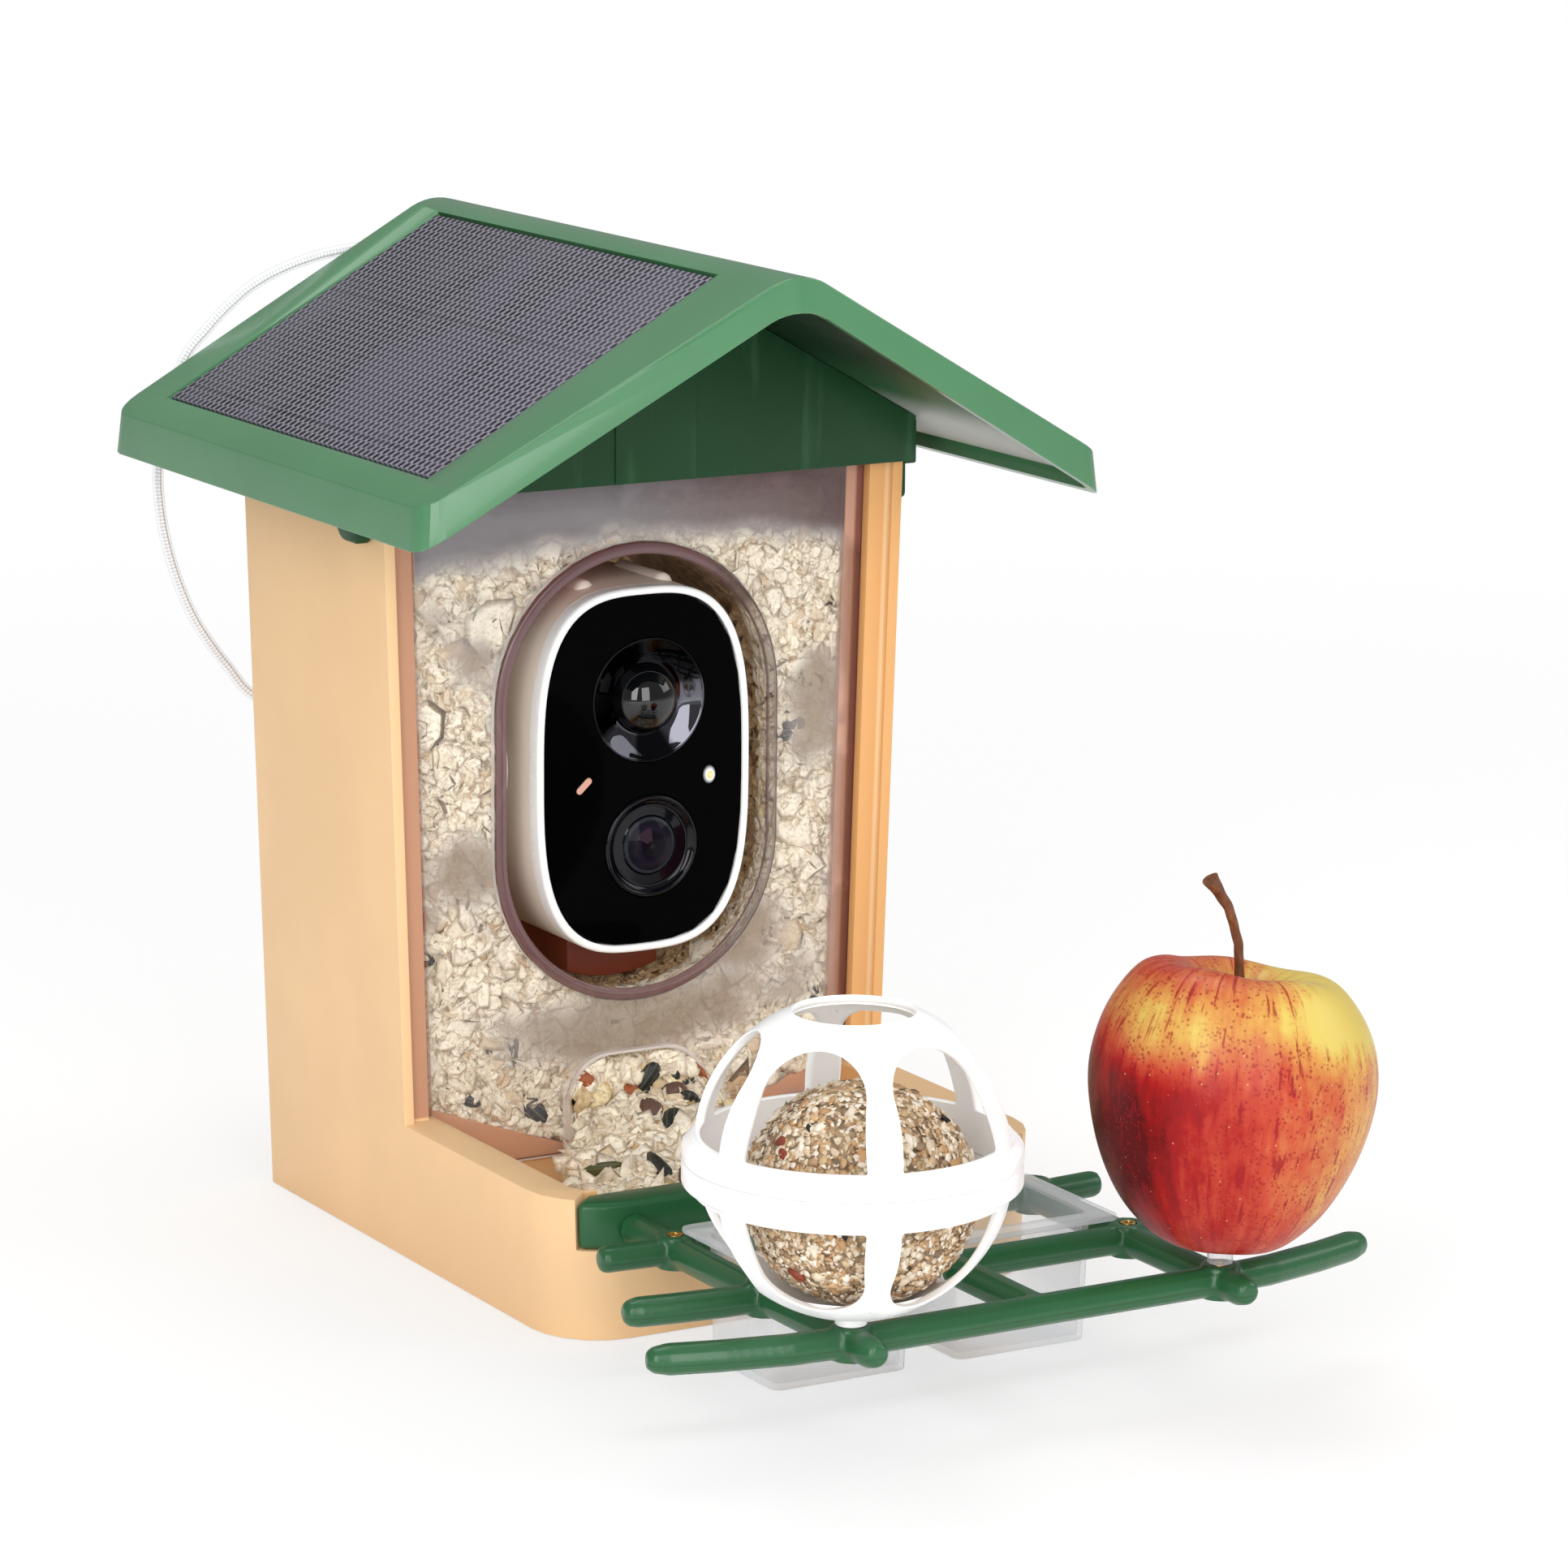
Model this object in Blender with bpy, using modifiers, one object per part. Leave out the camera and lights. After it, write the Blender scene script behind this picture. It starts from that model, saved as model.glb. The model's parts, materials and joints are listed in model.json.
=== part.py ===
"""Smart bird feeder: a seed hopper with a tray, a camera in a well behind the front window, a lift-off solar
roof, and a twig perch that carries two seed cups, a fat-ball cage and an apple spike.

Metres, +Z up. The feeder faces -Y. The origin is on the surface that it stands on, below the middle of the
front edges of the hopper's side walls, so y = 0 is the plane of those edges.
"""

import math

import bmesh
import bpy
from mathutils import Matrix, Vector

# Clearances
GAP = 0.0003
SLIDING_GAP = 0.0006
OVERRUN = 0.012

# Housing. Widths hold at DRAFT_HEIGHT, and the draft narrows everything in the housing towards the base.
HOUSING_WIDTH = 0.1697
BASE_WIDTH = 0.1562
DRAFT_DROP = 0.011
HOPPER_DEPTH = 0.0958
WALL_HEIGHT = 0.226
WALL = 0.0033
BACK_RADIUS = 0.004
TRAY_REACH = 0.097
TRAY_HEIGHT = 0.040
TRAY_RADIUS = 0.0215
TRAY_RIM = 0.0126
TRAY_INNER_RADIUS = 0.006
FLOOR_TOP = 0.022
FLOOR = 0.003
POST_WIDTH = 0.0064
POST_SETBACK = 0.0025
POST_BACK = 0.0125

# Base plate and hopper ramp
BASE_PLATE = 0.0025
BASE_FOOT_RADIUS = 0.004
RAMP_SIDE_HEIGHT = 0.020
RAMP_BACK_HEIGHT = 0.034
RAMP_BACK_REACH = 0.050
RAMP_LIP = 0.002

# Front window
WINDOW_FRONT = 0.0063
WINDOW = 0.0025
WINDOW_BITE = 0.0029
WINDOW_TOP_DROP = 0.0055
WINDOW_TOP_RADIUS = 0.003
PORT_WIDTH = 0.0452
PORT_TOP = 0.0507
PORT_RADIUS = 0.013

# Camera well, a stadium-shaped sleeve through the hopper
WELL_SIDE_ROOM = 0.0093
WELL_END_ROOM = 0.0117
WELL_DROP = 0.0010
WELL_WALL = 0.0013
WELL_DEPTH = 0.070
WELL_FLANGE = 0.0022
WELL_STAND = 0.0006
WELL_BACK = 0.002

# Camera. Its depth is measured back from the front of the bezel.
CAMERA_WIDTH = 0.070
CAMERA_HEIGHT = 0.108
CAMERA_LIFT = 0.0014
CAMERA_FRONT = 0.0020
CAMERA_DEPTH = 0.056
CAMERA_ROUNDNESS = 3.1
CAMERA_WALL = 0.0022
CAMERA_BACK_BEVEL = 0.006
BEZEL_WIDTH = 0.0022
BEZEL_DEPTH = 0.0050
BEZEL_BEVEL = 0.0009
FACE_SETBACK = 0.0008
FACE_THICKNESS = 0.0022
CAMERA_TRAVEL = 0.075
RIB_RADIUS = 0.0030
RIB_SPACING = 0.026
RIB_LENGTH = 0.030
RIB_SETBACK = 0.011
SIDE_COVER_RADIUS = 0.018
SIDE_COVER_THICKNESS = 0.0009
SIDE_COVER_SETBACK = 0.018

# Camera front details, placed from the middle of the camera
SENSOR_RISE_SHARE = 0.1907
SENSOR_SHIFT = 0.0016
SENSOR_RADIUS = 0.0184
SENSOR_DISH_DEPTH = 0.0030
DOME_RADIUS = 0.0103
DOME_RISE = 0.0058
LENS_DROP_SHARE = 0.2111
LENS_SHIFT = 0.0024
LENS_RADIUS = 0.0152
LENS_GLASS_RADIUS = 0.0084
LENS_RISE = 0.0012
LENS_BARREL_RADIUS = 0.0070
LENS_BARREL_LENGTH = 0.012
LAMP_SHIFT = 0.0220
LAMP_DROP = 0.0035
LAMP_WIDTH = 0.0042
LAMP_HEIGHT = 0.0056
STATUS_SHIFT = 0.0195
STATUS_DROP = 0.0030
STATUS_LENGTH = 0.0060
STATUS_WIDTH = 0.0020
STATUS_TILT = math.radians(42)

# Camera inner pieces
BOARD_SIDE_ROOM = 0.0080
BOARD_END_ROOM = 0.0118
BOARD = 0.0016
BOARD_CORNER = 0.004
BOARD_SETBACK = 0.0205
BATTERY_RADIUS = 0.0092
BATTERY_LENGTH = 0.066
BATTERY_PACK_WIDTH = 0.0395
SADDLE_WIDTH = 0.030
SADDLE_SETBACK = 0.020
SADDLE_LENGTH = 0.030

# Roof
ROOF_WIDTH = 0.216
ROOF_RISE = 0.0661
ROOF_PITCH = math.radians(29.4)
RIDGE_RADIUS = 0.018
EAVE_RADIUS = 0.0022
ROOF_BACK = 0.1350
ROOF_FRONT = 0.0715
ROOF_PROW = 0.0145
ROOF_CORNER = 0.008
ROOF_SKIN = 0.0034
ROOF_LIP = 0.0098
EAVE_LIP = 0.0122
ROOF_FLARE = 0.012
ROOF_LIP_WALL = 0.0030
ROOF_LINER = 0.0043
ROOF_TRAVEL = 0.120

# Solar panel on the left slope, with places along the slope measured from the ridge in plan
SOLAR_INNER = 0.0085
SOLAR_OUTER = 0.0983
SOLAR_FRONT = 0.0550
SOLAR_BACK = 0.1175
SOLAR_RECESS = 0.0018
SOLAR_PANEL = 0.0012
SOLAR_MARGIN = 0.0012
SOLAR_TAB_WIDTH = 0.006
JUNCTION_WIDTH = 0.034
JUNCTION_LENGTH = 0.050
JUNCTION_HEIGHT = 0.009
JUNCTION_PLACE = 0.045

# Gables, and the rails that hang outside the side walls
GABLE_WIDTH = 0.1745
GABLE = 0.003
GABLE_LAP = 0.0045
GABLE_PANEL_WIDTH = 0.026
GABLE_PANEL = 0.0008
RAIL = 0.0045
RAIL_LAP = 0.0060
RAIL_FLANGE = 0.0040
RAIL_FLANGE_THICKNESS = 0.0025
EAR_LAP = 0.0173
EAR_WIDTH = 0.0142
EAR_INSET = 0.0060
EAR_RADIUS = 0.0060

# Perch bar in the notch of the tray's front wall
NOTCH_WIDTH = 0.1588
NOTCH_BOTTOM = 0.0256
BAR_DEPTH = 0.0124
BAR_END_CHAMFER = 0.0085
BAR_TOP_CHAMFER = 0.0012
BAR_TOP_DROP = 0.0009
PERCH_TRAVEL = 0.030

# Twig frame
ROD_RADIUS = 0.0044
ROD_TIP = 0.0035
ROD_END = 0.0024
CROSSBAR_RADII = (0.0039, 0.0042, 0.0043)
CROSSBAR_TIP = 0.0022
CROSSBAR_SHOULDER = 0.0035
CROSSBAR_RISE = 0.0001
TWIG_HEIGHT = 0.0312
ROD_SPACING = 0.0573
FIRST_BAR = 0.1205
SECOND_BAR = 0.1696
THIRD_BAR = 0.2144
TWIG_REACHES = (0.0800, 0.0975, 0.1115)
TWIG_CURVES = (0.0015, 0.0045, 0.0110)
STUB_LENGTH = 0.0146
COLLAR_RADIUS = 0.0048
COLLAR_LENGTH = 0.006
BOSS_RADIUS = 0.0052
INSERT_RADIUS = 0.0022
INSERT_BORE = 0.0014
INSERT_LENGTH = 0.0070

# Cups between the first two crossbars
CUP_MIDDLE = -0.1440
CUP_WIDTH = 0.0440
CUP_LENGTH = 0.0376
CUP_DRAFT = 0.0010
CUP_WALL = 0.0014
CUP_BOTTOM = 0.0014
CUP_RADIUS = 0.0035
CUP_FLANGE_WIDTH = 0.0546
CUP_FLANGE_LENGTH = 0.0485
CUP_FLANGE = 0.0016
CUP_FLANGE_RADIUS = 0.0030
CUP_TRAVEL = 0.045

# Fat-ball cage
CAGE_RADIUS = 0.0420
CAGE_WALL = 0.0022
CAGE_MIDDLE = 0.0806
CAGE_BAND_RADIUS = 0.0440
CAGE_BAND_UP = 0.0075
CAGE_BAND_DOWN = 0.0084
CAGE_BAND_FLARE = 0.0032
CAGE_BAND_TAPER = 0.0034
CAGE_TOP_RADIUS = 0.0157
CAGE_SPOKES = 6
CAGE_TURN = math.radians(9.3)
CAGE_OPENING = math.radians(48.7)
CAGE_OPENING_END = math.radians(53.5)
CAGE_OPENING_ARCH = 0.0110
CAGE_POST_RADIUS = 0.0042
CAGE_STUD_RADIUS = 0.0011
CAGE_STUD_LENGTH = 0.0055
SKIRT_WALL = 0.0013
SKIRT_DEPTH = 0.0052
LUG_COUNT = 3
LUG_REACH = 0.0009
LUG_ANGLE = math.radians(12)
LUG_HEIGHT = 0.0016
LUG_START = math.radians(1)
LID_TURN = math.radians(22)
BALL_RADIUS = 0.0296
BALL_SHIFT = 0.0025

# Apple and its spike
APPLE_SHIFT = 0.0022
APPLE_LEAN = math.radians(4)
APPLE_BOTTOM = 0.0412
APPLE_HEIGHT = 0.0750
APPLE_RADIUS = 0.0384
STEM_SHIFT = 0.0020
STEM_RADIUS = 0.0013
STEM_HEIGHT = 0.0333
STEM_LEAN = 0.0102
SPIKE_BASE_RADIUS = 0.0048
SPIKE_NECK_RADIUS = 0.0035
SPIKE_BASE = 0.0012
SPIKE_RADIUS = 0.0020
SPIKE_LENGTH = 0.0200
APPLE_TRAVEL = 0.030

# Seed
SEED_DROP = 0.0210
HEAP_TOP = 0.0335
HEAP_PEAK = 0.0480
HEAP_WIDTH = 0.108
HEAP_FRONT = 0.0820

# Hanging cord, a wire loop in a clear sleeve behind the back wall
CORD_RADIUS = 0.0017
GROMMET_HOLE = 0.0036
GROMMET_FLANGE = 0.0060
GROMMET_STAND = 0.0030
CORD_EXIT_SPACING = 0.032
CORD_EXIT_HEIGHT = 0.1325
CORD_ROUTE = (
    (-0.0160, 0.1020, 0.1325),
    (-0.0185, 0.1110, 0.1322),
    (-0.0270, 0.1230, 0.1312),
    (-0.0420, 0.1335, 0.1322),
    (-0.0600, 0.1400, 0.1393),
    (-0.0686, 0.1420, 0.1494),
    (-0.0757, 0.1420, 0.1590),
    (-0.0808, 0.1420, 0.1678),
    (-0.0853, 0.1420, 0.1790),
    (-0.0884, 0.1420, 0.1901),
    (-0.0902, 0.1420, 0.2016),
    (-0.0903, 0.1420, 0.2124),
    (-0.0873, 0.1420, 0.2300),
    (-0.0807, 0.1420, 0.2452),
    (-0.0742, 0.1420, 0.2523),
    (-0.0680, 0.1420, 0.2582),
    (-0.0587, 0.1420, 0.2650),
    (-0.0463, 0.1420, 0.2703),
    (-0.0307, 0.1420, 0.2738),
    (-0.0120, 0.1420, 0.2745),
    (0.0080, 0.1420, 0.2715),
    (0.0270, 0.1420, 0.2635),
    (0.0430, 0.1420, 0.2510),
    (0.0545, 0.1420, 0.2340),
    (0.0605, 0.1420, 0.2140),
    (0.0610, 0.1420, 0.1935),
    (0.0560, 0.1415, 0.1730),
    (0.0470, 0.1390, 0.1550),
    (0.0350, 0.1320, 0.1410),
    (0.0235, 0.1215, 0.1342),
    (0.0173, 0.1110, 0.1327),
    (0.0160, 0.1020, 0.1325),
)

# Curves given as shares of the size that they shape
DISH_CURVE_SHARES = ((0.82, 0.70), (0.95, 0.15))
GLASS_CURVE_SHARES = ((0.50, 0.75), (0.85, 0.00))
RIB_END_SHARES = (0, 0.08, 0.92, 1)
TWIG_SHARES = (-1, -0.97, -0.90, -0.65, -0.32)
SPIKE_SHOULDER_SHARE = 0.7

# How finely round shapes are divided
ROUND = 24
FINE_ROUND = 32
SMALL_ROUND = 12
CORD_POINTS = 56
DOME_STEPS = 6
STEM_STEPS = 6
CORNER_STEPS = 5
RIDGE_STEPS = 8

# Worked out from the sizes above
DRAFT_HEIGHT = WALL_HEIGHT - DRAFT_DROP
WINDOW_TOP = WALL_HEIGHT - WINDOW_TOP_DROP
WELL_WIDTH = CAMERA_WIDTH + 2 * WELL_SIDE_ROOM
WELL_HEIGHT = CAMERA_HEIGHT + 2 * WELL_END_ROOM
WELL_MIDDLE = (PORT_TOP + WINDOW_TOP) / 2 - WELL_DROP
CAMERA_MIDDLE = WELL_MIDDLE + CAMERA_LIFT
SENSOR_RISE = CAMERA_HEIGHT * SENSOR_RISE_SHARE
LENS_DROP = CAMERA_HEIGHT * LENS_DROP_SHARE
BOARD_WIDTH = CAMERA_WIDTH - 2 * BOARD_SIDE_ROOM
BOARD_HEIGHT = CAMERA_HEIGHT - 2 * BOARD_END_ROOM
ROOF_APEX = WALL_HEIGHT + ROOF_RISE
GABLE_BOTTOM = WALL_HEIGHT - GABLE_LAP
RAIL_BOTTOM = WALL_HEIGHT - RAIL_LAP
EAR_BOTTOM = WALL_HEIGHT - EAR_LAP
SEED_LEVEL = WALL_HEIGHT - SEED_DROP
HALF_WIDTH = HOUSING_WIDTH / 2
POST_INNER = HALF_WIDTH - WALL - POST_WIDTH
TRAY_INNER = HALF_WIDTH - TRAY_RIM
WALL_INNER = HALF_WIDTH - WALL
BACK_INNER = HOPPER_DEPTH - WALL
NOTCH_BACK = BAR_DEPTH - TRAY_REACH
WELL_RADIUS = WELL_WIDTH / 2
ROOF_HALF = ROOF_WIDTH / 2
ROOF_SLOPE = math.tan(ROOF_PITCH)
UNDERSIDE = ROOF_SKIN + GAP + ROOF_LINER
JUNCTION_TOP = (SOLAR_INNER + SOLAR_OUTER) / 2
CAGE_JOIN = CAGE_MIDDLE
STUB_REACH = THIRD_BAR + STUB_LENGTH
CAGE_X = -ROD_SPACING
SPIKE_X = ROD_SPACING
ROD_TOP = TWIG_HEIGHT + ROD_RADIUS
BOSS_TOP = ROD_TOP + GAP
CUP_SEAT = BOSS_TOP + GAP
RIM_HEIGHT = math.sqrt(CAGE_RADIUS**2 - CAGE_TOP_RADIUS**2)

PARTS = "smart_bird_feeder"
CUTTERS = "cutters"


def clear_scene():
    for obj in list(bpy.context.scene.objects):
        bpy.data.objects.remove(obj, do_unlink=True)


def collection(name):
    made = bpy.data.collections.get(name)
    if made is None:
        made = bpy.data.collections.new(name)
        bpy.context.scene.collection.children.link(made)
    return made


def material(name, colour, roughness, metallic=0.0, transmission=0.0):
    made = bpy.data.materials.get(name)
    if made is None:
        made = bpy.data.materials.new(name)
        made.use_nodes = True
        shader = made.node_tree.nodes["Principled BSDF"]
        shader.inputs["Base Color"].default_value = (*colour, 1)
        shader.inputs["Roughness"].default_value = roughness
        shader.inputs["Metallic"].default_value = metallic
        shader.inputs["Transmission Weight"].default_value = transmission
        made.diffuse_color = (*colour, 1)
    return made


PEACH = ("peach_plastic", (0.83, 0.56, 0.28), 0.55)
GREEN = ("roof_green_plastic", (0.05, 0.19, 0.08), 0.42)
DARK_GREEN = ("dark_green_plastic", (0.02, 0.11, 0.04), 0.42)
CLEAR = ("clear_plastic", (0.86, 0.88, 0.9), 0.08, 0.0, 0.9)
SMOKE = ("smoky_plastic", (0.30, 0.20, 0.19), 0.2, 0.0, 0.5)
CREAM = ("cream_plastic", (0.80, 0.78, 0.73), 0.4)
WHITE = ("white_plastic", (0.88, 0.88, 0.88), 0.35)
BLACK = ("black_gloss", (0.004, 0.004, 0.005), 0.05)
LENS = ("lens_glass", (0.01, 0.01, 0.02), 0.03)
COPPER = ("copper_light", (0.65, 0.35, 0.25), 0.3)
LAMP = ("lamp_lens", (0.8, 0.78, 0.65), 0.15)
CELLS = ("solar_cells", (0.03, 0.03, 0.045), 0.35)
BRASS = ("brass", (0.75, 0.52, 0.22), 0.3, 1.0)
BOARD_GREEN = ("circuit_board", (0.02, 0.18, 0.08), 0.5)
BATTERY_WRAP = ("battery_wrap", (0.05, 0.16, 0.42), 0.4)
OATS = ("seed_mix", (0.70, 0.60, 0.46), 0.8)
FAT = ("fat_ball", (0.48, 0.36, 0.22), 0.8)
APPLE_SKIN = ("apple_skin", (0.60, 0.06, 0.03), 0.3)
BARK = ("stem_bark", (0.17, 0.07, 0.03), 0.8)
SLEEVE = ("cord_sleeve", (0.85, 0.85, 0.85), 0.3)
RUBBER = ("grey_rubber", (0.10, 0.10, 0.10), 0.7)


def new_object(name, mesh):
    obj = bpy.data.objects.new(name, mesh)
    collection(CUTTERS).objects.link(obj)
    obj.hide_render = True
    obj.display_type = "WIRE"
    return obj


def piece(obj, name, finish, body, smooth=False):
    """Turns a helper into a part: it gets its name and material, and hangs on its body's empty."""
    obj.name = name
    obj.data.name = name
    obj.hide_render = False
    obj.display_type = "TEXTURED"
    collection(CUTTERS).objects.unlink(obj)
    collection(PARTS).objects.link(obj)
    obj.data.materials.clear()
    obj.data.materials.append(material(*finish))
    if smooth and obj.type == "MESH":
        obj.data.shade_smooth()
        obj.data.set_sharp_from_angle(angle=math.radians(35))
    if body is not None:
        obj.parent = body
        obj.matrix_parent_inverse = Matrix.Translation(-body.location)
    return obj


def joint_empty(name, place):
    empty = bpy.data.objects.new(name, None)
    empty.location = place
    collection(PARTS).objects.link(empty)
    return empty


def bake(obj):
    """Applies the modifiers, and makes a curve a mesh with its caps welded."""
    graph = bpy.context.evaluated_depsgraph_get()
    mesh = bpy.data.meshes.new_from_object(obj.evaluated_get(graph))
    welded = bmesh.new()
    welded.from_mesh(mesh)
    bmesh.ops.remove_doubles(welded, verts=welded.verts, dist=GAP / 100)
    welded.to_mesh(mesh)
    welded.free()
    if obj.type == "MESH":
        obj.modifiers.clear()
        obj.data = mesh
        return obj
    name = obj.name
    matrix = obj.matrix_world.copy()
    bpy.data.objects.remove(obj, do_unlink=True)
    made = new_object(name, mesh)
    made.matrix_world = matrix
    return made


def boolean(obj, others, operation):
    for other in others:
        modifier = obj.modifiers.new(f"{operation.lower()} {other.name}", "BOOLEAN")
        modifier.operation = operation
        modifier.solver = "EXACT"
        modifier.object = other
    return obj


def cut(obj, *others):
    return boolean(obj, others, "DIFFERENCE")


def fuse(obj, *others):
    return boolean(obj, others, "UNION")


def common(obj, *others):
    return boolean(obj, others, "INTERSECT")


def bevel(obj, width, segments=2, angle=math.radians(40)):
    modifier = obj.modifiers.new("rounded edges", "BEVEL")
    modifier.width = width
    modifier.segments = segments
    modifier.limit_method = "ANGLE"
    modifier.angle_limit = angle
    return obj


def rounded(corners, steps=CORNER_STEPS):
    """An outline through the corners (x, y, radius), each turned by an arc that is tangent to both its sides."""
    points = []
    for index, (x, y, radius) in enumerate(corners):
        corner = Vector((x, y))
        before = (Vector(corners[index - 1][:2]) - corner).normalized()
        after = (Vector(corners[(index + 1) % len(corners)][:2]) - corner).normalized()
        half = before.angle(after) / 2
        if radius <= 0 or math.isclose(half, math.pi / 2):
            points.append((x, y))
            continue
        middle = corner + (before + after).normalized() * (radius / math.sin(half))
        start = corner + before * (radius / math.tan(half)) - middle
        sweep = start.angle_signed(corner + after * (radius / math.tan(half)) - middle)
        for step in range(steps + 1):
            turned_by = -sweep * step / steps
            cosine, sine = math.cos(turned_by), math.sin(turned_by)
            points.append(
                (
                    middle.x + cosine * start.x - sine * start.y,
                    middle.y + sine * start.x + cosine * start.y,
                )
            )
    return points


def rectangle(left, right, low, high, radius=0.0, steps=CORNER_STEPS):
    corners = ((left, low), (right, low), (right, high), (left, high))
    return rounded([(x, y, radius) for x, y in corners], steps)


def centred(width, height, middle, radius=0.0, steps=CORNER_STEPS):
    return rectangle(
        -width / 2, width / 2, middle - height / 2, middle + height / 2, radius, steps
    )


def superellipse(width, height, middle, count=ROUND, roundness=CAMERA_ROUNDNESS):
    """|x / a|^n + |y / b|^n = 1, by angle."""
    points = []
    for index in range(count):
        angle = math.tau * (index + 0.5) / count
        cosine, sine = math.cos(angle), math.sin(angle)
        size = (abs(cosine) ** roundness + abs(sine) ** roundness) ** (-1 / roundness)
        points.append((width / 2 * size * cosine, middle + height / 2 * size * sine))
    return points


PLANES = {
    "XY": Matrix.Identity(4),
    "XZ": Matrix(((1, 0, 0, 0), (0, 0, 1, 0), (0, 1, 0, 0), (0, 0, 0, 1))),
    "YZ": Matrix(((0, 0, 1, 0), (1, 0, 0, 0), (0, 1, 0, 0), (0, 0, 0, 1))),
}


def slab(name, loops, plane, start, end):
    """A flat outline in a plane, with any holes as further loops, as a solid from start to end along the third axis."""
    made = prism(name, loops[0], start, end) if len(loops) == 1 else pierced(name, loops, start, end)
    made.data.transform(PLANES[plane])
    face_outward(made.data)
    return made


def prism(name, loop, start, end):
    solid = bmesh.new()
    low = [solid.verts.new((x, y, start)) for x, y in loop]
    high = [solid.verts.new((x, y, end)) for x, y in loop]
    solid.faces.new(low)
    solid.faces.new(high)
    for index in range(len(loop)):
        after = (index + 1) % len(loop)
        solid.faces.new((low[index], low[after], high[after], high[index]))
    mesh = bpy.data.meshes.new(name)
    solid.to_mesh(mesh)
    solid.free()
    return new_object(name, mesh)


def pierced(name, loops, start, end):
    curve = bpy.data.curves.new(name, "CURVE")
    curve.dimensions = "2D"
    curve.fill_mode = "BOTH"
    curve.extrude = (end - start) / 2
    for loop in loops:
        spline = curve.splines.new("POLY")
        spline.points.add(len(loop) - 1)
        for point, (x, y) in zip(spline.points, loop):
            point.co = (x, y, 0, 1)
        spline.use_cyclic_u = True
    flat = bpy.data.objects.new(name, curve)
    collection(CUTTERS).objects.link(flat)
    bpy.context.view_layer.update()
    made = bake(flat)
    made.data.transform(Matrix.Translation((0, 0, (start + end) / 2)))
    return made


def face_outward(mesh):
    solid = bmesh.new()
    solid.from_mesh(mesh)
    bmesh.ops.recalc_face_normals(solid, faces=solid.faces)
    solid.to_mesh(mesh)
    solid.free()


def turned(name, profile, place, steps=ROUND, facing_front=False, closed=False):
    """A profile (radius, height), listed down its outer side, turned about +Z or, facing the front, about -Y."""
    mesh = bpy.data.meshes.new(name)
    points = [(radius, 0, height) for radius, height in profile]
    edges = [(index, index + 1) for index in range(len(points) - 1)]
    if closed:
        edges.append((len(points) - 1, 0))
    edges = [(start, end) for start, end in edges if points[start][0] or points[end][0]]
    mesh.from_pydata(points, edges, [])
    obj = new_object(name, mesh)
    screw = obj.modifiers.new("turned", "SCREW")
    screw.steps = steps
    screw.render_steps = steps
    screw.use_merge_vertices = True
    screw.merge_threshold = GAP / 10
    screw.use_smooth_shade = True
    obj.location = place
    if facing_front:
        obj.rotation_euler.x = math.pi / 2
    return obj


def tube(name, points, radii, resolution=3):
    curve = bpy.data.curves.new(name, "CURVE")
    curve.dimensions = "3D"
    curve.bevel_depth = max(radii)
    curve.bevel_resolution = resolution
    curve.use_fill_caps = True
    spline = curve.splines.new("POLY")
    spline.points.add(len(points) - 1)
    for point, place, radius in zip(spline.points, points, radii):
        point.co = (*place, 1)
        point.radius = radius / max(radii)
    obj = bpy.data.objects.new(name, curve)
    collection(CUTTERS).objects.link(obj)
    bpy.context.view_layer.update()
    return obj


def smooth_route(points, count):
    """Places at even steps of index along a Catmull-Rom curve through the points."""
    ends = [
        2 * Vector(points[0]) - Vector(points[1]),
        *map(Vector, points),
        2 * Vector(points[-1]) - Vector(points[-2]),
    ]
    places = []
    for index in range(count):
        along = index * (len(points) - 1) / (count - 1)
        first = min(int(along), len(points) - 2)
        t = along - first
        a, b, c, d = ends[first : first + 4]
        places.append(
            b
            + (c - a) * t / 2
            + (2 * a - 5 * b + 4 * c - d) * t**2 / 2
            + (3 * b - 3 * c + d - a) * t**3 / 2
        )
    return places


def draft_share(height):
    """The housing's width at a height, as a share of its width at DRAFT_HEIGHT."""
    return 1 - (1 - BASE_WIDTH / HOUSING_WIDTH) * (1 - height / DRAFT_HEIGHT)


def draft(obj):
    """Narrows a piece of the housing towards the base, as the mould does."""
    bake(obj)
    for vertex in obj.data.vertices:
        vertex.co.x *= draft_share(vertex.co.z)
    return obj


def tray_outline():
    back = HOPPER_DEPTH
    return rounded(
        [
            (-HALF_WIDTH, -TRAY_REACH, TRAY_RADIUS),
            (HALF_WIDTH, -TRAY_REACH, TRAY_RADIUS),
            (HALF_WIDTH, back, BACK_RADIUS),
            (-HALF_WIDTH, back, BACK_RADIUS),
        ]
    )


def notch_outline(gap):
    """The bar's seat in the tray's front wall, open to the front, with its back corners cut off at an angle."""
    half = NOTCH_WIDTH / 2 - gap
    back = NOTCH_BACK - gap
    return [
        (-half, -TRAY_REACH - OVERRUN),
        (half, -TRAY_REACH - OVERRUN),
        (half, back - BAR_END_CHAMFER),
        (half - BAR_END_CHAMFER, back),
        (-half + BAR_END_CHAMFER, back),
        (-half, back - BAR_END_CHAMFER),
    ]


def ramp_outline(lift):
    """The hopper floor seen from the front: level behind the port and rising to the side walls."""
    level = FLOOR_TOP + GAP + RAMP_LIP + lift
    high = level + RAMP_SIDE_HEIGHT
    half = WALL_INNER - GAP
    return level, [
        (-half, FLOOR_TOP + GAP),
        (half, FLOOR_TOP + GAP),
        (half, high),
        (PORT_WIDTH / 2, level),
        (-PORT_WIDTH / 2, level),
        (-half, high),
    ]


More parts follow.
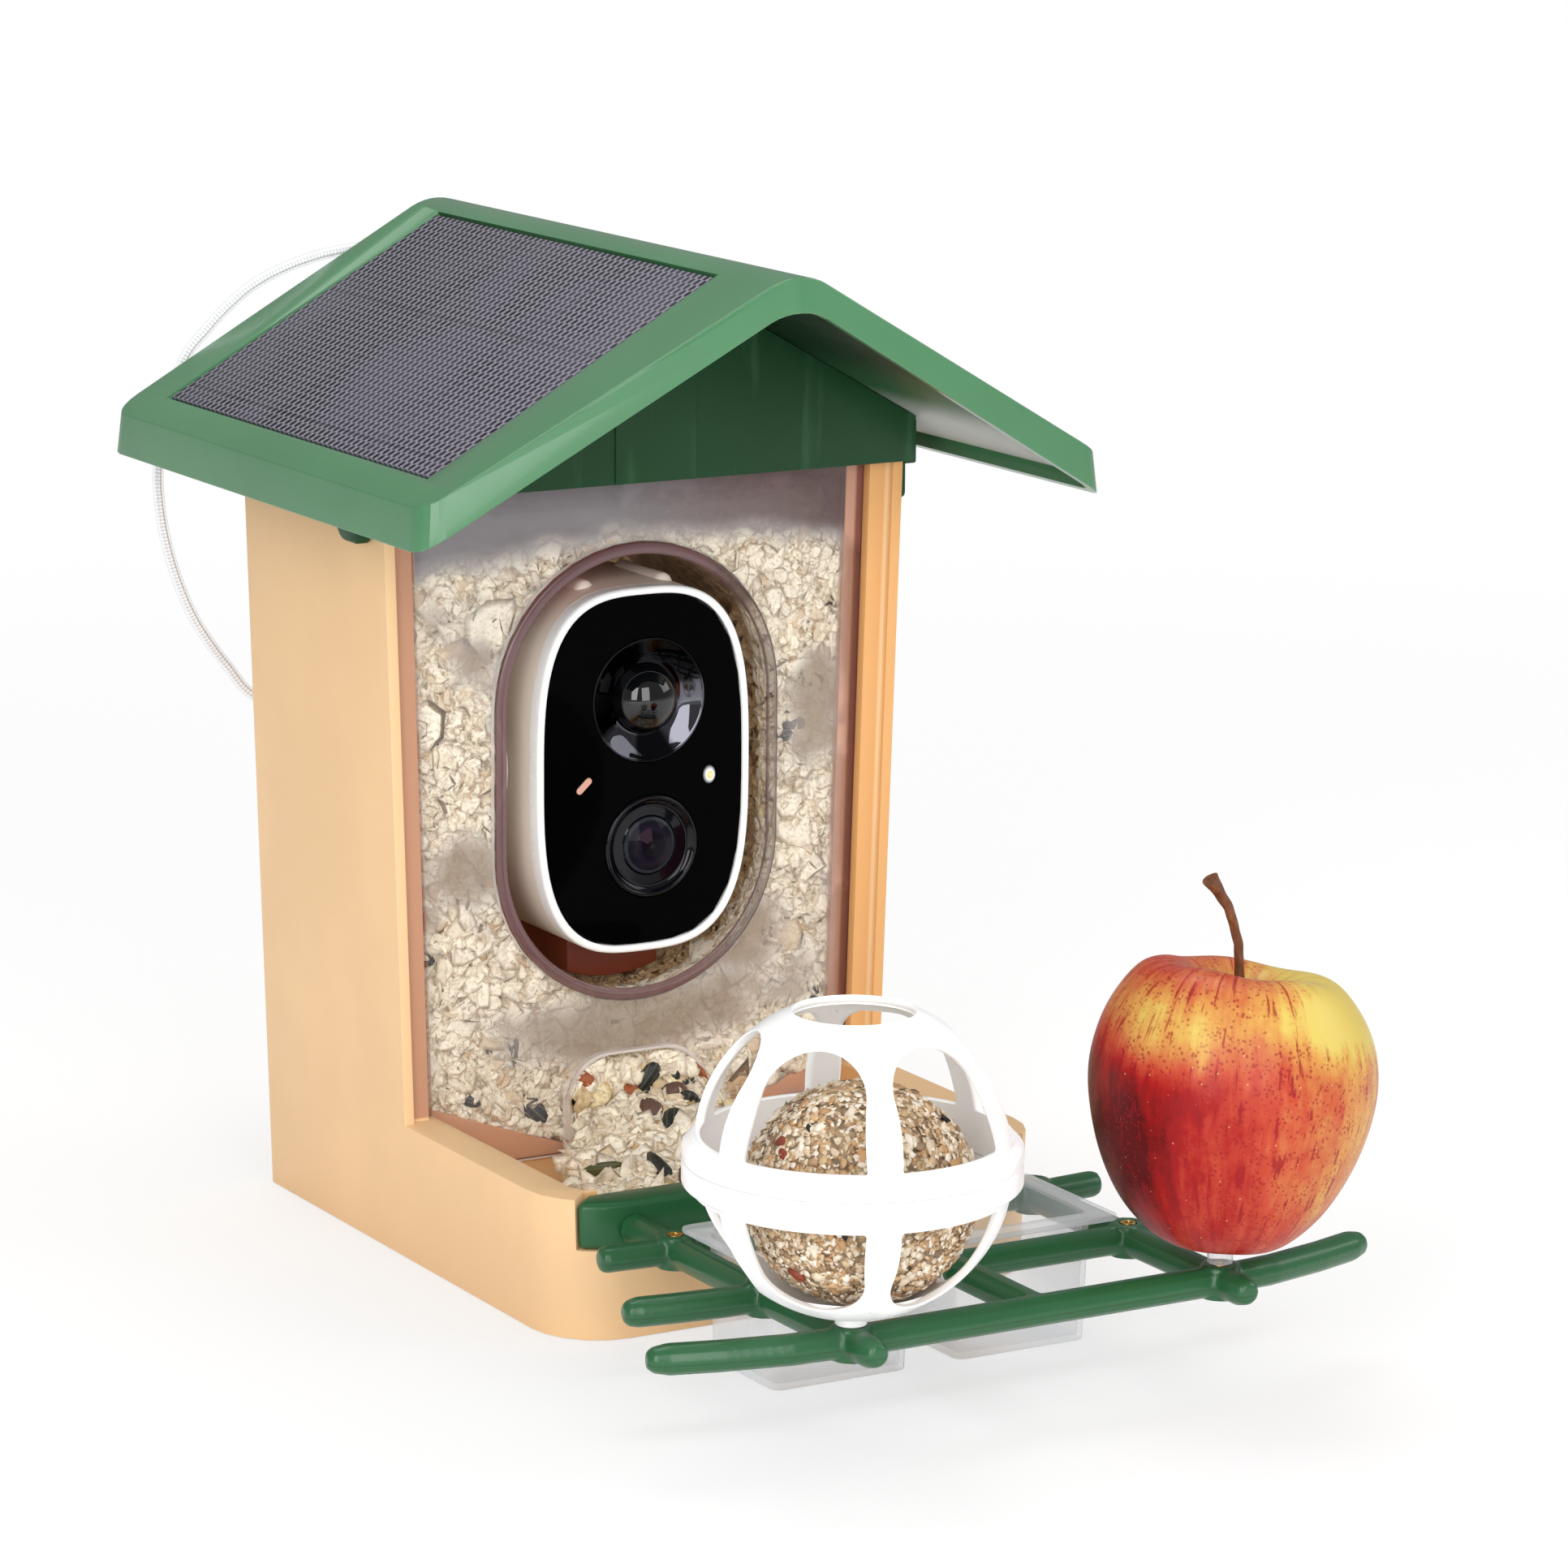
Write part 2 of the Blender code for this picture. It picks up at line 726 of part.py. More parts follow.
def build_housing():
    side = [
        (-TRAY_REACH - OVERRUN, 0),
        (HOPPER_DEPTH + OVERRUN, 0),
        (HOPPER_DEPTH + OVERRUN, WALL_HEIGHT),
        (0, WALL_HEIGHT),
        (0, TRAY_HEIGHT),
        (-TRAY_REACH - OVERRUN, TRAY_HEIGHT),
    ]
    housing = slab("housing_side", [side], "YZ", -HALF_WIDTH - OVERRUN, HALF_WIDTH + OVERRUN)
    common(
        housing,
        slab("housing_plan", [tray_outline()], "XY", -OVERRUN, WALL_HEIGHT + OVERRUN),
    )
    hopper = rectangle(-WALL_INNER, WALL_INNER, POST_BACK, BACK_INNER)
    tray_back = POST_BACK + OVERRUN
    tray_front = NOTCH_BACK
    tray = rounded(
        [
            (-TRAY_INNER, tray_front, TRAY_INNER_RADIUS),
            (TRAY_INNER, tray_front, TRAY_INNER_RADIUS),
            (TRAY_INNER, tray_back, 0),
            (-TRAY_INNER, tray_back, 0),
        ]
    )
    doorway = rectangle(-POST_INNER, POST_INNER, -OVERRUN, tray_back)
    setback = rectangle(-WALL_INNER, WALL_INNER, -OVERRUN, POST_SETBACK)
    slot = rectangle(
        -POST_INNER - WINDOW_BITE - GAP,
        POST_INNER + WINDOW_BITE + GAP,
        WINDOW_FRONT - GAP,
        WINDOW_FRONT + WINDOW + GAP,
    )
    underside = rounded(
        [
            (-WALL_INNER, -TRAY_REACH + WALL, TRAY_RADIUS - WALL),
            (WALL_INNER, -TRAY_REACH + WALL, TRAY_RADIUS - WALL),
            (WALL_INNER, BACK_INNER, 0),
            (-WALL_INNER, BACK_INNER, 0),
        ]
    )
    top = WALL_HEIGHT + OVERRUN
    cut(
        housing,
        slab("hopper_cavity", [hopper], "XY", FLOOR_TOP, top),
        slab("tray_cavity", [tray], "XY", FLOOR_TOP, TRAY_HEIGHT + OVERRUN),
        slab("doorway", [doorway], "XY", TRAY_HEIGHT, top),
        slab("post_setback", [setback], "XY", TRAY_HEIGHT, top),
        slab("window_slot", [slot], "XY", FLOOR_TOP, top),
        slab("underside", [underside], "XY", -OVERRUN, FLOOR_TOP - FLOOR),
        slab("notch", [notch_outline(0)], "XY", NOTCH_BOTTOM, TRAY_HEIGHT + OVERRUN),
    )
    for sign in (-1, 1):
        hole = [
            (0, OVERRUN),
            (GROMMET_HOLE + GAP, OVERRUN),
            (GROMMET_HOLE + GAP, -OVERRUN),
            (0, -OVERRUN),
        ]
        place = (
            sign * CORD_EXIT_SPACING / 2 / draft_share(CORD_EXIT_HEIGHT),
            HOPPER_DEPTH,
            CORD_EXIT_HEIGHT,
        )
        cut(housing, turned("cord_hole", hole, place, SMALL_ROUND, facing_front=True))
    piece(draft(housing), "housing", PEACH, None)

    plate = slab(
        "base_plate",
        [
            rounded(
                [
                    (-WALL_INNER + GAP, -TRAY_REACH + WALL + GAP, TRAY_RADIUS - WALL - GAP),
                    (WALL_INNER - GAP, -TRAY_REACH + WALL + GAP, TRAY_RADIUS - WALL - GAP),
                    (WALL_INNER - GAP, BACK_INNER - GAP, 0),
                    (-WALL_INNER + GAP, BACK_INNER - GAP, 0),
                ]
            )
        ],
        "XY",
        0,
        BASE_PLATE,
    )
    piece(draft(plate), "base_plate", PEACH, None)


def build_ramp():
    level, side = ramp_outline(0)
    front = WINDOW_FRONT + WINDOW + 2 * GAP
    back = BACK_INNER - GAP
    ramp = slab("ramp_sides", [side], "XZ", front, back)
    rise = [
        (back - RAMP_BACK_REACH, FLOOR_TOP + GAP),
        (back, FLOOR_TOP + GAP),
        (back, level + RAMP_BACK_HEIGHT),
        (back - RAMP_BACK_REACH, level),
    ]
    half = WALL_INNER - GAP
    fuse(ramp, slab("ramp_back", [rise], "YZ", -half, half))
    # The ramp stands between the posts at the front.
    between = TRAY_INNER - GAP
    plan = [
        (-between, front - OVERRUN),
        (between, front - OVERRUN),
        (between, POST_BACK + GAP),
        (half + OVERRUN, POST_BACK + GAP),
        (half + OVERRUN, back + OVERRUN),
        (-half - OVERRUN, back + OVERRUN),
        (-half - OVERRUN, POST_BACK + GAP),
        (-between, POST_BACK + GAP),
    ]
    common(ramp, slab("ramp_plan", [plan], "XY", 0, WALL_HEIGHT))
    piece(draft(ramp), "hopper_ramp", PEACH, None)


def build_window():
    half = POST_INNER + WINDOW_BITE
    bottom = FLOOR_TOP + GAP
    port = PORT_WIDTH / 2
    outline = rounded(
        [
            (-half, bottom, 0),
            (-port, bottom, 0),
            (-port, PORT_TOP, PORT_RADIUS),
            (port, PORT_TOP, PORT_RADIUS),
            (port, bottom, 0),
            (half, bottom, 0),
            (half, WINDOW_TOP, WINDOW_TOP_RADIUS),
            (-half, WINDOW_TOP, WINDOW_TOP_RADIUS),
        ]
    )
    window = slab("window", [outline], "XZ", WINDOW_FRONT, WINDOW_FRONT + WINDOW)
    hole = well_column("window_hole", WELL_FLANGE + GAP)
    piece(cut(draft(window), hole), "front_window", CLEAR, None)


def stadium(grow):
    """The well's outer outline, grown or shrunk by an even margin all round."""
    radius = WELL_RADIUS + grow
    return centred(
        2 * radius, WELL_HEIGHT + 2 * grow, WELL_MIDDLE, radius - GAP, 2 * CORNER_STEPS
    )


def well_column(name, grow):
    front = -OVERRUN
    back = WINDOW_FRONT + WELL_DEPTH + grow
    return slab(name, [stadium(grow)], "XZ", front, back)


def build_well():
    back = WINDOW_FRONT + WELL_DEPTH
    front = WINDOW_FRONT - WELL_STAND
    flange_back = WINDOW_FRONT + WINDOW
    well = slab("well_tube", [stadium(0)], "XZ", (front + flange_back) / 2, back)
    flange = slab("well_flange", [stadium(WELL_FLANGE)], "XZ", front, flange_back)
    inner = slab("well_inside", [stadium(-WELL_WALL)], "XZ", -OVERRUN, back - WELL_BACK)
    cut(fuse(well, flange), inner)
    piece(bake(well), "camera_well", SMOKE, None)


def build_seed():
    level, side = ramp_outline(GAP)
    front = WINDOW_FRONT + WINDOW + GAP
    back = BACK_INNER - GAP
    outer = WALL_INNER - GAP
    inner = POST_INNER - GAP
    behind_posts = POST_BACK + GAP
    plan = [
        (-inner, front),
        (inner, front),
        (inner, behind_posts),
        (outer, behind_posts),
        (outer, back),
        (-outer, back),
        (-outer, behind_posts),
        (-inner, behind_posts),
    ]
    fill = slab("seed_column", [plan], "XY", level, SEED_LEVEL)
    low = [(x * (1 + GAP), z) for x, z in side]
    under_sides = slab("under_seed", [low], "XZ", -OVERRUN, back + OVERRUN)
    rise = [
        (back - RAMP_BACK_REACH - OVERRUN, level - OVERRUN),
        (back + OVERRUN, level - OVERRUN),
        (back + OVERRUN, level + RAMP_BACK_HEIGHT * (1 + OVERRUN / RAMP_BACK_REACH)),
        (back - RAMP_BACK_REACH, level),
        (back - RAMP_BACK_REACH - OVERRUN, level),
    ]
    under_back = slab("under_seed_back", [rise], "YZ", -HALF_WIDTH, HALF_WIDTH)
    cut(fill, under_sides, under_back)
    piece(cut(draft(fill), well_column("seed_hole", GAP)), "seed_fill", OATS, None)

    bar_back = NOTCH_BACK + SLIDING_GAP
    bottom = FLOOR_TOP + GAP
    heap_back = WINDOW_FRONT - GAP
    profile = [
        (-HEAP_FRONT, bottom),
        (heap_back, bottom),
        (heap_back, HEAP_PEAK),
        (heap_back - PORT_RADIUS, HEAP_PEAK - SOLAR_TAB_WIDTH),
        (heap_back - PORT_WIDTH, HEAP_TOP),
        (bar_back + TRAY_INNER_RADIUS, HEAP_TOP - RAMP_LIP),
        (-HEAP_FRONT, HEAP_TOP - TRAY_INNER_RADIUS),
    ]
    heap = slab("heap", [profile], "YZ", -HEAP_WIDTH / 2, HEAP_WIDTH / 2)
    mouth = PORT_WIDTH / 2 - WALL
    spread = HEAP_WIDTH / 2
    fan = rounded(
        [
            (-mouth, heap_back + OVERRUN, 0),
            (-mouth, heap_back - WALL, 0),
            (-spread, -PORT_WIDTH, TRAY_RADIUS),
            (-spread, -HEAP_FRONT - OVERRUN, 0),
            (spread, -HEAP_FRONT - OVERRUN, 0),
            (spread, -PORT_WIDTH, TRAY_RADIUS),
            (mouth, heap_back - WALL, 0),
            (mouth, heap_back + OVERRUN, 0),
        ]
    )
    common(heap, slab("heap_plan", [fan], "XY", 0, WALL_HEIGHT))
    piece(bake(heap), "tray_seed", OATS, None)


def front_place(rise, depth, shift=0.0):
    return (shift, CAMERA_FRONT + depth, CAMERA_MIDDLE + rise)


def build_camera(body):
    front = CAMERA_FRONT
    inner_width = CAMERA_WIDTH - 2 * BEZEL_WIDTH
    inner_height = CAMERA_HEIGHT - 2 * BEZEL_WIDTH
    outline = superellipse(CAMERA_WIDTH, CAMERA_HEIGHT, CAMERA_MIDDLE, FINE_ROUND)
    window = superellipse(inner_width, inner_height, CAMERA_MIDDLE, FINE_ROUND)
    bezel = slab("bezel", [outline, window], "XZ", front, front + BEZEL_DEPTH)
    piece(bevel(bezel, BEZEL_BEVEL), "camera_bezel", WHITE, body, smooth=True)

    face = superellipse(
        inner_width - 2 * GAP, inner_height - 2 * GAP, CAMERA_MIDDLE, FINE_ROUND
    )
    face_front = front + FACE_SETBACK
    holes = [
        circle(SENSOR_RADIUS + GAP, SENSOR_SHIFT, CAMERA_MIDDLE + SENSOR_RISE),
        circle(LENS_RADIUS + GAP, LENS_SHIFT, CAMERA_MIDDLE - LENS_DROP),
        ellipse(LAMP_WIDTH + 2 * GAP, LAMP_HEIGHT + 2 * GAP, LAMP_SHIFT, CAMERA_MIDDLE - LAMP_DROP),
        status_outline(GAP),
    ]
    plate = slab("face", [face, *holes], "XZ", face_front, face_front + FACE_THICKNESS)
    piece(plate, "camera_face", BLACK, body)

    shell_front = front + BEZEL_DEPTH + GAP
    shell_back = front + CAMERA_DEPTH
    shell = slab("shell", [outline], "XZ", shell_front - CAMERA_BACK_BEVEL - GAP, shell_back)
    bevel(shell, CAMERA_BACK_BEVEL, 3, math.radians(60))
    trim = slab(
        "shell_trim",
        [superellipse(CAMERA_WIDTH * 2, CAMERA_HEIGHT * 2, CAMERA_MIDDLE)],
        "XZ",
        shell_front - 2 * OVERRUN,
        shell_front,
    )
    hollow = superellipse(
        CAMERA_WIDTH - 2 * CAMERA_WALL, CAMERA_HEIGHT - 2 * CAMERA_WALL, CAMERA_MIDDLE, FINE_ROUND
    )
    inside = slab("shell_inside", [hollow], "XZ", shell_front - OVERRUN, shell_back - CAMERA_WALL)
    bevel(inside, CAMERA_BACK_BEVEL - CAMERA_WALL / 2, 3, math.radians(60))
    cut(shell, trim)
    for sign in (-1, 1):
        shift = sign * RIB_SPACING / 2
        start = front + RIB_SETBACK
        height = camera_edge(shift) - RIB_RADIUS / 3
        route = [(shift, start + RIB_LENGTH * share, height) for share in RIB_END_SHARES]
        radii = [RIB_RADIUS / 2, RIB_RADIUS, RIB_RADIUS, RIB_RADIUS / 2]
        fuse(shell, bake(tube("rib", route, radii, 2)))
    cut(shell, inside)
    piece(bake(shell), "camera_shell", CREAM, body, smooth=True)

    sensor = front_place(SENSOR_RISE, FACE_SETBACK, SENSOR_SHIFT)
    dish = [
        (SENSOR_RADIUS, 0),
        (SENSOR_RADIUS, -FACE_THICKNESS),
        (DOME_RADIUS + GAP, -FACE_THICKNESS - SENSOR_DISH_DEPTH),
        (DOME_RADIUS + GAP, -SENSOR_DISH_DEPTH),
        *[(SENSOR_RADIUS * across, -SENSOR_DISH_DEPTH * deep) for across, deep in DISH_CURVE_SHARES],
    ]
    piece(
        turned("dish", dish, sensor, FINE_ROUND, True, True), "sensor_collar", BLACK, body, True
    )
    dome = [(0, DOME_RISE)]
    for step in range(1, DOME_STEPS + 1):
        angle = math.pi / 2 * step / DOME_STEPS
        dome.append(
            (
                DOME_RADIUS * math.sin(angle),
                (DOME_RISE + SENSOR_DISH_DEPTH) * math.cos(angle) - SENSOR_DISH_DEPTH,
            )
        )
    dome += [(DOME_RADIUS, -FACE_THICKNESS - SENSOR_DISH_DEPTH), (0, -FACE_THICKNESS - SENSOR_DISH_DEPTH)]
    piece(turned("dome", dome, sensor, ROUND, True), "sensor_dome", BLACK, body, True)

    lens = front_place(-LENS_DROP, FACE_SETBACK, LENS_SHIFT)
    ring = [
        (LENS_RADIUS - LENS_RISE, LENS_RISE / 2),
        (LENS_RADIUS, 0),
        (LENS_RADIUS, -FACE_THICKNESS),
        (LENS_GLASS_RADIUS + GAP, -FACE_THICKNESS),
        (LENS_GLASS_RADIUS + GAP, -LENS_RISE),
        (LENS_RADIUS - 2 * LENS_RISE, -LENS_RISE / 2),
    ]
    piece(turned("ring", ring, lens, FINE_ROUND, True, True), "lens_ring", BLACK, body, True)
    glass = [
        (0, LENS_RISE),
        *[(LENS_GLASS_RADIUS * across, LENS_RISE * up) for across, up in GLASS_CURVE_SHARES],
        (LENS_GLASS_RADIUS, -LENS_RISE),
        (LENS_GLASS_RADIUS, -FACE_THICKNESS),
        (0, -FACE_THICKNESS),
    ]
    piece(turned("glass", glass, lens, ROUND, True), "lens_glass", LENS, body, True)
    barrel_top = -FACE_THICKNESS - GAP
    barrel = [
        (0, barrel_top),
        (LENS_BARREL_RADIUS, barrel_top),
        (LENS_BARREL_RADIUS, barrel_top - LENS_BARREL_LENGTH),
        (0, barrel_top - LENS_BARREL_LENGTH),
    ]
    piece(turned("barrel", barrel, lens, SMALL_ROUND, True), "lens_barrel", BLACK, body, True)

    lamp = ellipse(LAMP_WIDTH, LAMP_HEIGHT, LAMP_SHIFT, CAMERA_MIDDLE - LAMP_DROP)
    lamp = slab("lamp", [lamp], "XZ", face_front, face_front + FACE_THICKNESS)
    piece(lamp, "spotlight", LAMP, body, smooth=True)
    pill = slab("pill", [status_outline(0)], "XZ", face_front, face_front + FACE_THICKNESS)
    piece(pill, "status_light", COPPER, body, smooth=True)

    cover_y = front + SIDE_COVER_SETBACK + SIDE_COVER_RADIUS
    cover = [
        (0, SIDE_COVER_THICKNESS),
        (SIDE_COVER_RADIUS - SIDE_COVER_THICKNESS, SIDE_COVER_THICKNESS),
        (SIDE_COVER_RADIUS, 0),
        (0, 0),
    ]
    place = (-CAMERA_WIDTH / 2 - GAP, cover_y, CAMERA_MIDDLE)
    disc = turned("cover", cover, place, ROUND)
    disc.rotation_euler.y = -math.pi / 2
    piece(disc, "side_cover", CREAM, body, smooth=True)

    board_front = front + BOARD_SETBACK
    board = centred(BOARD_WIDTH, BOARD_HEIGHT, CAMERA_MIDDLE, BOARD_CORNER)
    board = slab("board", [board], "XZ", board_front, board_front + BOARD)
    piece(board, "main_board", BOARD_GREEN, body)
    pack_front = board_front + BOARD + GAP
    pack = rounded(
        [
            (-BATTERY_PACK_WIDTH / 2, pack_front, BATTERY_RADIUS),
            (BATTERY_PACK_WIDTH / 2, pack_front, BATTERY_RADIUS),
            (BATTERY_PACK_WIDTH / 2, pack_front + 2 * BATTERY_RADIUS + GAP, BATTERY_RADIUS),
            (-BATTERY_PACK_WIDTH / 2, pack_front + 2 * BATTERY_RADIUS + GAP, BATTERY_RADIUS),
        ]
    )
    low = CAMERA_MIDDLE - BATTERY_LENGTH / 2
    battery = slab("battery", [pack], "XY", low, low + BATTERY_LENGTH)
    piece(battery, "battery_pack", BATTERY_WRAP, body)


def circle(radius, x, z, count=ROUND):
    return ellipse(2 * radius, 2 * radius, x, z, count)


def ellipse(width, height, x, z, count=SMALL_ROUND):
    return [
        (
            x + width / 2 * math.cos(math.tau * index / count),
            z + height / 2 * math.sin(math.tau * index / count),
        )
        for index in range(count)
    ]


def status_outline(grow):
    """A short round-ended bar, tilted up to the right."""
    width = STATUS_WIDTH + 2 * grow
    flat = centred(STATUS_LENGTH + 2 * grow, width, 0, width / 2 - GAP / 8, 4)
    cosine, sine = math.cos(STATUS_TILT), math.sin(STATUS_TILT)
    return [
        (
            -STATUS_SHIFT + x * cosine - y * sine,
            CAMERA_MIDDLE - STATUS_DROP + x * sine + y * cosine,
        )
        for x, y in flat
    ]


def camera_edge(shift):
    """The height of the camera's top edge at a distance from its middle."""
    share = abs(2 * shift / CAMERA_WIDTH) ** CAMERA_ROUNDNESS
    return CAMERA_MIDDLE + CAMERA_HEIGHT / 2 * (1 - share) ** (1 / CAMERA_ROUNDNESS)


def build_saddle():
    """The rubber saddle that the camera stands on at the bottom of its well."""
    start = CAMERA_FRONT + SADDLE_SETBACK
    block = rectangle(
        -SADDLE_WIDTH / 2,
        SADDLE_WIDTH / 2,
        WELL_MIDDLE - WELL_HEIGHT / 2,
        CAMERA_MIDDLE - CAMERA_HEIGHT / 2 + SADDLE_WIDTH / 8,
    )
    saddle = slab("saddle", [block], "XZ", start, start + SADDLE_LENGTH)
    common(saddle, slab("saddle_seat", [stadium(-WELL_WALL - GAP)], "XZ", 0, HOPPER_DEPTH))
    grown = superellipse(
        CAMERA_WIDTH + 2 * SLIDING_GAP, CAMERA_HEIGHT + 2 * SLIDING_GAP, CAMERA_MIDDLE, FINE_ROUND
    )
    cut(saddle, slab("saddle_hollow", [grown], "XZ", 0, HOPPER_DEPTH))
    piece(bake(saddle), "camera_saddle", RUBBER, None)


def roof_line(half_width, drop):
    """The roof's top surface seen from the front, let down by a drop: two slopes joined by an arc at the ridge."""
    apex = ROOF_APEX - drop
    middle = apex + RIDGE_RADIUS * (1 - 1 / math.cos(ROOF_PITCH)) - RIDGE_RADIUS
    points = [(-half_width, middle_to_slope(middle, half_width))]
    for step in range(RIDGE_STEPS + 1):
        angle = ROOF_PITCH * (2 * step / RIDGE_STEPS - 1)
        points.append(
            (RIDGE_RADIUS * math.sin(angle), middle + RIDGE_RADIUS * math.cos(angle))
        )
    points.append((half_width, middle_to_slope(middle, half_width)))
    return points


def middle_to_slope(middle, distance):
    """The height of a slope at a distance from the ridge, from the middle of the ridge's arc."""
    return middle + RIDGE_RADIUS / math.cos(ROOF_PITCH) - ROOF_SLOPE * distance


def roof_band(half_width, top_drop, bottom_drop):
    return roof_line(half_width, top_drop) + roof_line(half_width, bottom_drop)[::-1]


def lipped_band():
    """The shell's band: its lip is least at the ridge and hangs lower towards the eaves."""
    reach = ROOF_HALF + OVERRUN
    inner = ROOF_HALF - ROOF_LIP_WALL
    eave = roof_line(inner, EAVE_LIP)
    low = roof_line(reach, EAVE_LIP)
    under = [low[0], eave[0], *roof_line(inner, ROOF_LIP)[1:-1], eave[-1], low[-1]]
    return roof_line(reach, 0) + under[::-1]


def flare(obj):
    """Widens the roof's lip outwards towards its bottom edge, as the mould's draft does."""
    bake(obj)
    middle = (ROOF_BACK - ROOF_FRONT) / 2
    for vertex in obj.data.vertices:
        drop = ROOF_APEX - ROOF_SLOPE * abs(vertex.co.x) - vertex.co.z
        share = ROOF_FLARE * max(drop - EAVE_RADIUS, 0) / EAVE_LIP
        vertex.co.x *= 1 + share
        vertex.co.y = middle + (vertex.co.y - middle) * (1 + share)
    return obj


def roof_plan(inset):
    """The roof from above: straight behind, and drawn out to a blunt prow at the front of the ridge."""
    half = ROOF_HALF - inset
    corner = max(ROOF_CORNER - inset, GAP)
    return rounded(
        [
            (-half, -ROOF_FRONT + inset, corner),
            (0, -ROOF_FRONT - ROOF_PROW + inset, RIDGE_RADIUS),
            (half, -ROOF_FRONT + inset, corner),
            (half, ROOF_BACK - inset, corner),
            (-half, ROOF_BACK - inset, corner),
        ]
    )


def on_slope(obj, across, drop, side=-1):
    """Turns a flat piece onto a slope, at a distance from the ridge in plan, let down from the roof's top surface."""
    height = middle_to_slope(
        ROOF_APEX + RIDGE_RADIUS * (1 - 1 / math.cos(ROOF_PITCH)) - RIDGE_RADIUS, across
    )
    obj.location = (side * across, 0, height)
    obj.rotation_euler.y = side * ROOF_PITCH
    normal = Vector((side * math.sin(ROOF_PITCH), 0, math.cos(ROOF_PITCH)))
    obj.location -= drop * normal
    return obj


def build_roof(body):
    below = ROOF_APEX - OVERRUN
    shell = slab(
        "roof_band",
        [lipped_band()],
        "XZ",
        -ROOF_FRONT - ROOF_PROW - OVERRUN,
        ROOF_BACK + OVERRUN,
    )
    plan = slab("roof_plan", [roof_plan(0)], "XY", 0, ROOF_APEX + OVERRUN)
    common(shell, plan)
    bevel(shell, EAVE_RADIUS, 2, math.radians(45))
    inside = slab(
        "roof_inside_band",
        [roof_band(ROOF_HALF + OVERRUN, ROOF_SKIN, below - DRAFT_HEIGHT + OVERRUN)],
        "XZ",
        -ROOF_FRONT - ROOF_PROW - OVERRUN,
        ROOF_BACK + OVERRUN,
    )
    inner_plan = slab(
        "roof_inside_plan", [roof_plan(ROOF_LIP_WALL)], "XY", 0, ROOF_APEX + OVERRUN
    )
    cut(shell, common(inside, inner_plan))
    panel_middle = (SOLAR_INNER + SOLAR_OUTER) / 2
    panel_width = (SOLAR_OUTER - SOLAR_INNER) / math.cos(ROOF_PITCH)
    recess = rectangle(-panel_width / 2, panel_width / 2, -SOLAR_FRONT, SOLAR_BACK)
    recess = slab("solar_recess", [recess], "XY", -SOLAR_RECESS, OVERRUN)
    cut(shell, on_slope(recess, panel_middle, 0))
    piece(flare(shell), "roof_shell", GREEN, body)

    half = panel_width / 2 - SOLAR_MARGIN
    panel = rectangle(-half, half, -SOLAR_FRONT + SOLAR_MARGIN, SOLAR_BACK - SOLAR_MARGIN)
    panel_bottom = -SOLAR_RECESS + GAP
    panel = slab("solar_panel", [panel], "XY", panel_bottom, panel_bottom + SOLAR_PANEL)
    piece(on_slope(panel, panel_middle, 0), "solar_panel", CELLS, body)

    liner = slab(
        "liner_band",
        [roof_band(ROOF_HALF + OVERRUN, ROOF_SKIN + GAP, UNDERSIDE)],
        "XZ",
        -ROOF_FRONT - ROOF_PROW - OVERRUN,
        ROOF_BACK + OVERRUN,
    )
    inset = ROOF_LIP_WALL + GAP
    common(liner, slab("liner_plan", [roof_plan(inset)], "XY", 0, ROOF_APEX + OVERRUN))
    piece(bake(liner), "roof_liner", GREEN, body)

    box = centred(JUNCTION_WIDTH, JUNCTION_LENGTH, JUNCTION_PLACE, JUNCTION_HEIGHT / 3)
    drop = (UNDERSIDE + GAP) * math.cos(ROOF_PITCH)
    box = slab("junction", [box], "XY", -JUNCTION_HEIGHT, -GAP)
    piece(on_slope(box, JUNCTION_TOP, drop), "solar_junction_box", BLACK, body)


def gable_outline():
    line = roof_line(GABLE_WIDTH / 2, UNDERSIDE + GAP)
    return [(GABLE_WIDTH / 2, GABLE_BOTTOM), *line[::-1], (-GABLE_WIDTH / 2, GABLE_BOTTOM)]


def build_gables(body):
    front = -GAP - GABLE
    gable = slab("gable", [gable_outline()], "XZ", front, front + GABLE)
    half = GABLE_PANEL_WIDTH / 2
    line = roof_line(half, UNDERSIDE + 2 * GAP)
    middle = [(half, GABLE_BOTTOM + GAP), *line[::-1], (-half, GABLE_BOTTOM + GAP)]
    fuse(gable, slab("gable_panel", [middle], "XZ", front - GABLE_PANEL, front + GABLE / 2))
    piece(bake(gable), "front_gable", DARK_GREEN, body)
    back = HOPPER_DEPTH + GAP
    gable = slab("gable", [gable_outline()], "XZ", back, back + GABLE)
    piece(gable, "rear_gable", DARK_GREEN, body)


def rail_outline():
    """A rail from the side: a strip under the eave with an ear near its front end."""
    top = ROOF_APEX
    start = GAP
    end = HOPPER_DEPTH - GAP
    left = start + EAR_INSET
    right = left + EAR_WIDTH
    return rounded(
        [
            (start, top, 0),
            (start, RAIL_BOTTOM, 0),
            (left, RAIL_BOTTOM, 0),
            (left, EAR_BOTTOM, EAR_RADIUS / 3),
            (right, EAR_BOTTOM, EAR_RADIUS),
            (right, RAIL_BOTTOM, 0),
            (end, RAIL_BOTTOM, 0),
            (end, top, 0),
        ]
    )


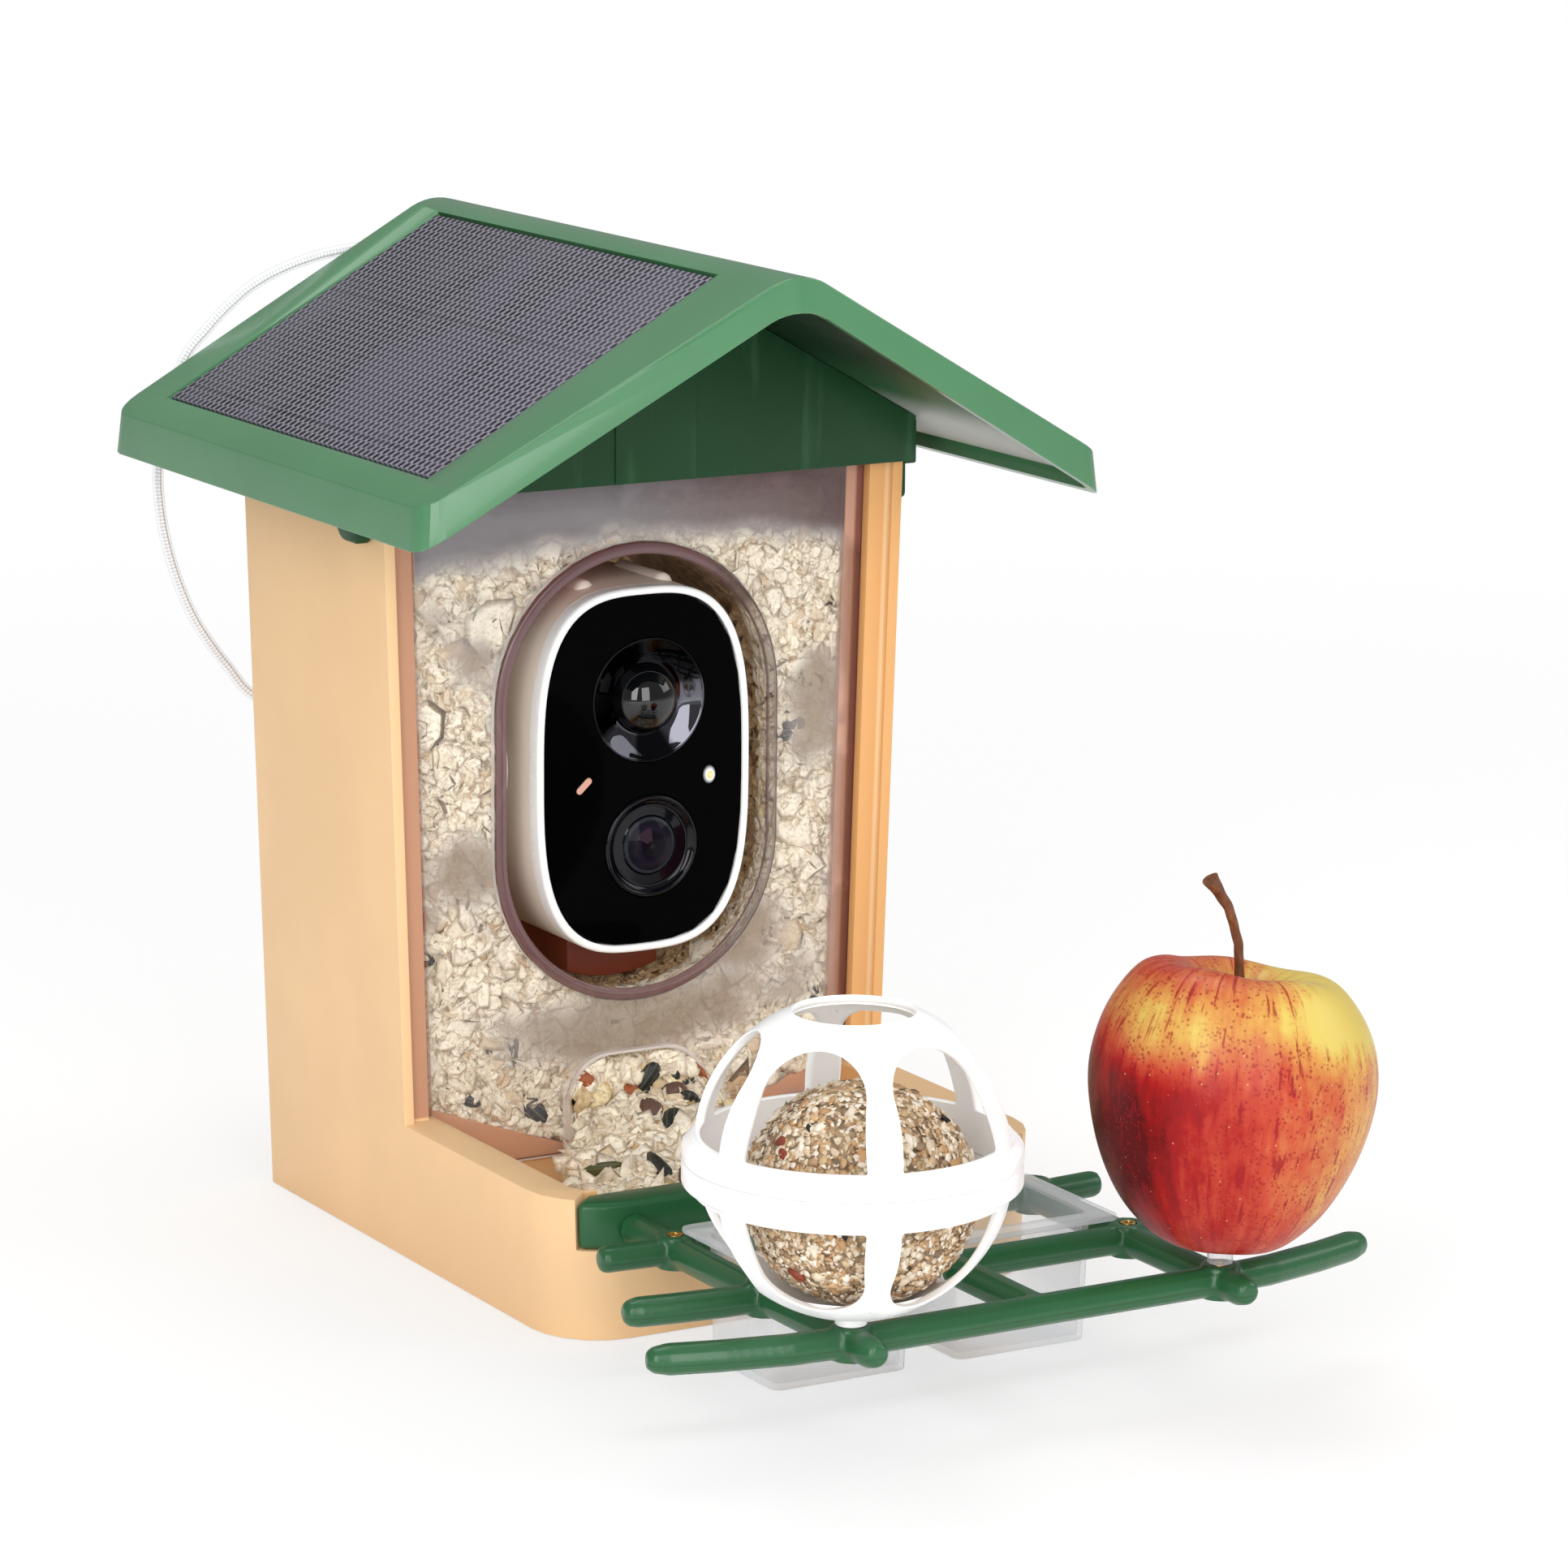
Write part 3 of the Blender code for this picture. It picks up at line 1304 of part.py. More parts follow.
def build_rails(body):
    wall_top = HALF_WIDTH * draft_share(WALL_HEIGHT)
    for side, name in ((-1, "roof_rail_left"), (1, "roof_rail_right")):
        inner = wall_top + GAP
        outer = inner + RAIL
        ends = sorted((side * inner, side * outer))
        rail = slab("rail", [rail_outline()], "YZ", *ends)
        flange = rectangle(
            GAP,
            HOPPER_DEPTH - GAP,
            WALL_HEIGHT + GAP,
            WALL_HEIGHT + GAP + RAIL_FLANGE_THICKNESS,
        )
        ends = sorted((side * (inner - RAIL_FLANGE), side * (inner + RAIL / 2)))
        fuse(rail, slab("rail_flange", [flange], "YZ", *ends))
        above = roof_line(ROOF_HALF, UNDERSIDE + GAP) + [
            (ROOF_HALF, ROOF_APEX + OVERRUN),
            (-ROOF_HALF, ROOF_APEX + OVERRUN),
        ]
        cut(rail, slab("above_rail", [above], "XZ", -OVERRUN, HOPPER_DEPTH + OVERRUN))
        piece(bake(rail), name, DARK_GREEN, body)


def twig_route(bar, reach, curve, thickness):
    """A crossbar: straight between its outer rods, then bent back towards the feeder by a quarter wave."""
    places = []
    radii = []
    height = TWIG_HEIGHT + CROSSBAR_RISE
    spread = reach - ROD_SPACING
    for share in TWIG_SHARES:
        places.append((share, thickness))
    places[0] = (TWIG_SHARES[0], CROSSBAR_TIP)
    places[1] = (TWIG_SHARES[1], CROSSBAR_SHOULDER)
    route = []
    for share, radius in places:
        beyond = -share * spread
        bend = curve * (1 - math.cos(-share * math.pi / 2))
        route.append((-ROD_SPACING - beyond, -bar + bend, height))
        radii.append(radius)
    mirrored = [(-x, y, z) for x, y, z in reversed(route)]
    middle = [(-ROD_SPACING, -bar, height), (ROD_SPACING, -bar, height)]
    return route + middle + mirrored, radii + [thickness] * 2 + radii[::-1]


def rod(name, x, start, end):
    """A lengthways rod from the bar to its front end, where it is rounded."""
    places = (start, end + ROD_RADIUS, end + ROD_RADIUS / 4, end)
    route = [(x, place, TWIG_HEIGHT) for place in places]
    return bake(tube(name, route, [ROD_RADIUS, ROD_RADIUS, ROD_TIP, ROD_END]))


def upright(name, radius, x, y, low, high, steps=SMALL_ROUND):
    profile = [(0, high), (radius, high), (radius, low), (0, low)]
    column = turned(name, profile, (x, y, 0), steps)
    column.rotation_euler.z = math.pi / steps
    return column


def build_perch(body):
    bar = slab("bar", [notch_outline(GAP)], "XY", NOTCH_BOTTOM + GAP, TRAY_HEIGHT - BAR_TOP_DROP)
    common(bar, slab("bar_plan", [tray_outline()], "XY", 0, WALL_HEIGHT))
    bar = bevel(draft(bar), BAR_TOP_CHAMFER, 1)
    piece(bake(bar), "perch_bar", DARK_GREEN, body)

    start = -TRAY_REACH - GAP
    rod_start = start - COLLAR_LENGTH / 3
    frame = rod("rod_left", -ROD_SPACING, rod_start, -STUB_REACH)
    fuse(frame, rod("rod_right", ROD_SPACING, rod_start, -STUB_REACH))
    fuse(frame, rod("rod_middle", 0, rod_start, -THIRD_BAR - ROD_RADIUS / 2))
    bars = (FIRST_BAR, SECOND_BAR, THIRD_BAR)
    for sizes in zip(bars, TWIG_REACHES, TWIG_CURVES, CROSSBAR_RADII):
        route, radii = twig_route(*sizes)
        fuse(frame, bake(tube("crossbar", route, radii)))
    for x in (-ROD_SPACING, 0, ROD_SPACING):
        collar = [
            (0, COLLAR_LENGTH),
            (ROD_TIP, COLLAR_LENGTH),
            (COLLAR_RADIUS, 0),
            (0, 0),
        ]
        place = (x, start, TWIG_HEIGHT)
        fuse(frame, turned("collar", collar, place, SMALL_ROUND, facing_front=True))
    index = 0
    low = BOSS_TOP - INSERT_LENGTH
    for bar_place in bars:
        for x in (-ROD_SPACING, ROD_SPACING):
            index += 1
            y = -bar_place
            boss_low = TWIG_HEIGHT - ROD_RADIUS - GAP
            fuse(frame, upright("boss", BOSS_RADIUS, x, y, boss_low, BOSS_TOP))
            cut(frame, upright("seat", INSERT_RADIUS + GAP, x, y, low - GAP, BOSS_TOP + OVERRUN))
            insert = [
                (INSERT_BORE, BOSS_TOP),
                (INSERT_RADIUS, BOSS_TOP),
                (INSERT_RADIUS, low),
                (INSERT_BORE, low),
            ]
            insert = turned("insert", insert, (x, y, 0), SMALL_ROUND, closed=True)
            piece(insert, f"thread_insert_{index}", BRASS, body, smooth=True)
    piece(bake(frame), "perch_frame", DARK_GREEN, body, smooth=True)


def frustum(name, width, length, draft_in, x, y, low, high, radius):
    """A rounded box whose sides draw in by draft_in from its top to its bottom."""
    outline = rounded(
        [
            (x - width / 2, y - length / 2, radius),
            (x + width / 2, y - length / 2, radius),
            (x + width / 2, y + length / 2, radius),
            (x - width / 2, y + length / 2, radius),
        ],
        3,
    )
    box = slab(name, [outline], "XY", low, high)
    for vertex in box.data.vertices:
        share = draft_in * (high - vertex.co.z) / (high - low)
        vertex.co.x += (x - vertex.co.x) * 2 * share / width
        vertex.co.y += (y - vertex.co.y) * 2 * share / length
    return box


def build_cup(side, name, body):
    x = side * ROD_SPACING / 2
    top = CUP_SEAT + CUP_FLANGE
    cup = frustum(
        "cup", CUP_WIDTH, CUP_LENGTH, CUP_DRAFT, x, CUP_MIDDLE, CUP_BOTTOM, top, CUP_RADIUS
    )
    flange = frustum(
        "flange",
        CUP_FLANGE_WIDTH,
        CUP_FLANGE_LENGTH,
        0,
        x,
        CUP_MIDDLE,
        CUP_SEAT,
        top,
        CUP_FLANGE_RADIUS,
    )
    inside = frustum(
        "inside",
        CUP_WIDTH - 2 * CUP_WALL,
        CUP_LENGTH - 2 * CUP_WALL,
        CUP_DRAFT,
        x,
        CUP_MIDDLE,
        CUP_BOTTOM + CUP_WALL,
        top + CUP_WALL,
        CUP_RADIUS - CUP_WALL,
    )
    piece(bake(cut(fuse(cup, flange), inside)), name, CLEAR, body)


def arc(radius, start, end, steps, middle=0.0):
    """Points (radius, height) along a circle about the axis, from one elevation to another."""
    return [
        (
            radius * math.cos(start + (end - start) * step / steps),
            middle + radius * math.sin(start + (end - start) * step / steps),
        )
        for step in range(steps + 1)
    ]


def opening_outline(low, sign):
    """One opening of the cage, flat, as (across, height): straight at the band and arched at its far end."""
    tail = CAGE_RADIUS * math.sin(CAGE_OPENING_END)
    shoulder = tail - CAGE_OPENING_ARCH
    base_half = math.sqrt(CAGE_RADIUS**2 - low**2) * math.sin(CAGE_OPENING / 2)
    tail_half = math.sqrt(CAGE_RADIUS**2 - shoulder**2) * math.sin(CAGE_OPENING / 2)
    points = [(-base_half, sign * low), (base_half, sign * low)]
    for step in range(7):
        angle = math.pi * step / 6
        points.append(
            (
                tail_half * math.cos(angle),
                sign * (shoulder + CAGE_OPENING_ARCH * math.sin(angle)),
            )
        )
    return points


def cut_openings(half, low, sign):
    for spoke in range(CAGE_SPOKES):
        outline = opening_outline(low, sign)
        wedge = slab("opening", [outline], "XZ", -CAGE_BAND_RADIUS - OVERRUN, -OVERRUN)
        wedge.location = (CAGE_X, -THIRD_BAR, CAGE_MIDDLE)
        wedge.rotation_euler.z = CAGE_TURN + math.tau * spoke / CAGE_SPOKES
        cut(half, wedge)


def lug_sector(name, inner, outer, low, high, start, sweep):
    """A block between two radii and two angles about the cage's axis."""
    steps = 4
    angles = [start + sweep * step / steps for step in range(steps + 1)]
    outline = [(inner * math.cos(a), inner * math.sin(a)) for a in angles]
    outline += [(outer * math.cos(a), outer * math.sin(a)) for a in reversed(angles)]
    block = slab(name, [outline[::-1]], "XY", low, high)
    block.location = (CAGE_X, -THIRD_BAR, 0)
    return block


def build_cage(body, lid):
    outer = CAGE_RADIUS
    inner = CAGE_RADIUS - CAGE_WALL
    axis = (CAGE_X, -THIRD_BAR, CAGE_MIDDLE)
    skirt_outer = inner + SKIRT_WALL
    groove = skirt_outer + SLIDING_GAP
    band = CAGE_BAND_RADIUS

    upper_start = math.asin((CAGE_BAND_UP + GAP) / outer)
    upper_end = math.acos(CAGE_TOP_RADIUS / outer)
    inner_end = math.acos(CAGE_TOP_RADIUS / inner)
    profile = arc(outer, upper_end, upper_start, 7)
    profile += [
        (band, CAGE_BAND_UP - CAGE_BAND_FLARE),
        (band, GAP / 2),
        (skirt_outer, GAP / 2),
        (skirt_outer, -SKIRT_DEPTH),
        (inner, -SKIRT_DEPTH),
    ]
    profile += arc(inner, 0, inner_end, 7)
    upper = turned("cage_upper", profile, axis, FINE_ROUND, closed=True)
    cut_openings(upper, CAGE_BAND_UP, 1)
    lug_low = CAGE_JOIN - SKIRT_DEPTH
    for lug in range(LUG_COUNT):
        start = LUG_START + math.tau * lug / LUG_COUNT
        fuse(
            upper,
            lug_sector(
                "lug",
                skirt_outer - SKIRT_WALL / 2,
                skirt_outer + LUG_REACH,
                lug_low,
                lug_low + LUG_HEIGHT,
                start,
                LUG_ANGLE,
            ),
        )
    piece(bake(upper), "cage_upper", WHITE, lid, smooth=True)

    lower_start = -math.asin((CAGE_BAND_DOWN + GAP) / outer)
    post_top = -math.acos(CAGE_POST_RADIUS / outer)
    post_bottom = BOSS_TOP + GAP - CAGE_MIDDLE
    stud_bottom = post_bottom - CAGE_STUD_LENGTH
    ledge = -SKIRT_DEPTH - SLIDING_GAP
    ledge_angle = math.asin(ledge / inner)
    profile = [(groove, -GAP / 2), (band, -GAP / 2), (band, CAGE_BAND_TAPER - CAGE_BAND_DOWN)]
    profile += arc(outer, lower_start, post_top, 7)
    profile += [
        (CAGE_POST_RADIUS, post_bottom),
        (CAGE_STUD_RADIUS, post_bottom),
        (CAGE_STUD_RADIUS, stud_bottom),
        (0, stud_bottom),
    ]
    bowl = arc(inner, -math.pi / 2, ledge_angle, 7)
    profile += [(0, bowl[0][1]), *bowl[1:], (groove, ledge)]
    lower = turned("cage_lower", profile, axis, FINE_ROUND, closed=True)
    cut_openings(lower, CAGE_BAND_DOWN, -1)
    reach = skirt_outer + LUG_REACH + SLIDING_GAP
    slack = SLIDING_GAP / skirt_outer
    for lug in range(LUG_COUNT):
        start = LUG_START + math.tau * lug / LUG_COUNT
        low = lug_low - SLIDING_GAP / 2
        high = lug_low + LUG_HEIGHT + SLIDING_GAP
        run = lug_sector(
            "lug_run",
            inner,
            reach,
            low,
            high,
            start - slack,
            LUG_ANGLE + LID_TURN + 2 * slack,
        )
        entry = lug_sector(
            "lug_entry",
            inner,
            reach,
            low,
            CAGE_JOIN + OVERRUN,
            start + LID_TURN - slack,
            LUG_ANGLE + 2 * slack,
        )
        cut(lower, run, entry)
    piece(bake(lower), "cage_lower", WHITE, body, smooth=True)

    ball = bmesh.new()
    bmesh.ops.create_uvsphere(ball, u_segments=24, v_segments=14, radius=BALL_RADIUS)
    mesh = bpy.data.meshes.new("fat_ball")
    ball.to_mesh(mesh)
    ball.free()
    ball = new_object("fat_ball", mesh)
    reach = inner - BALL_RADIUS - GAP * 2
    drop = math.sqrt(reach**2 - BALL_SHIFT**2)
    ball.location = (CAGE_X + BALL_SHIFT, -THIRD_BAR, CAGE_MIDDLE - drop)
    piece(ball, "fat_ball", FAT, body, smooth=True)


# The apple's profile, as shares of its greatest radius and of its height, down from the stem's hollow
APPLE_SHARES = (
    (0.00, 0.885),
    (0.14, 0.895),
    (0.30, 0.955),
    (0.47, 0.998),
    (0.68, 0.975),
    (0.85, 0.875),
    (0.96, 0.750),
    (1.00, 0.610),
    (0.965, 0.460),
    (0.87, 0.300),
    (0.72, 0.155),
    (0.53, 0.050),
    (0.36, 0.005),
    (0.22, 0.020),
    (0.10, 0.050),
)


def build_apple(apple_body, perch_body):
    spike_top = BOSS_TOP + GAP
    disc_top = APPLE_BOTTOM
    spike = [
        (0, disc_top + SPIKE_LENGTH),
        (SPIKE_RADIUS / 4, disc_top + SPIKE_LENGTH),
        (SPIKE_RADIUS, disc_top + SPIKE_LENGTH * SPIKE_SHOULDER_SHARE),
        (SPIKE_RADIUS, disc_top),
        (SPIKE_BASE_RADIUS, disc_top - GAP / 2),
        (SPIKE_BASE_RADIUS, disc_top - SPIKE_BASE),
        (SPIKE_NECK_RADIUS, disc_top - SPIKE_BASE - GAP),
        (SPIKE_NECK_RADIUS, spike_top),
        (CAGE_STUD_RADIUS, spike_top),
        (CAGE_STUD_RADIUS, spike_top - CAGE_STUD_LENGTH),
        (0, spike_top - CAGE_STUD_LENGTH),
    ]
    spike = turned("spike", spike, (SPIKE_X, -THIRD_BAR, 0), SMALL_ROUND)
    piece(spike, "apple_spike", CLEAR, perch_body, smooth=True)

    seat = APPLE_BOTTOM + GAP
    profile = [
        (share * APPLE_RADIUS, seat + height * APPLE_HEIGHT) for share, height in APPLE_SHARES
    ]
    middle_x = SPIKE_X + APPLE_SHIFT
    profile.append((0, seat + APPLE_SHARES[-1][1] * APPLE_HEIGHT))
    middle = seat + APPLE_HEIGHT / 2
    profile = [(radius, height - middle) for radius, height in profile]
    apple = turned("apple", profile, (middle_x, -THIRD_BAR, middle), ROUND)
    apple.rotation_euler.y = APPLE_LEAN
    bore = [
        (0, disc_top + SPIKE_LENGTH + SLIDING_GAP),
        (SPIKE_RADIUS + SLIDING_GAP, disc_top + SPIKE_LENGTH + SLIDING_GAP),
        (SPIKE_RADIUS + SLIDING_GAP, seat - OVERRUN),
        (0, seat - OVERRUN),
    ]
    cut(apple, turned("bore", bore, (SPIKE_X, -THIRD_BAR, 0), SMALL_ROUND))
    piece(bake(apple), "apple", APPLE_SKIN, apple_body, smooth=True)
    foot = seat + APPLE_SHARES[0][1] * APPLE_HEIGHT + SLIDING_GAP
    route = []
    radii = []
    for step in range(STEM_STEPS + 1):
        share = step / STEM_STEPS
        route.append(
            (
                middle_x + STEM_SHIFT - STEM_LEAN * share**3,
                -THIRD_BAR,
                foot + STEM_HEIGHT * share,
            )
        )
        radii.append(STEM_RADIUS * (1 + share**6))
    piece(bake(tube("stem", route, radii, 2)), "apple_stem", BARK, apple_body, smooth=True)


def build_cord():
    for side, name in ((-1, "cord_grommet_left"), (1, "cord_grommet_right")):
        profile = [
            (0, GROMMET_STAND),
            (GROMMET_FLANGE - GROMMET_STAND / 2, GROMMET_STAND),
            (GROMMET_FLANGE, GAP),
            (GROMMET_HOLE, GAP),
            (GROMMET_HOLE, -WALL + GAP),
            (0, -WALL + GAP),
        ]
        place = (side * CORD_EXIT_SPACING / 2, HOPPER_DEPTH, CORD_EXIT_HEIGHT)
        grommet = turned("grommet", profile, place, SMALL_ROUND)
        grommet.rotation_euler.x = -math.pi / 2
        piece(grommet, name, BLACK, None, smooth=True)
    exit_y = HOPPER_DEPTH + GROMMET_STAND + GAP
    ends = [(side * CORD_EXIT_SPACING / 2, exit_y, CORD_EXIT_HEIGHT) for side in (-1, 1)]
    route = smooth_route([ends[0], *CORD_ROUTE, ends[1]], CORD_POINTS)
    cord = tube("cord", route, [CORD_RADIUS] * len(route), 2)
    cord.name = "hanging_cord"
    cord = bake(cord)
    piece(cord, "hanging_cord", SLEEVE, None, smooth=True)


def build():
    clear_scene()
    roof = joint_empty("roof_lift_axis", (0, 0, GABLE_BOTTOM))
    camera = joint_empty("camera_slide_axis", (0, CAMERA_FRONT, CAMERA_MIDDLE))
    perch = joint_empty("perch_lift_axis", (0, -TRAY_REACH, NOTCH_BOTTOM))
    cage = joint_empty("cage_spin_axis", (CAGE_X, -THIRD_BAR, BOSS_TOP))
    lid = joint_empty("cage_lid_axis", (CAGE_X, -THIRD_BAR, CAGE_JOIN))
    apple = joint_empty("apple_lift_axis", (SPIKE_X, -THIRD_BAR, APPLE_BOTTOM))
    build_housing()
    build_ramp()
    build_window()
    build_well()
    build_seed()
    build_saddle()
    build_camera(camera)
    build_roof(roof)
    build_gables(roof)
    build_rails(roof)
    build_perch(perch)
    for side, name in ((-1, "cup_left"), (1, "cup_right")):
        cup = joint_empty(f"{name}_lift_axis", (side * ROD_SPACING / 2, CUP_MIDDLE, CUP_SEAT))
        build_cup(side, name, cup)
    build_cage(cage, lid)
    build_apple(apple, perch)
    build_cord()
    bpy.context.view_layer.update()


build()
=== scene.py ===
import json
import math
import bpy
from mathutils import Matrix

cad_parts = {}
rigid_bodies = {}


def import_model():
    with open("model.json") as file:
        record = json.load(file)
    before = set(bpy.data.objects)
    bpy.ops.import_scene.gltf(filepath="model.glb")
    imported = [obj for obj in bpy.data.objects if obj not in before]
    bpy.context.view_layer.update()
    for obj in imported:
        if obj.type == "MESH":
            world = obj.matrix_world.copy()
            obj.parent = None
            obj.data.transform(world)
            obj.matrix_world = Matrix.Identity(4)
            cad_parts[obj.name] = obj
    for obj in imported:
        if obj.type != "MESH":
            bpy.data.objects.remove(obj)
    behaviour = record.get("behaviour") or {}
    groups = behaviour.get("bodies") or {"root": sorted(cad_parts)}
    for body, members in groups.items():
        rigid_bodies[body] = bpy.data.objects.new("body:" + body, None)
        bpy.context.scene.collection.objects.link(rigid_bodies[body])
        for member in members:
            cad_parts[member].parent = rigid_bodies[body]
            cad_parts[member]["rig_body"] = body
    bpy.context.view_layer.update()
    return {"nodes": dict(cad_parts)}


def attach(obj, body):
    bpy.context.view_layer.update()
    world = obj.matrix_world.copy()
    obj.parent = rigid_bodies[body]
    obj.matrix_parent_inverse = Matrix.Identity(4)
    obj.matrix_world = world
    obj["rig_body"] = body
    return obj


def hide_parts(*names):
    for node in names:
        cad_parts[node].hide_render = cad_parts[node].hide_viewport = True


bl_info = {
    "name": "Bird feeder looks",
    "version": (1, 0, 0),
    "blender": (4, 5, 0),
    "location": "3D View > Sidebar > Feeder",
    "description": "Dresses the bird feeder with its finishes, seed, cord, fat ball and apple",
    "category": "Object",
}

from collections import namedtuple

import bmesh
import bpy
import numpy as np
from mathutils import Matrix, Vector

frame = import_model()


def hue(digits):
    """A colour written as six hex digits, as linear red, green and blue."""
    shares = [int(digits[place : place + 2], 16) / 255 for place in (0, 2, 4)]
    return tuple(s / 12.92 if s <= 0.04045 else ((s + 0.055) / 1.055) ** 2.4 for s in shares)


def paint(name, description, digits):
    """A colour setting."""
    return bpy.props.FloatVectorProperty(
        name=name,
        description=description,
        subtype="COLOR",
        size=3,
        min=0,
        max=1,
        default=hue(digits),
    )


def length(name, description, metres):
    """A length setting."""
    return bpy.props.FloatProperty(
        name=name,
        description=description,
        default=metres,
        min=0,
        precision=5,
        subtype="DISTANCE",
        unit="LENGTH",
    )


def count(name, description, number):
    """A setting that is a whole number."""
    return bpy.props.IntProperty(name=name, description=description, default=number, min=1)


class FeederColours(bpy.types.PropertyGroup):
    wall: paint("Walls", "Peach plastic of the housing", "EEC695")
    trim: paint("Post fronts", "Deeper orange of the narrow front bands", "EFAE66")
    roof: paint("Roof", "Green plastic of the roof", "487F56")
    # The gables' colour is the roof green darkened: painted shade under the roof.
    gable: paint("Gables", "Dark green plastic under the roof", "1C4528")
    perch: paint("Perch", "Dark green plastic of the twig perch", "245C36")
    well: paint("Well", "Mauve brown tint of the camera's well", "6E4E50")
    shell: paint("Camera shell", "Cream plastic of the camera's body", "F7EADD")
    bezel: paint("Bezel and cage", "White gloss plastic", "FBFBFB")
    oats: paint("Oats", "Pale side of a rolled oat", "F6ECD8")
    husk: paint("Husk", "Brown side of a rolled oat", "C6A57A")
    fat: paint("Fat ball", "Middle tone of the pressed fat ball", "B39672")
    apple_red: paint("Apple red", "Red cheek of the apple", "9C1010")
    apple_gold: paint("Apple gold", "Yellow shoulder of the apple", "CB944A")
    cells: paint("Solar cells", "Violet grey of the ribbed solar panel", "8E8B99")


class FeederSizes(bpy.types.PropertyGroup):
    mould_edge: length("Mould edge", "Rounding on the housing's edges", 0.0009)
    oat_length: length("Oat length", "Length of a usual rolled oat", 0.0050)
    solar_rib: length("Solar rib", "Distance between the solar panel's rows of slots", 0.00266)
    braid_pitch: length("Braid pitch", "Length of one turn of the cord's braid", 0.0044)
    front_oats: count("Front oats", "Rolled oats behind the window", 6800)
    well_oats: count("Well oats", "Rolled oats round the camera's well", 3200)
    top_oats: count("Top oats", "Rolled oats on top of the seed", 2000)
    tray_oats: count("Tray oats", "Rolled oats on the tray", 2600)
    ball_grains: count("Ball grains", "Grains on the fat ball", 9000)


def look(name):
    """One of the colour settings as they are now."""
    return tuple(getattr(bpy.context.scene.feeder_colours, name))


def sizes():
    return bpy.context.scene.feeder_sizes


# Degrees by which a mesh turns at an edge that is blunt, that is hard, and that is shaded sharp
BLUNT_TURN = 4.0
HARD_TURN = 28.0
SHARP_TURN = 38.0

# The photograph's width and focal length in pixels, and its camera's turns and place
PHOTO_WIDTH = 1932
FOCAL_LENGTH = 7225.6
PHOTO_TURNS = (30.02, 11.995, -0.431)
PHOTO_PLACE = (-0.7987, -1.4609, 0.4863)

# Each soft lamp: its name, place, aim, size and power
LAMPS = (
    ("front", (-0.30, -1.87, 0.74), (0, -0.05, 0.16), (0.80, 1.35), 14),
    ("key", (-1.22, -1.18, 0.75), (0, -0.05, 0.12), (0.62, 1.20), 12.5),
    ("fill", (1.30, -0.70, 0.85), (0, -0.1, 0.12), (0.8, 0.8), 4.5),
    ("above", (0.1, 0.35, 1.5), (0, 0, 0.1), (1.0, 1.0), 8),
)

# How bright the surround is as a light, in reflections and where it is seen
SURROUND_LIGHT = 0.62
SURROUND_REFLECTED = 0.30
SURROUND_SEEN = 1.0

# Sizes and places in metres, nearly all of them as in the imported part: the camera
CAMERA_FRONT = 0.0020
CAMERA_MIDDLE = 0.1360
CAMERA_WIDTH = 0.070
CAMERA_HEIGHT = 0.108
CAMERA_DEPTH = 0.056
CAMERA_ROUNDNESS = 3.1
RIB_ASIDE = 0.013
RIB_LENGTH = 0.030
RIB_RADIUS = 0.0030
BEZEL_WIDTH = 0.0022
BEZEL_DEPTH = 0.0050
FACE_DEPTH = 0.0008
FACE_THICKNESS = 0.0022
SENSOR = (0.0016, 0.1566)
SENSOR_RADIUS = 0.0184
DOME_RADIUS = 0.0103
DOME_RISE = 0.0058
LENS = (0.0024, 0.1132)
LENS_RADIUS = 0.0152
LENS_GLASS_RADIUS = 0.0084
SPOTLIGHT = (0.0220, 0.1325)
SPOTLIGHT_WIDTH = 0.0021
SPOTLIGHT_HEIGHT = 0.0028

# The well, the hopper and its ramp, the window and its port
WELL_RADIUS = 0.0443
WELL_MIDDLE = 0.1346
WELL_HEIGHT = 0.1314
WELL_HALF = WELL_HEIGHT / 2 - WELL_RADIUS
WELL_REACH = 0.078
FLANGE_MIDDLE = 0.0447
WINDOW_BACK = 0.0088
HOPPER_BACK = 0.0918
POST_BACK = 0.0131
POST_INSET = 0.0103
WALL_INSET = 0.0040
RAMP_LEVEL = 0.0252
RAMP_RISE = 0.020
RAMP_FLAT = 0.0226
RAMP_END = 0.0812
WINDOW_DRAFT = 0.0300
PORT_WIDTH = 0.0452
PORT_TOP = 0.0507
PORT_RADIUS = 0.013
HALF_WIDTH = 0.08485
BASE_SHARE = 0.1562 / 0.1697
DRAFT_HEIGHT = 0.215
SEED_LEVEL = 0.205

# The roof's slope, and the height of the parting line on the twigs
ROOF_PITCH = math.radians(29.4)
PARTING_LEVEL = 0.0305

# The ball cage and the fat ball in it
CAGE_PLACE = (-0.0573, -0.2144, 0.0806)
CAGE_RADIUS = 0.0420
CAGE_WALL = 0.0022
CAGE_BAND = 0.0440
CAGE_BAND_UP = 0.0065
CAGE_BAND_DOWN = 0.0090
CAGE_FLARE = 0.0032
CAGE_TAPER = 0.0034
CAGE_TOP_RADIUS = 0.0157
CAGE_TURN = math.radians(10.9)
CAGE_OPENING = math.radians(46.9)
CAGE_OPENING_END = math.radians(53.5)
CAGE_OPENING_ARCH = 0.0110
CAGE_SECTORS = 6
CAGE_WALL_END = CAGE_OPENING_END + math.radians(3)
LAP = 0.0002
CAGE_POST_RADIUS = 0.0042
CAGE_POST_BOTTOM = 0.0360
CAGE_STUD_RADIUS = 0.0011
CAGE_STUD_BOTTOM = 0.0305
CAGE_LIP = 0.00055
SKIRT_WALL = 0.0013
SKIRT_DEPTH = 0.0052
BALL_PLACE = (-0.0548, -0.2144, 0.07093)
BALL_RADIUS = 0.0296
BALL_SPREAD = 1.045

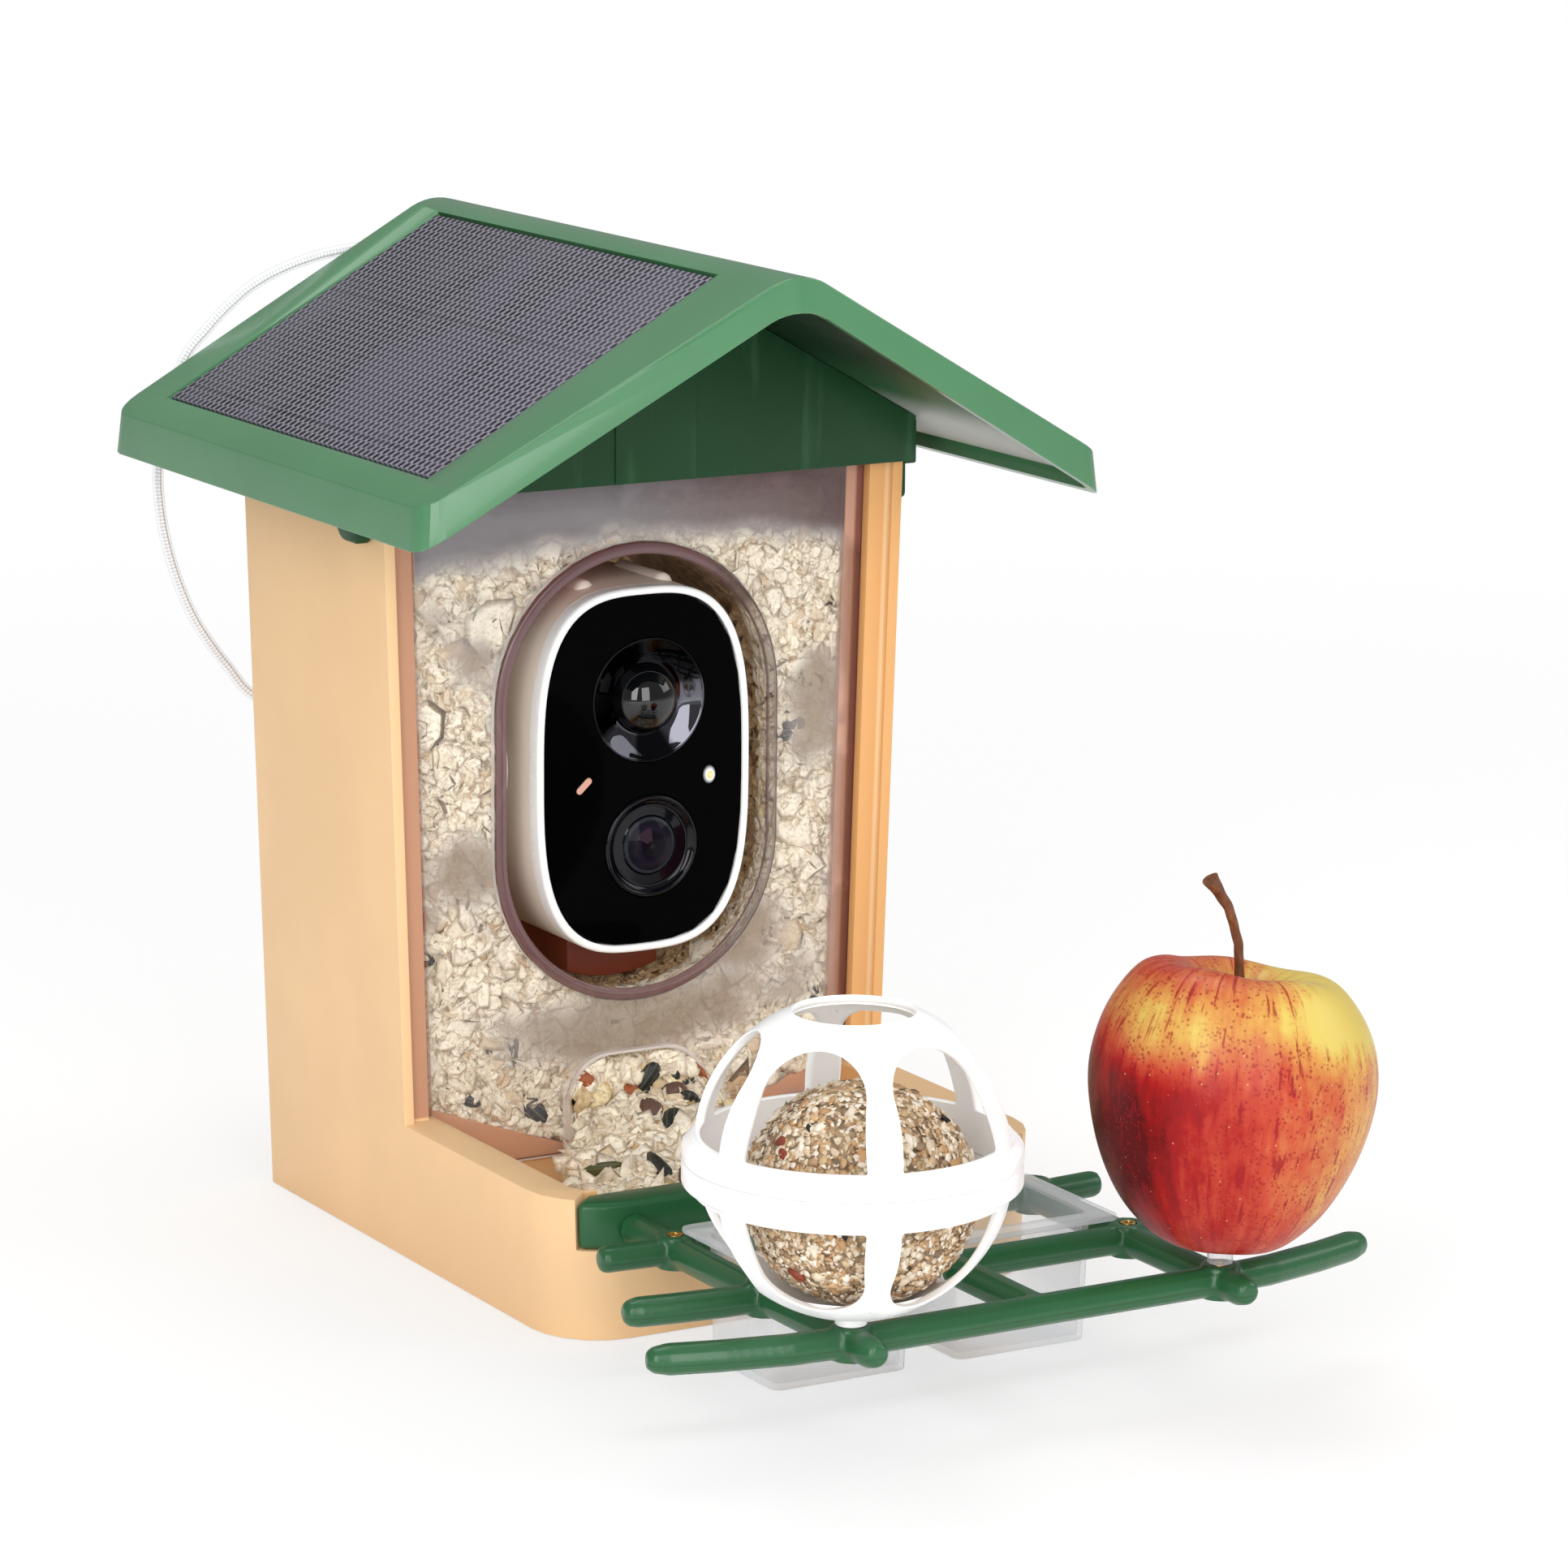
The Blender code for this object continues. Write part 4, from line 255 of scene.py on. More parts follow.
# The apple, with its profile as shares of its radius and height, from the stalk to the eye
APPLE_PLACE = (0.0595, -0.2144, 0.0790)
APPLE_RADIUS = 0.0384
APPLE_HEIGHT = 0.0750
APPLE_LEAN = math.radians(4)
APPLE_UNIT = 0.038
SIGHT_TURN = math.radians(30)
STALK_RADIUS = 0.00125
APPLE_SHARES = (
    (0.00, 0.885),
    (0.14, 0.895),
    (0.30, 0.955),
    (0.47, 0.998),
    (0.68, 0.975),
    (0.85, 0.875),
    (0.96, 0.750),
    (1.00, 0.610),
    (0.965, 0.460),
    (0.87, 0.300),
    (0.72, 0.155),
    (0.53, 0.050),
    (0.36, 0.005),
    (0.22, 0.020),
    (0.10, 0.050),
    (0.00, 0.052),
)

# The cord, its two entries in the back wall and its way between them
CORD_RADIUS = 0.0017
BRAID_RADIUS = 0.00108
BRAID_RELIEF = 0.00012
CORD_EXITS = ((-0.016, 0.0991, 0.1325), (0.016, 0.0991, 0.1325))
CORD_ROUTE = (
    (-0.0160, 0.1020, 0.1325),
    (-0.0185, 0.1110, 0.1322),
    (-0.0270, 0.1230, 0.1312),
    (-0.0420, 0.1335, 0.1322),
    (-0.0600, 0.1400, 0.1393),
    (-0.0686, 0.1420, 0.1494),
    (-0.0757, 0.1420, 0.1590),
    (-0.0808, 0.1420, 0.1678),
    (-0.0853, 0.1420, 0.1790),
    (-0.0884, 0.1420, 0.1901),
    (-0.0902, 0.1420, 0.2016),
    (-0.0903, 0.1420, 0.2124),
    (-0.0873, 0.1420, 0.2300),
    (-0.0807, 0.1420, 0.2452),
    (-0.0742, 0.1420, 0.2523),
    (-0.0680, 0.1420, 0.2582),
    (-0.0587, 0.1420, 0.2650),
    (-0.0463, 0.1420, 0.2703),
    (-0.0307, 0.1420, 0.2738),
    (-0.0120, 0.1420, 0.2745),
    (0.0080, 0.1420, 0.2715),
    (0.0270, 0.1420, 0.2635),
    (0.0430, 0.1420, 0.2510),
    (0.0545, 0.1420, 0.2340),
    (0.0605, 0.1420, 0.2140),
    (0.0610, 0.1420, 0.1935),
    (0.0560, 0.1415, 0.1730),
    (0.0470, 0.1390, 0.1550),
    (0.0350, 0.1320, 0.1410),
    (0.0235, 0.1215, 0.1342),
    (0.0173, 0.1110, 0.1327),
    (0.0160, 0.1020, 0.1325),
)


class Value:
    """A socket that can be used in sums, each of which adds its node."""

    def __init__(self, finish, socket):
        self.finish = finish
        self.socket = socket

    def sum(self, operation, first, second):
        return self.finish.maths(operation, first, second)

    def __add__(self, other):
        return self.sum("ADD", self, other)

    __radd__ = __add__

    def __sub__(self, other):
        return self.sum("SUBTRACT", self, other)

    def __rsub__(self, other):
        return self.sum("SUBTRACT", other, self)

    def __mul__(self, other):
        return self.sum("MULTIPLY", self, other)

    __rmul__ = __mul__

    def __truediv__(self, other):
        return self.sum("DIVIDE", self, other)

    def __rtruediv__(self, other):
        return self.sum("DIVIDE", other, self)

    def __pow__(self, other):
        return self.sum("POWER", self, other)

    def __rpow__(self, other):
        return self.sum("POWER", other, self)


class Finish:
    """One material: its nodes, and what they feed on its shader."""

    def __init__(self, name, colour, roughness, **fixed):
        self.material = bpy.data.materials.new(name)
        self.material.use_nodes = True
        self.tree = self.material.node_tree
        self.shader = self.tree.nodes["Principled BSDF"]
        self.feed({"Base Color": (*colour, 1), "Roughness": roughness})
        self.feed({name.replace("_", " "): value for name, value in fixed.items()})

    def feed(self, values):
        for name, value in values.items():
            socket = self.shader.inputs[name]
            if isinstance(value, Value):
                self.tree.links.new(value.socket, socket)
            else:
                socket.default_value = value

    def fed(self, name):
        """What feeds one of the shader's sockets now."""
        return Value(self, self.shader.inputs[name].links[0].from_socket)

    def node(self, kind, settings, values, output=0):
        """One output of a new node with these settings, and values or links on its sockets."""
        made = self.tree.nodes.new("ShaderNode" + kind)
        for name, setting in settings.items():
            if name == "stops":
                self.set_stops(made.color_ramp.elements, setting)
            else:
                setattr(made, name, setting)
        for key, value in values.items():
            if isinstance(value, Value):
                self.tree.links.new(value.socket, made.inputs[key])
            else:
                made.inputs[key].default_value = value
        return Value(self, made.outputs[output])

    def set_stops(self, elements, stops):
        while len(elements) < len(stops):
            elements.new(1)
        for element, (place, colour) in zip(elements, stops):
            element.position = place
            element.color = (*colour, 1)

    def spot(self, turn=(0, 0, 0), scale=(1, 1, 1), place=(0, 0, 0)):
        """Object coordinates, turned and stretched about a place."""
        here = self.node("TexCoord", {}, {}, 3)
        values = {"Vector": here, "Location": place, "Rotation": turn, "Scale": scale}
        return self.node("Mapping", {"vector_type": "TEXTURE"}, values)

    def noise(self, size, detail=2.0, rough=0.5, spot=None, warp=0.0):
        values = {"Scale": 1 / size, "Detail": detail, "Roughness": rough, "Distortion": warp}
        values["Vector"] = spot or self.spot()
        return self.node("TexNoise", {}, values)

    def cells(self, size, output=0):
        values = {"Scale": 1 / size, "Vector": self.spot()}
        return self.node("TexVoronoi", {}, values, output)

    def step(self, value, low, high):
        """0 below low, 1 above high, smooth between them."""
        values = {0: value, 1: low, 2: high}
        return self.node("MapRange", {"interpolation_type": "SMOOTHSTEP"}, values)

    def blend(self, share, first, second):
        """The first colour where share is 0 and the second where it is 1."""
        ends = [v if isinstance(v, Value) else (*v[:3], 1) for v in (first, second)]
        return self.node("Mix", {"data_type": "RGBA"}, {0: share, 6: ends[0], 7: ends[1]}, 2)

    def ramp(self, value, stops):
        return self.node("ValToRGB", {"stops": stops}, {0: value})

    def part(self, spot, axis):
        return self.node("SeparateXYZ", {}, {0: spot}, "XYZ".index(axis))

    def own(self, name, output=2):
        """The piece's own attribute: its number, or with output 1 its vector."""
        return self.node("Attribute", {"attribute_name": name}, {}, output)

    def maths(self, operation, *values):
        return self.node("Math", {"operation": operation}, dict(enumerate(values)))

    def wave(self, value):
        return self.maths("SINE", value)

    def distance(self, across, up):
        """How far a place is from the middle that its two coordinates are counted from."""
        return self.maths("SQRT", across * across + up * up)

    def facing(self):
        """How far the surface turns away from the eye."""
        return self.node("LayerWeight", {}, {"Blend": 0.5}, 1)

    def relief(self, height, depth, strength):
        values = {"Height": height, "Distance": depth, "Strength": strength}
        self.feed({"Normal": self.node("Bump", {}, values)})


def deeper(colour, share):
    """A darker tone of a colour."""
    return tuple(part * share for part in colour)


def paler(colour, share, lift=0):
    """A lighter tone of a colour."""
    return tuple(min(1, part * share + lift) for part in colour)


COARSE_GRAIN = 0.00005
FINE_GRAIN = 0.00002


def moulded(name, colour, roughness, grain=COARSE_GRAIN, sheen=0.0, variety=0.10):
    """Satin moulded plastic: a drift of tone, a fine mould grain and faint rubbed patches."""
    finish = Finish(name, colour, roughness, IOR=1.47)
    broad = finish.noise(0.055, 3)
    patch = finish.noise(0.012, 3, 0.6)
    grain_noise = finish.noise(0.00045, 2)
    tone = finish.blend(finish.step(broad, 0.35, 0.7), deeper(colour, 1 - variety), colour)
    tone = finish.blend(finish.step(patch, 0.62, 0.8) * 0.10, tone, paler(colour, 1.2))
    speck = finish.step(finish.cells(0.004), 0.045, 0.03) * finish.step(patch, 0.5, 0.7)
    tone = finish.blend(speck * 0.35, tone, paler(colour, 1.5, 0.05))
    finish.feed({"Base Color": tone})
    finish.feed({"Roughness": patch * 0.16 + grain_noise * 0.06 + (roughness - 0.11)})
    finish.relief(grain_noise, grain, 0.5)
    if sheen:
        finish.feed({"Coat Weight": sheen, "Coat Roughness": 0.12})
    return finish


def clear_plastic(name, colour, base, rim, roughness=0.06, haze=0.0):
    """Clear plastic: see-through, fuller where it turns away from the eye, and a little dusty."""
    finish = Finish(name, colour, roughness, IOR=1.5)
    aside = finish.facing() ** 2.2
    dust = finish.step(finish.noise(0.028, 4, 0.6), 0.45, 0.75)
    specks = finish.step(finish.cells(0.0032), 0.055, 0.03)
    finish.feed({"Alpha": aside * rim + dust * haze + specks * (haze * 0.6) + base})
    finish.feed({"Roughness": dust * 0.15 + roughness})
    finish.feed({"Specular IOR Level": 0.8})
    return finish


def gloss(name, colour, roughness, shine=0.5):
    """A smooth surface with a faint drift of tone."""
    finish = Finish(name, colour, roughness, IOR=1.5)
    drift = finish.noise(0.006, 3)
    finish.feed({"Base Color": finish.blend(drift, deeper(colour, 0.85), colour)})
    finish.feed({"Roughness": finish.step(finish.noise(0.02, 3), 0.5, 0.9) * 0.03 + roughness})
    finish.feed({"Specular IOR Level": shine})
    return finish


def oat_finish(name, pale, dark, glow=0.14):
    """Rolled oats: each its own tone, with a darker crease, floury specks, a husky rim and a faint
    painted glow.
    """
    finish = Finish(name, pale, 0.75)
    tint = finish.own("tint")
    local = finish.own("grain", 1)
    crease = finish.step(finish.noise(0.0011, 4, 0.7, warp=0.6), 0.48, 0.66)
    fine = finish.noise(0.00028, 2)
    stops = [(0.0, pale), (0.5, deeper(pale, 0.90)), (0.85, dark), (1.0, deeper(dark, 0.6))]
    tone = finish.ramp(tint, stops)
    rim = finish.step(finish.part(local, "Z") * finish.part(local, "Z"), 0.35, 0.05)
    tone = finish.blend(rim * 0.35, tone, deeper(dark, 0.9))
    tone = finish.blend(crease * 0.45, tone, deeper(dark, 0.85))
    tone = finish.blend(finish.step(fine, 0.55, 0.7) * 0.4, tone, paler(pale, 1.15))
    finish.feed({"Base Color": tone, "Roughness": fine * 0.2 + 0.62})
    # A faint emission of the oats' own tone: painted light, lifting them out of their shade.
    finish.feed({"Emission Color": tone, "Emission Strength": glow})
    finish.relief(crease * 0.6 + fine * 0.4, 0.00025, 0.8)
    return finish


def unit(vectors):
    """The vectors, each brought to length 1."""
    return vectors / np.linalg.norm(vectors, axis=-1)[..., None]


def even_angles(steps):
    """Angles at even steps round a circle."""
    return np.linspace(0, math.tau, steps, endpoint=False)


def quads(rows, columns, wrap_rows, wrap_columns, start):
    """Faces of a grid of points, counted row by row, joined end to end where it wraps."""
    index = start + np.arange(rows * columns).reshape(rows, columns)
    if wrap_rows:
        index = np.vstack([index, index[:1]])
    if wrap_columns:
        index = np.hstack([index, index[:, :1]])
    corners = [index[:-1, :-1], index[1:, :-1], index[1:, 1:], index[:-1, 1:]]
    return np.stack(corners, -1).reshape(-1, 4)


def show(mesh, finish, body, stands_for=()):
    """Puts a mesh into the scene on its body, in place of the nodes that it stands for."""
    obj = bpy.data.objects.new(mesh.name, mesh)
    bpy.context.scene.collection.objects.link(obj)
    mesh.materials.clear()
    mesh.materials.append(finish.material)
    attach(obj, body)
    if stands_for:
        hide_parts(*stands_for)
    return obj


def closed_up(mesh, sharp, merge):
    """Joins doubled points, turns faces outwards and keeps hard edges hard."""
    work = bmesh.new()
    work.from_mesh(mesh)
    if merge:
        bmesh.ops.remove_doubles(work, verts=work.verts, dist=merge)
        bmesh.ops.dissolve_degenerate(work, edges=work.edges, dist=merge)
    bmesh.ops.recalc_face_normals(work, faces=work.faces)
    work.to_mesh(mesh)
    work.free()
    mesh.shade_smooth()
    mesh.set_sharp_from_angle(angle=math.radians(sharp))
    return mesh


def skin(name, grids, sharp=SHARP_TURN, merge=1e-6):
    """A mesh from grids of points, each given as (points, wraps by rows, wraps by columns)."""
    points = []
    faces = []
    start = 0
    for grid, wrap_rows, wrap_columns in grids:
        rows, columns = grid.shape[:2]
        points.append(grid.reshape(-1, 3))
        faces.append(quads(rows, columns, wrap_rows, wrap_columns, start))
        start += rows * columns
    mesh = bpy.data.meshes.new(name)
    mesh.from_pydata(np.concatenate(points), [], np.concatenate(faces))
    return closed_up(mesh, sharp, merge)


def carried(node, name, edge=0.0, segments=2, soft=0.0):
    """A joined copy of a node's mesh: hard edges rounded by edge, and blunt ones by soft."""
    work = bmesh.new()
    work.from_mesh(frame["nodes"][node].data)
    bmesh.ops.remove_doubles(work, verts=work.verts, dist=2e-6)
    flat = math.radians(1.0)
    bmesh.ops.dissolve_limit(work, angle_limit=flat, verts=work.verts, edges=work.edges)
    for width, low, high in ((soft, BLUNT_TURN, HARD_TURN), (edge, HARD_TURN, 180.0)):
        if not width:
            continue
        bent = [
            e
            for e in work.edges
            if len(e.link_faces) == 2
            and math.radians(low) < e.calc_face_angle(0) <= math.radians(high)
        ]
        bmesh.ops.bevel(
            work,
            geom=bent,
            offset=width,
            offset_type="OFFSET",
            segments=segments,
            profile=0.5,
            affect="EDGES",
            clamp_overlap=True,
        )
    mesh = bpy.data.meshes.new(name)
    work.to_mesh(mesh)
    work.free()
    mesh.shade_smooth()
    mesh.set_sharp_from_angle(angle=math.radians(SHARP_TURN))
    return mesh


def softened(node, name, voxel, passes):
    """A copy of a node's mesh with its corners melted: remeshed in small steps and smoothed."""
    mesh = carried(node, name)
    obj = bpy.data.objects.new(name, mesh)
    bpy.context.scene.collection.objects.link(obj)
    remesh = obj.modifiers.new("steps", "REMESH")
    remesh.mode = "VOXEL"
    remesh.voxel_size = voxel
    smooth = obj.modifiers.new("melt", "SMOOTH")
    smooth.factor = 0.5
    smooth.iterations = passes
    graph = bpy.context.evaluated_depsgraph_get()
    made = bpy.data.meshes.new_from_object(obj.evaluated_get(graph))
    bpy.data.objects.remove(obj)
    bpy.data.meshes.remove(mesh)
    made.name = name
    made.shade_smooth()
    return made


def dress(node, mesh, finish):
    """Shows a mesh in place of a node, on the node's own body."""
    show(mesh, finish, frame["nodes"][node]["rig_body"], (node,))


def smooth_over(node, finish, slot, edge, name=None, **rounding):
    """Dresses a node in a copy of its own mesh with rounded edges."""
    dress(node, carried(node, name or f"{node}_piece", edge, **rounding), finish)


def keep(node, finish):
    """Gives a node that stays in view its finish."""
    materials = frame["nodes"][node].data.materials
    materials.clear()
    materials.append(finish.material)


def well_outline(radius, steps=160):
    """Points round the well: two half circles of this radius, joined by straight sides."""
    angle = even_angles(steps) + math.pi / steps
    lift = np.where(np.sin(angle) > 0, WELL_HALF, -WELL_HALF)
    return np.stack([radius * np.cos(angle), WELL_MIDDLE + lift + radius * np.sin(angle)], -1)


def lofted(outline, stations):
    """Carries an outline back along Y: one row of points for each (outline, depth)."""
    rows = []
    for shape, depth in stations:
        flat = outline(shape)
        rows.append(np.stack([flat[:, 0], np.full(len(flat), depth), flat[:, 1]], -1))
    return np.array(rows)


def camera_outline(inset):
    """The camera's front outline, a superellipse, drawn in evenly by inset, down to a point."""
    width = max(CAMERA_WIDTH - 2 * inset, 0)
    height = max(CAMERA_HEIGHT - 2 * inset, 0) if width else 0
    angle = even_angles(128)
    cosine, sine = np.cos(angle), np.sin(angle)
    bulk = abs(cosine) ** CAMERA_ROUNDNESS + abs(sine) ** CAMERA_ROUNDNESS
    size = bulk ** (-1 / CAMERA_ROUNDNESS)
    return np.stack([width / 2 * size * cosine, CAMERA_MIDDLE + height / 2 * size * sine], -1)


def spun(profile, place):
    """A profile (radius, depth) turned about the line through place that runs back along Y."""
    profile = np.array(profile, float)
    angle = even_angles(96)
    radius, depth = profile[:, :1], profile[:, 1:]
    x = place[0] + radius * np.cos(angle)
    z = place[1] + radius * np.sin(angle)
    y = CAMERA_FRONT + FACE_DEPTH + depth + 0 * angle
    return np.stack([x, y, z], -1)


def turned(profile, place):
    """A profile (radius, height) turned about the upright line through place."""
    profile = np.array(profile, float)
    angle = even_angles(192)
    radius, height = profile[:, :1], profile[:, 1:]
    x = place[0] + radius * np.cos(angle)
    y = place[1] + radius * np.sin(angle)
    return np.stack([x, y, height + 0 * angle], -1)


def smooth_route(points, steps):
    """Places at even steps of index along a Catmull-Rom curve through the points."""
    points = np.array(points, float)
    ends = np.vstack([2 * points[0] - points[1], points, 2 * points[-1] - points[-2]])
    along = np.linspace(0, len(points) - 1, steps)
    first = np.minimum(along.astype(int), len(points) - 2)
    t = (along - first)[:, None]
    a, b, c, d = (ends[first + shift] for shift in range(4))
    return (
        b
        + (c - a) * t / 2
        + (2 * a - 5 * b + 4 * c - d) * t**2 / 2
        + (3 * b - a - 3 * c + d) * t**3 / 2
    )


def along_route(route, across, steps):
    """A tube: rings of radius across(way gone, angle), square to the route and without twist."""
    ahead = unit(np.gradient(route, axis=0))
    side = np.zeros_like(route)
    side[0] = np.cross(ahead[0], (0.3, 0.2, 0.9))
    for index in range(1, len(route)):
        side[index] = side[index - 1] - ahead[index] * (side[index - 1] @ ahead[index])
    side[0] -= ahead[0] * (side[0] @ ahead[0])
    side = unit(side)
    up = np.cross(ahead, side)
    angle = even_angles(steps)
    radius = across(way_gone(route)[:, None], angle[None, :])
    ring = np.cos(angle)[:, None] * side[:, None] + np.sin(angle)[:, None] * up[:, None]
    return route[:, None] + radius[..., None] * ring


def way_gone(route):
    """The distance along a route to each of its points."""
    return np.r_[0, np.cumsum(np.linalg.norm(np.diff(route, axis=0), axis=1))]


def capped(grid):
    """A tube's grid with a point added at the middle of each end, which closes it."""
    ends = [np.repeat(grid[end].mean(0)[None], grid.shape[1], 0)[None] for end in (0, -1)]
    return np.concatenate([ends[0], grid, ends[1]])


def grain_form(sides, rings):
    """A closed unit ball as rings between two poles, as points and triangles."""
    around = np.arange(sides) / sides * math.tau
    down = np.arange(1, rings) / rings * math.pi
    ring = np.stack(
        [
            np.sin(down)[:, None] * np.cos(around),
            np.sin(down)[:, None] * np.sin(around),
            np.cos(down)[:, None] + 0 * around,
        ],
        -1,
    )
    points = np.concatenate([[[0, 0, 1]], ring.reshape(-1, 3), [[0, 0, -1]]])
    here = np.arange(sides)
    after = (here + 1) % sides
    faces = [np.stack([0 * here, 1 + here, 1 + after], -1)]
    for row in range(rings - 2):
        base, low = 1 + row * sides, 1 + (row + 1) * sides
        faces.append(np.stack([base + here, low + here, low + after], -1))
        faces.append(np.stack([base + here, low + after, base + after], -1))
    last = 1 + (rings - 2) * sides
    faces.append(np.stack([last + here, 0 * here + len(points) - 1, last + after], -1))
    return points, np.concatenate(faces)


Grain = namedtuple("Grain", "ragged curl sides rings")
WINDOW_OAT = Grain(0.38, 0.75, 7, 4)
LOOSE_OAT = Grain(0.35, 0.60, 7, 4)
WINDOW_SEED = Grain(0.05, 0.05, 12, 6)
HEAP_OAT = Grain(0.30, 0.45, 8, 4)
HEAP_PIECE = Grain(0.10, 0.06, 12, 7)
CRUMB = Grain(0.30, 0.20, 6, 3)
BERRY = Grain(0.20, 0.10, 10, 5)


def scattered(
    name, spots, facing, measure, finish, seed, grain, limits,
    body="housing", slot="seed_mix", tone=None,
):
    """Grains at the spots, turned at random about the way they face, and kept within limits.
    Each is a ball drawn out to its own length, width and thickness, its outline waved by two
    cosines and its disc curled along and across."""
    rng = np.random.default_rng(seed)
    form, faces = grain_form(grain.sides, grain.rings)
    number = len(spots)
    around = np.arctan2(form[:, 1], form[:, 0])
    phases = rng.uniform(0, math.tau, (2, number, 1))
    sizes_of_wave = rng.normal(0, grain.ragged / 2, (2, number, 1))
    wave = 1 + sizes_of_wave[0] * np.cos(2 * around + phases[0])
    wave = wave + sizes_of_wave[1] * np.cos(3 * around + phases[1])
    local = np.repeat(form[None], number, 0) * np.stack([wave, wave, np.ones_like(wave)], -1)
    bend = rng.normal(0, grain.curl, (number, 1))
    twist = rng.normal(0, grain.curl, (number, 1))
    arch = bend * local[..., 0] ** 2 + twist * local[..., 0] * local[..., 1]
    local = local * measure[:, None, :]
    local[..., 2] += arch * measure[:, None, 0]
    facing = unit(facing)
    side = unit(np.cross(facing, rng.normal(0, 1, (number, 3))))
    up = np.cross(facing, side)
    turn = np.stack([side, up, facing], -1)
    world = limits(spots[:, None] + np.einsum("nij,nvj->nvi", turn, local))
    starts = (np.arange(number) * len(form))[:, None, None]
    mesh = bpy.data.meshes.new(name)
    mesh.from_pydata(world.reshape(-1, 3), [], (faces[None] + starts).reshape(-1, 3))
    tint = rng.uniform(*tone, number) if tone else rng.beta(1.6, 3.2, number)
    made = mesh.attributes.new("tint", "FLOAT", "POINT")
    made.data.foreach_set("value", np.repeat(tint, len(form)).astype(np.float32))
    made = mesh.attributes.new("grain", "FLOAT_VECTOR", "POINT")
    made.data.foreach_set("vector", np.tile(form, (number, 1)).astype(np.float32).ravel())
    mesh.shade_smooth()
    show(mesh, finish, body)


def measures(rng, number, across, ratio, thick, spread):
    """Half sizes of grains: length, width and thickness."""
    half = across / 2 * np.exp(rng.normal(0, spread, number))
    return np.stack(
        [half, half * rng.uniform(*ratio, number), half * rng.uniform(*thick, number)], -1
    )


def draft_share(height):
    """The walls' width at a height as a share of their width at the top."""
    return 1 - (1 - BASE_SHARE) * (1 - height / DRAFT_HEIGHT)


def nearest_level(z):
    """The height at which the well's middle line comes nearest to a point."""
    return np.clip(z, WELL_MIDDLE - WELL_HALF, WELL_MIDDLE + WELL_HALF)


def from_well(x, z):
    """The distance of a point from the well's middle line."""
    return np.hypot(x, z - nearest_level(z))


def off_the_well(world, gap):
    """Moves points out of the well, away from its middle line to its radius and a gap."""
    nearest = nearest_level(world[..., 2])
    across, up = world[..., 0], world[..., 2] - nearest
    away = np.hypot(across, up)
    short = (away < WELL_RADIUS + gap) & (world[..., 1] < WELL_REACH)
    grow = np.where(short, (WELL_RADIUS + gap) / np.maximum(away, 1e-6), 1)
    world[..., 0] = across * grow
    world[..., 2] = nearest + up * grow
    return world


def in_hopper(world):
    """Keeps grains behind the window, between the walls and off the well."""
    world[..., 1] = np.clip(world[..., 1], WINDOW_BACK + 0.0003, HOPPER_BACK)
    front = world[..., 1] < POST_BACK
    half = (HALF_WIDTH - np.where(front, POST_INSET, WALL_INSET)) * draft_share(world[..., 2])
    world[..., 0] = np.clip(world[..., 0], -half, half - np.where(front, WALL_INSET, 0))
    world[..., 2] = np.maximum(world[..., 2], hopper_floor(world[..., 0]))
    return off_the_well(world, 0.0005)


def hopper_floor(x):
    """The ramp's height under the seed: level behind the port, then rising to the side walls."""
    share = np.clip((np.abs(x) - RAMP_FLAT) / (RAMP_END - RAMP_FLAT), 0, 1)
    return RAMP_LEVEL + RAMP_RISE * share


def seed_top(x, y):
    """The top of the seed: nearly level, a little higher in the middle and at the back."""
    front = np.clip(1 - y / 0.05, 0, 1)
    wave = 0.0012 * np.sin(x / 0.009) + 0.0010 * np.sin(x / 0.0043 + 1.0)
    return SEED_LEVEL - 0.0005 - front * 0.0095 * (x / 0.075) ** 2 + wave


def photo_camera():
    """The photograph's camera, from its azimuth, elevation and roll."""
    azimuth, elevation, roll = map(math.radians, PHOTO_TURNS)
    level = math.cos(elevation)
    ahead = Vector((math.sin(azimuth) * level, math.cos(azimuth) * level, -math.sin(elevation)))
    right = Vector((math.cos(azimuth), -math.sin(azimuth), 0))
    up = right.cross(ahead)
    across = math.cos(roll) * right - math.sin(roll) * up
    upright = math.sin(roll) * right + math.cos(roll) * up
    data = bpy.data.cameras.new("photo_camera")
    data.sensor_width = 36
    data.lens = FOCAL_LENGTH / PHOTO_WIDTH * data.sensor_width
    data.clip_start = 0.05
    data.clip_end = 60
    camera = bpy.data.objects.new("photo_camera", data)
    turn = Matrix((across, upright, -ahead)).transposed()
    camera.matrix_world = Matrix.Translation(PHOTO_PLACE) @ turn.to_4x4()
    bpy.context.scene.collection.objects.link(camera)
    bpy.context.scene.camera = camera


def soft_box(name, place, aim, size, power):
    """A soft lamp with a rectangular face."""
    data = bpy.data.lights.new(name, "AREA")
    data.shape = "RECTANGLE"
    data.size, data.size_y = size
    data.energy = power
    lamp = bpy.data.objects.new(name, data)
    lamp.location = place
    lamp.rotation_euler = (Vector(aim) - Vector(place)).to_track_quat("-Z", "Y").to_euler()
    bpy.context.scene.collection.objects.link(lamp)


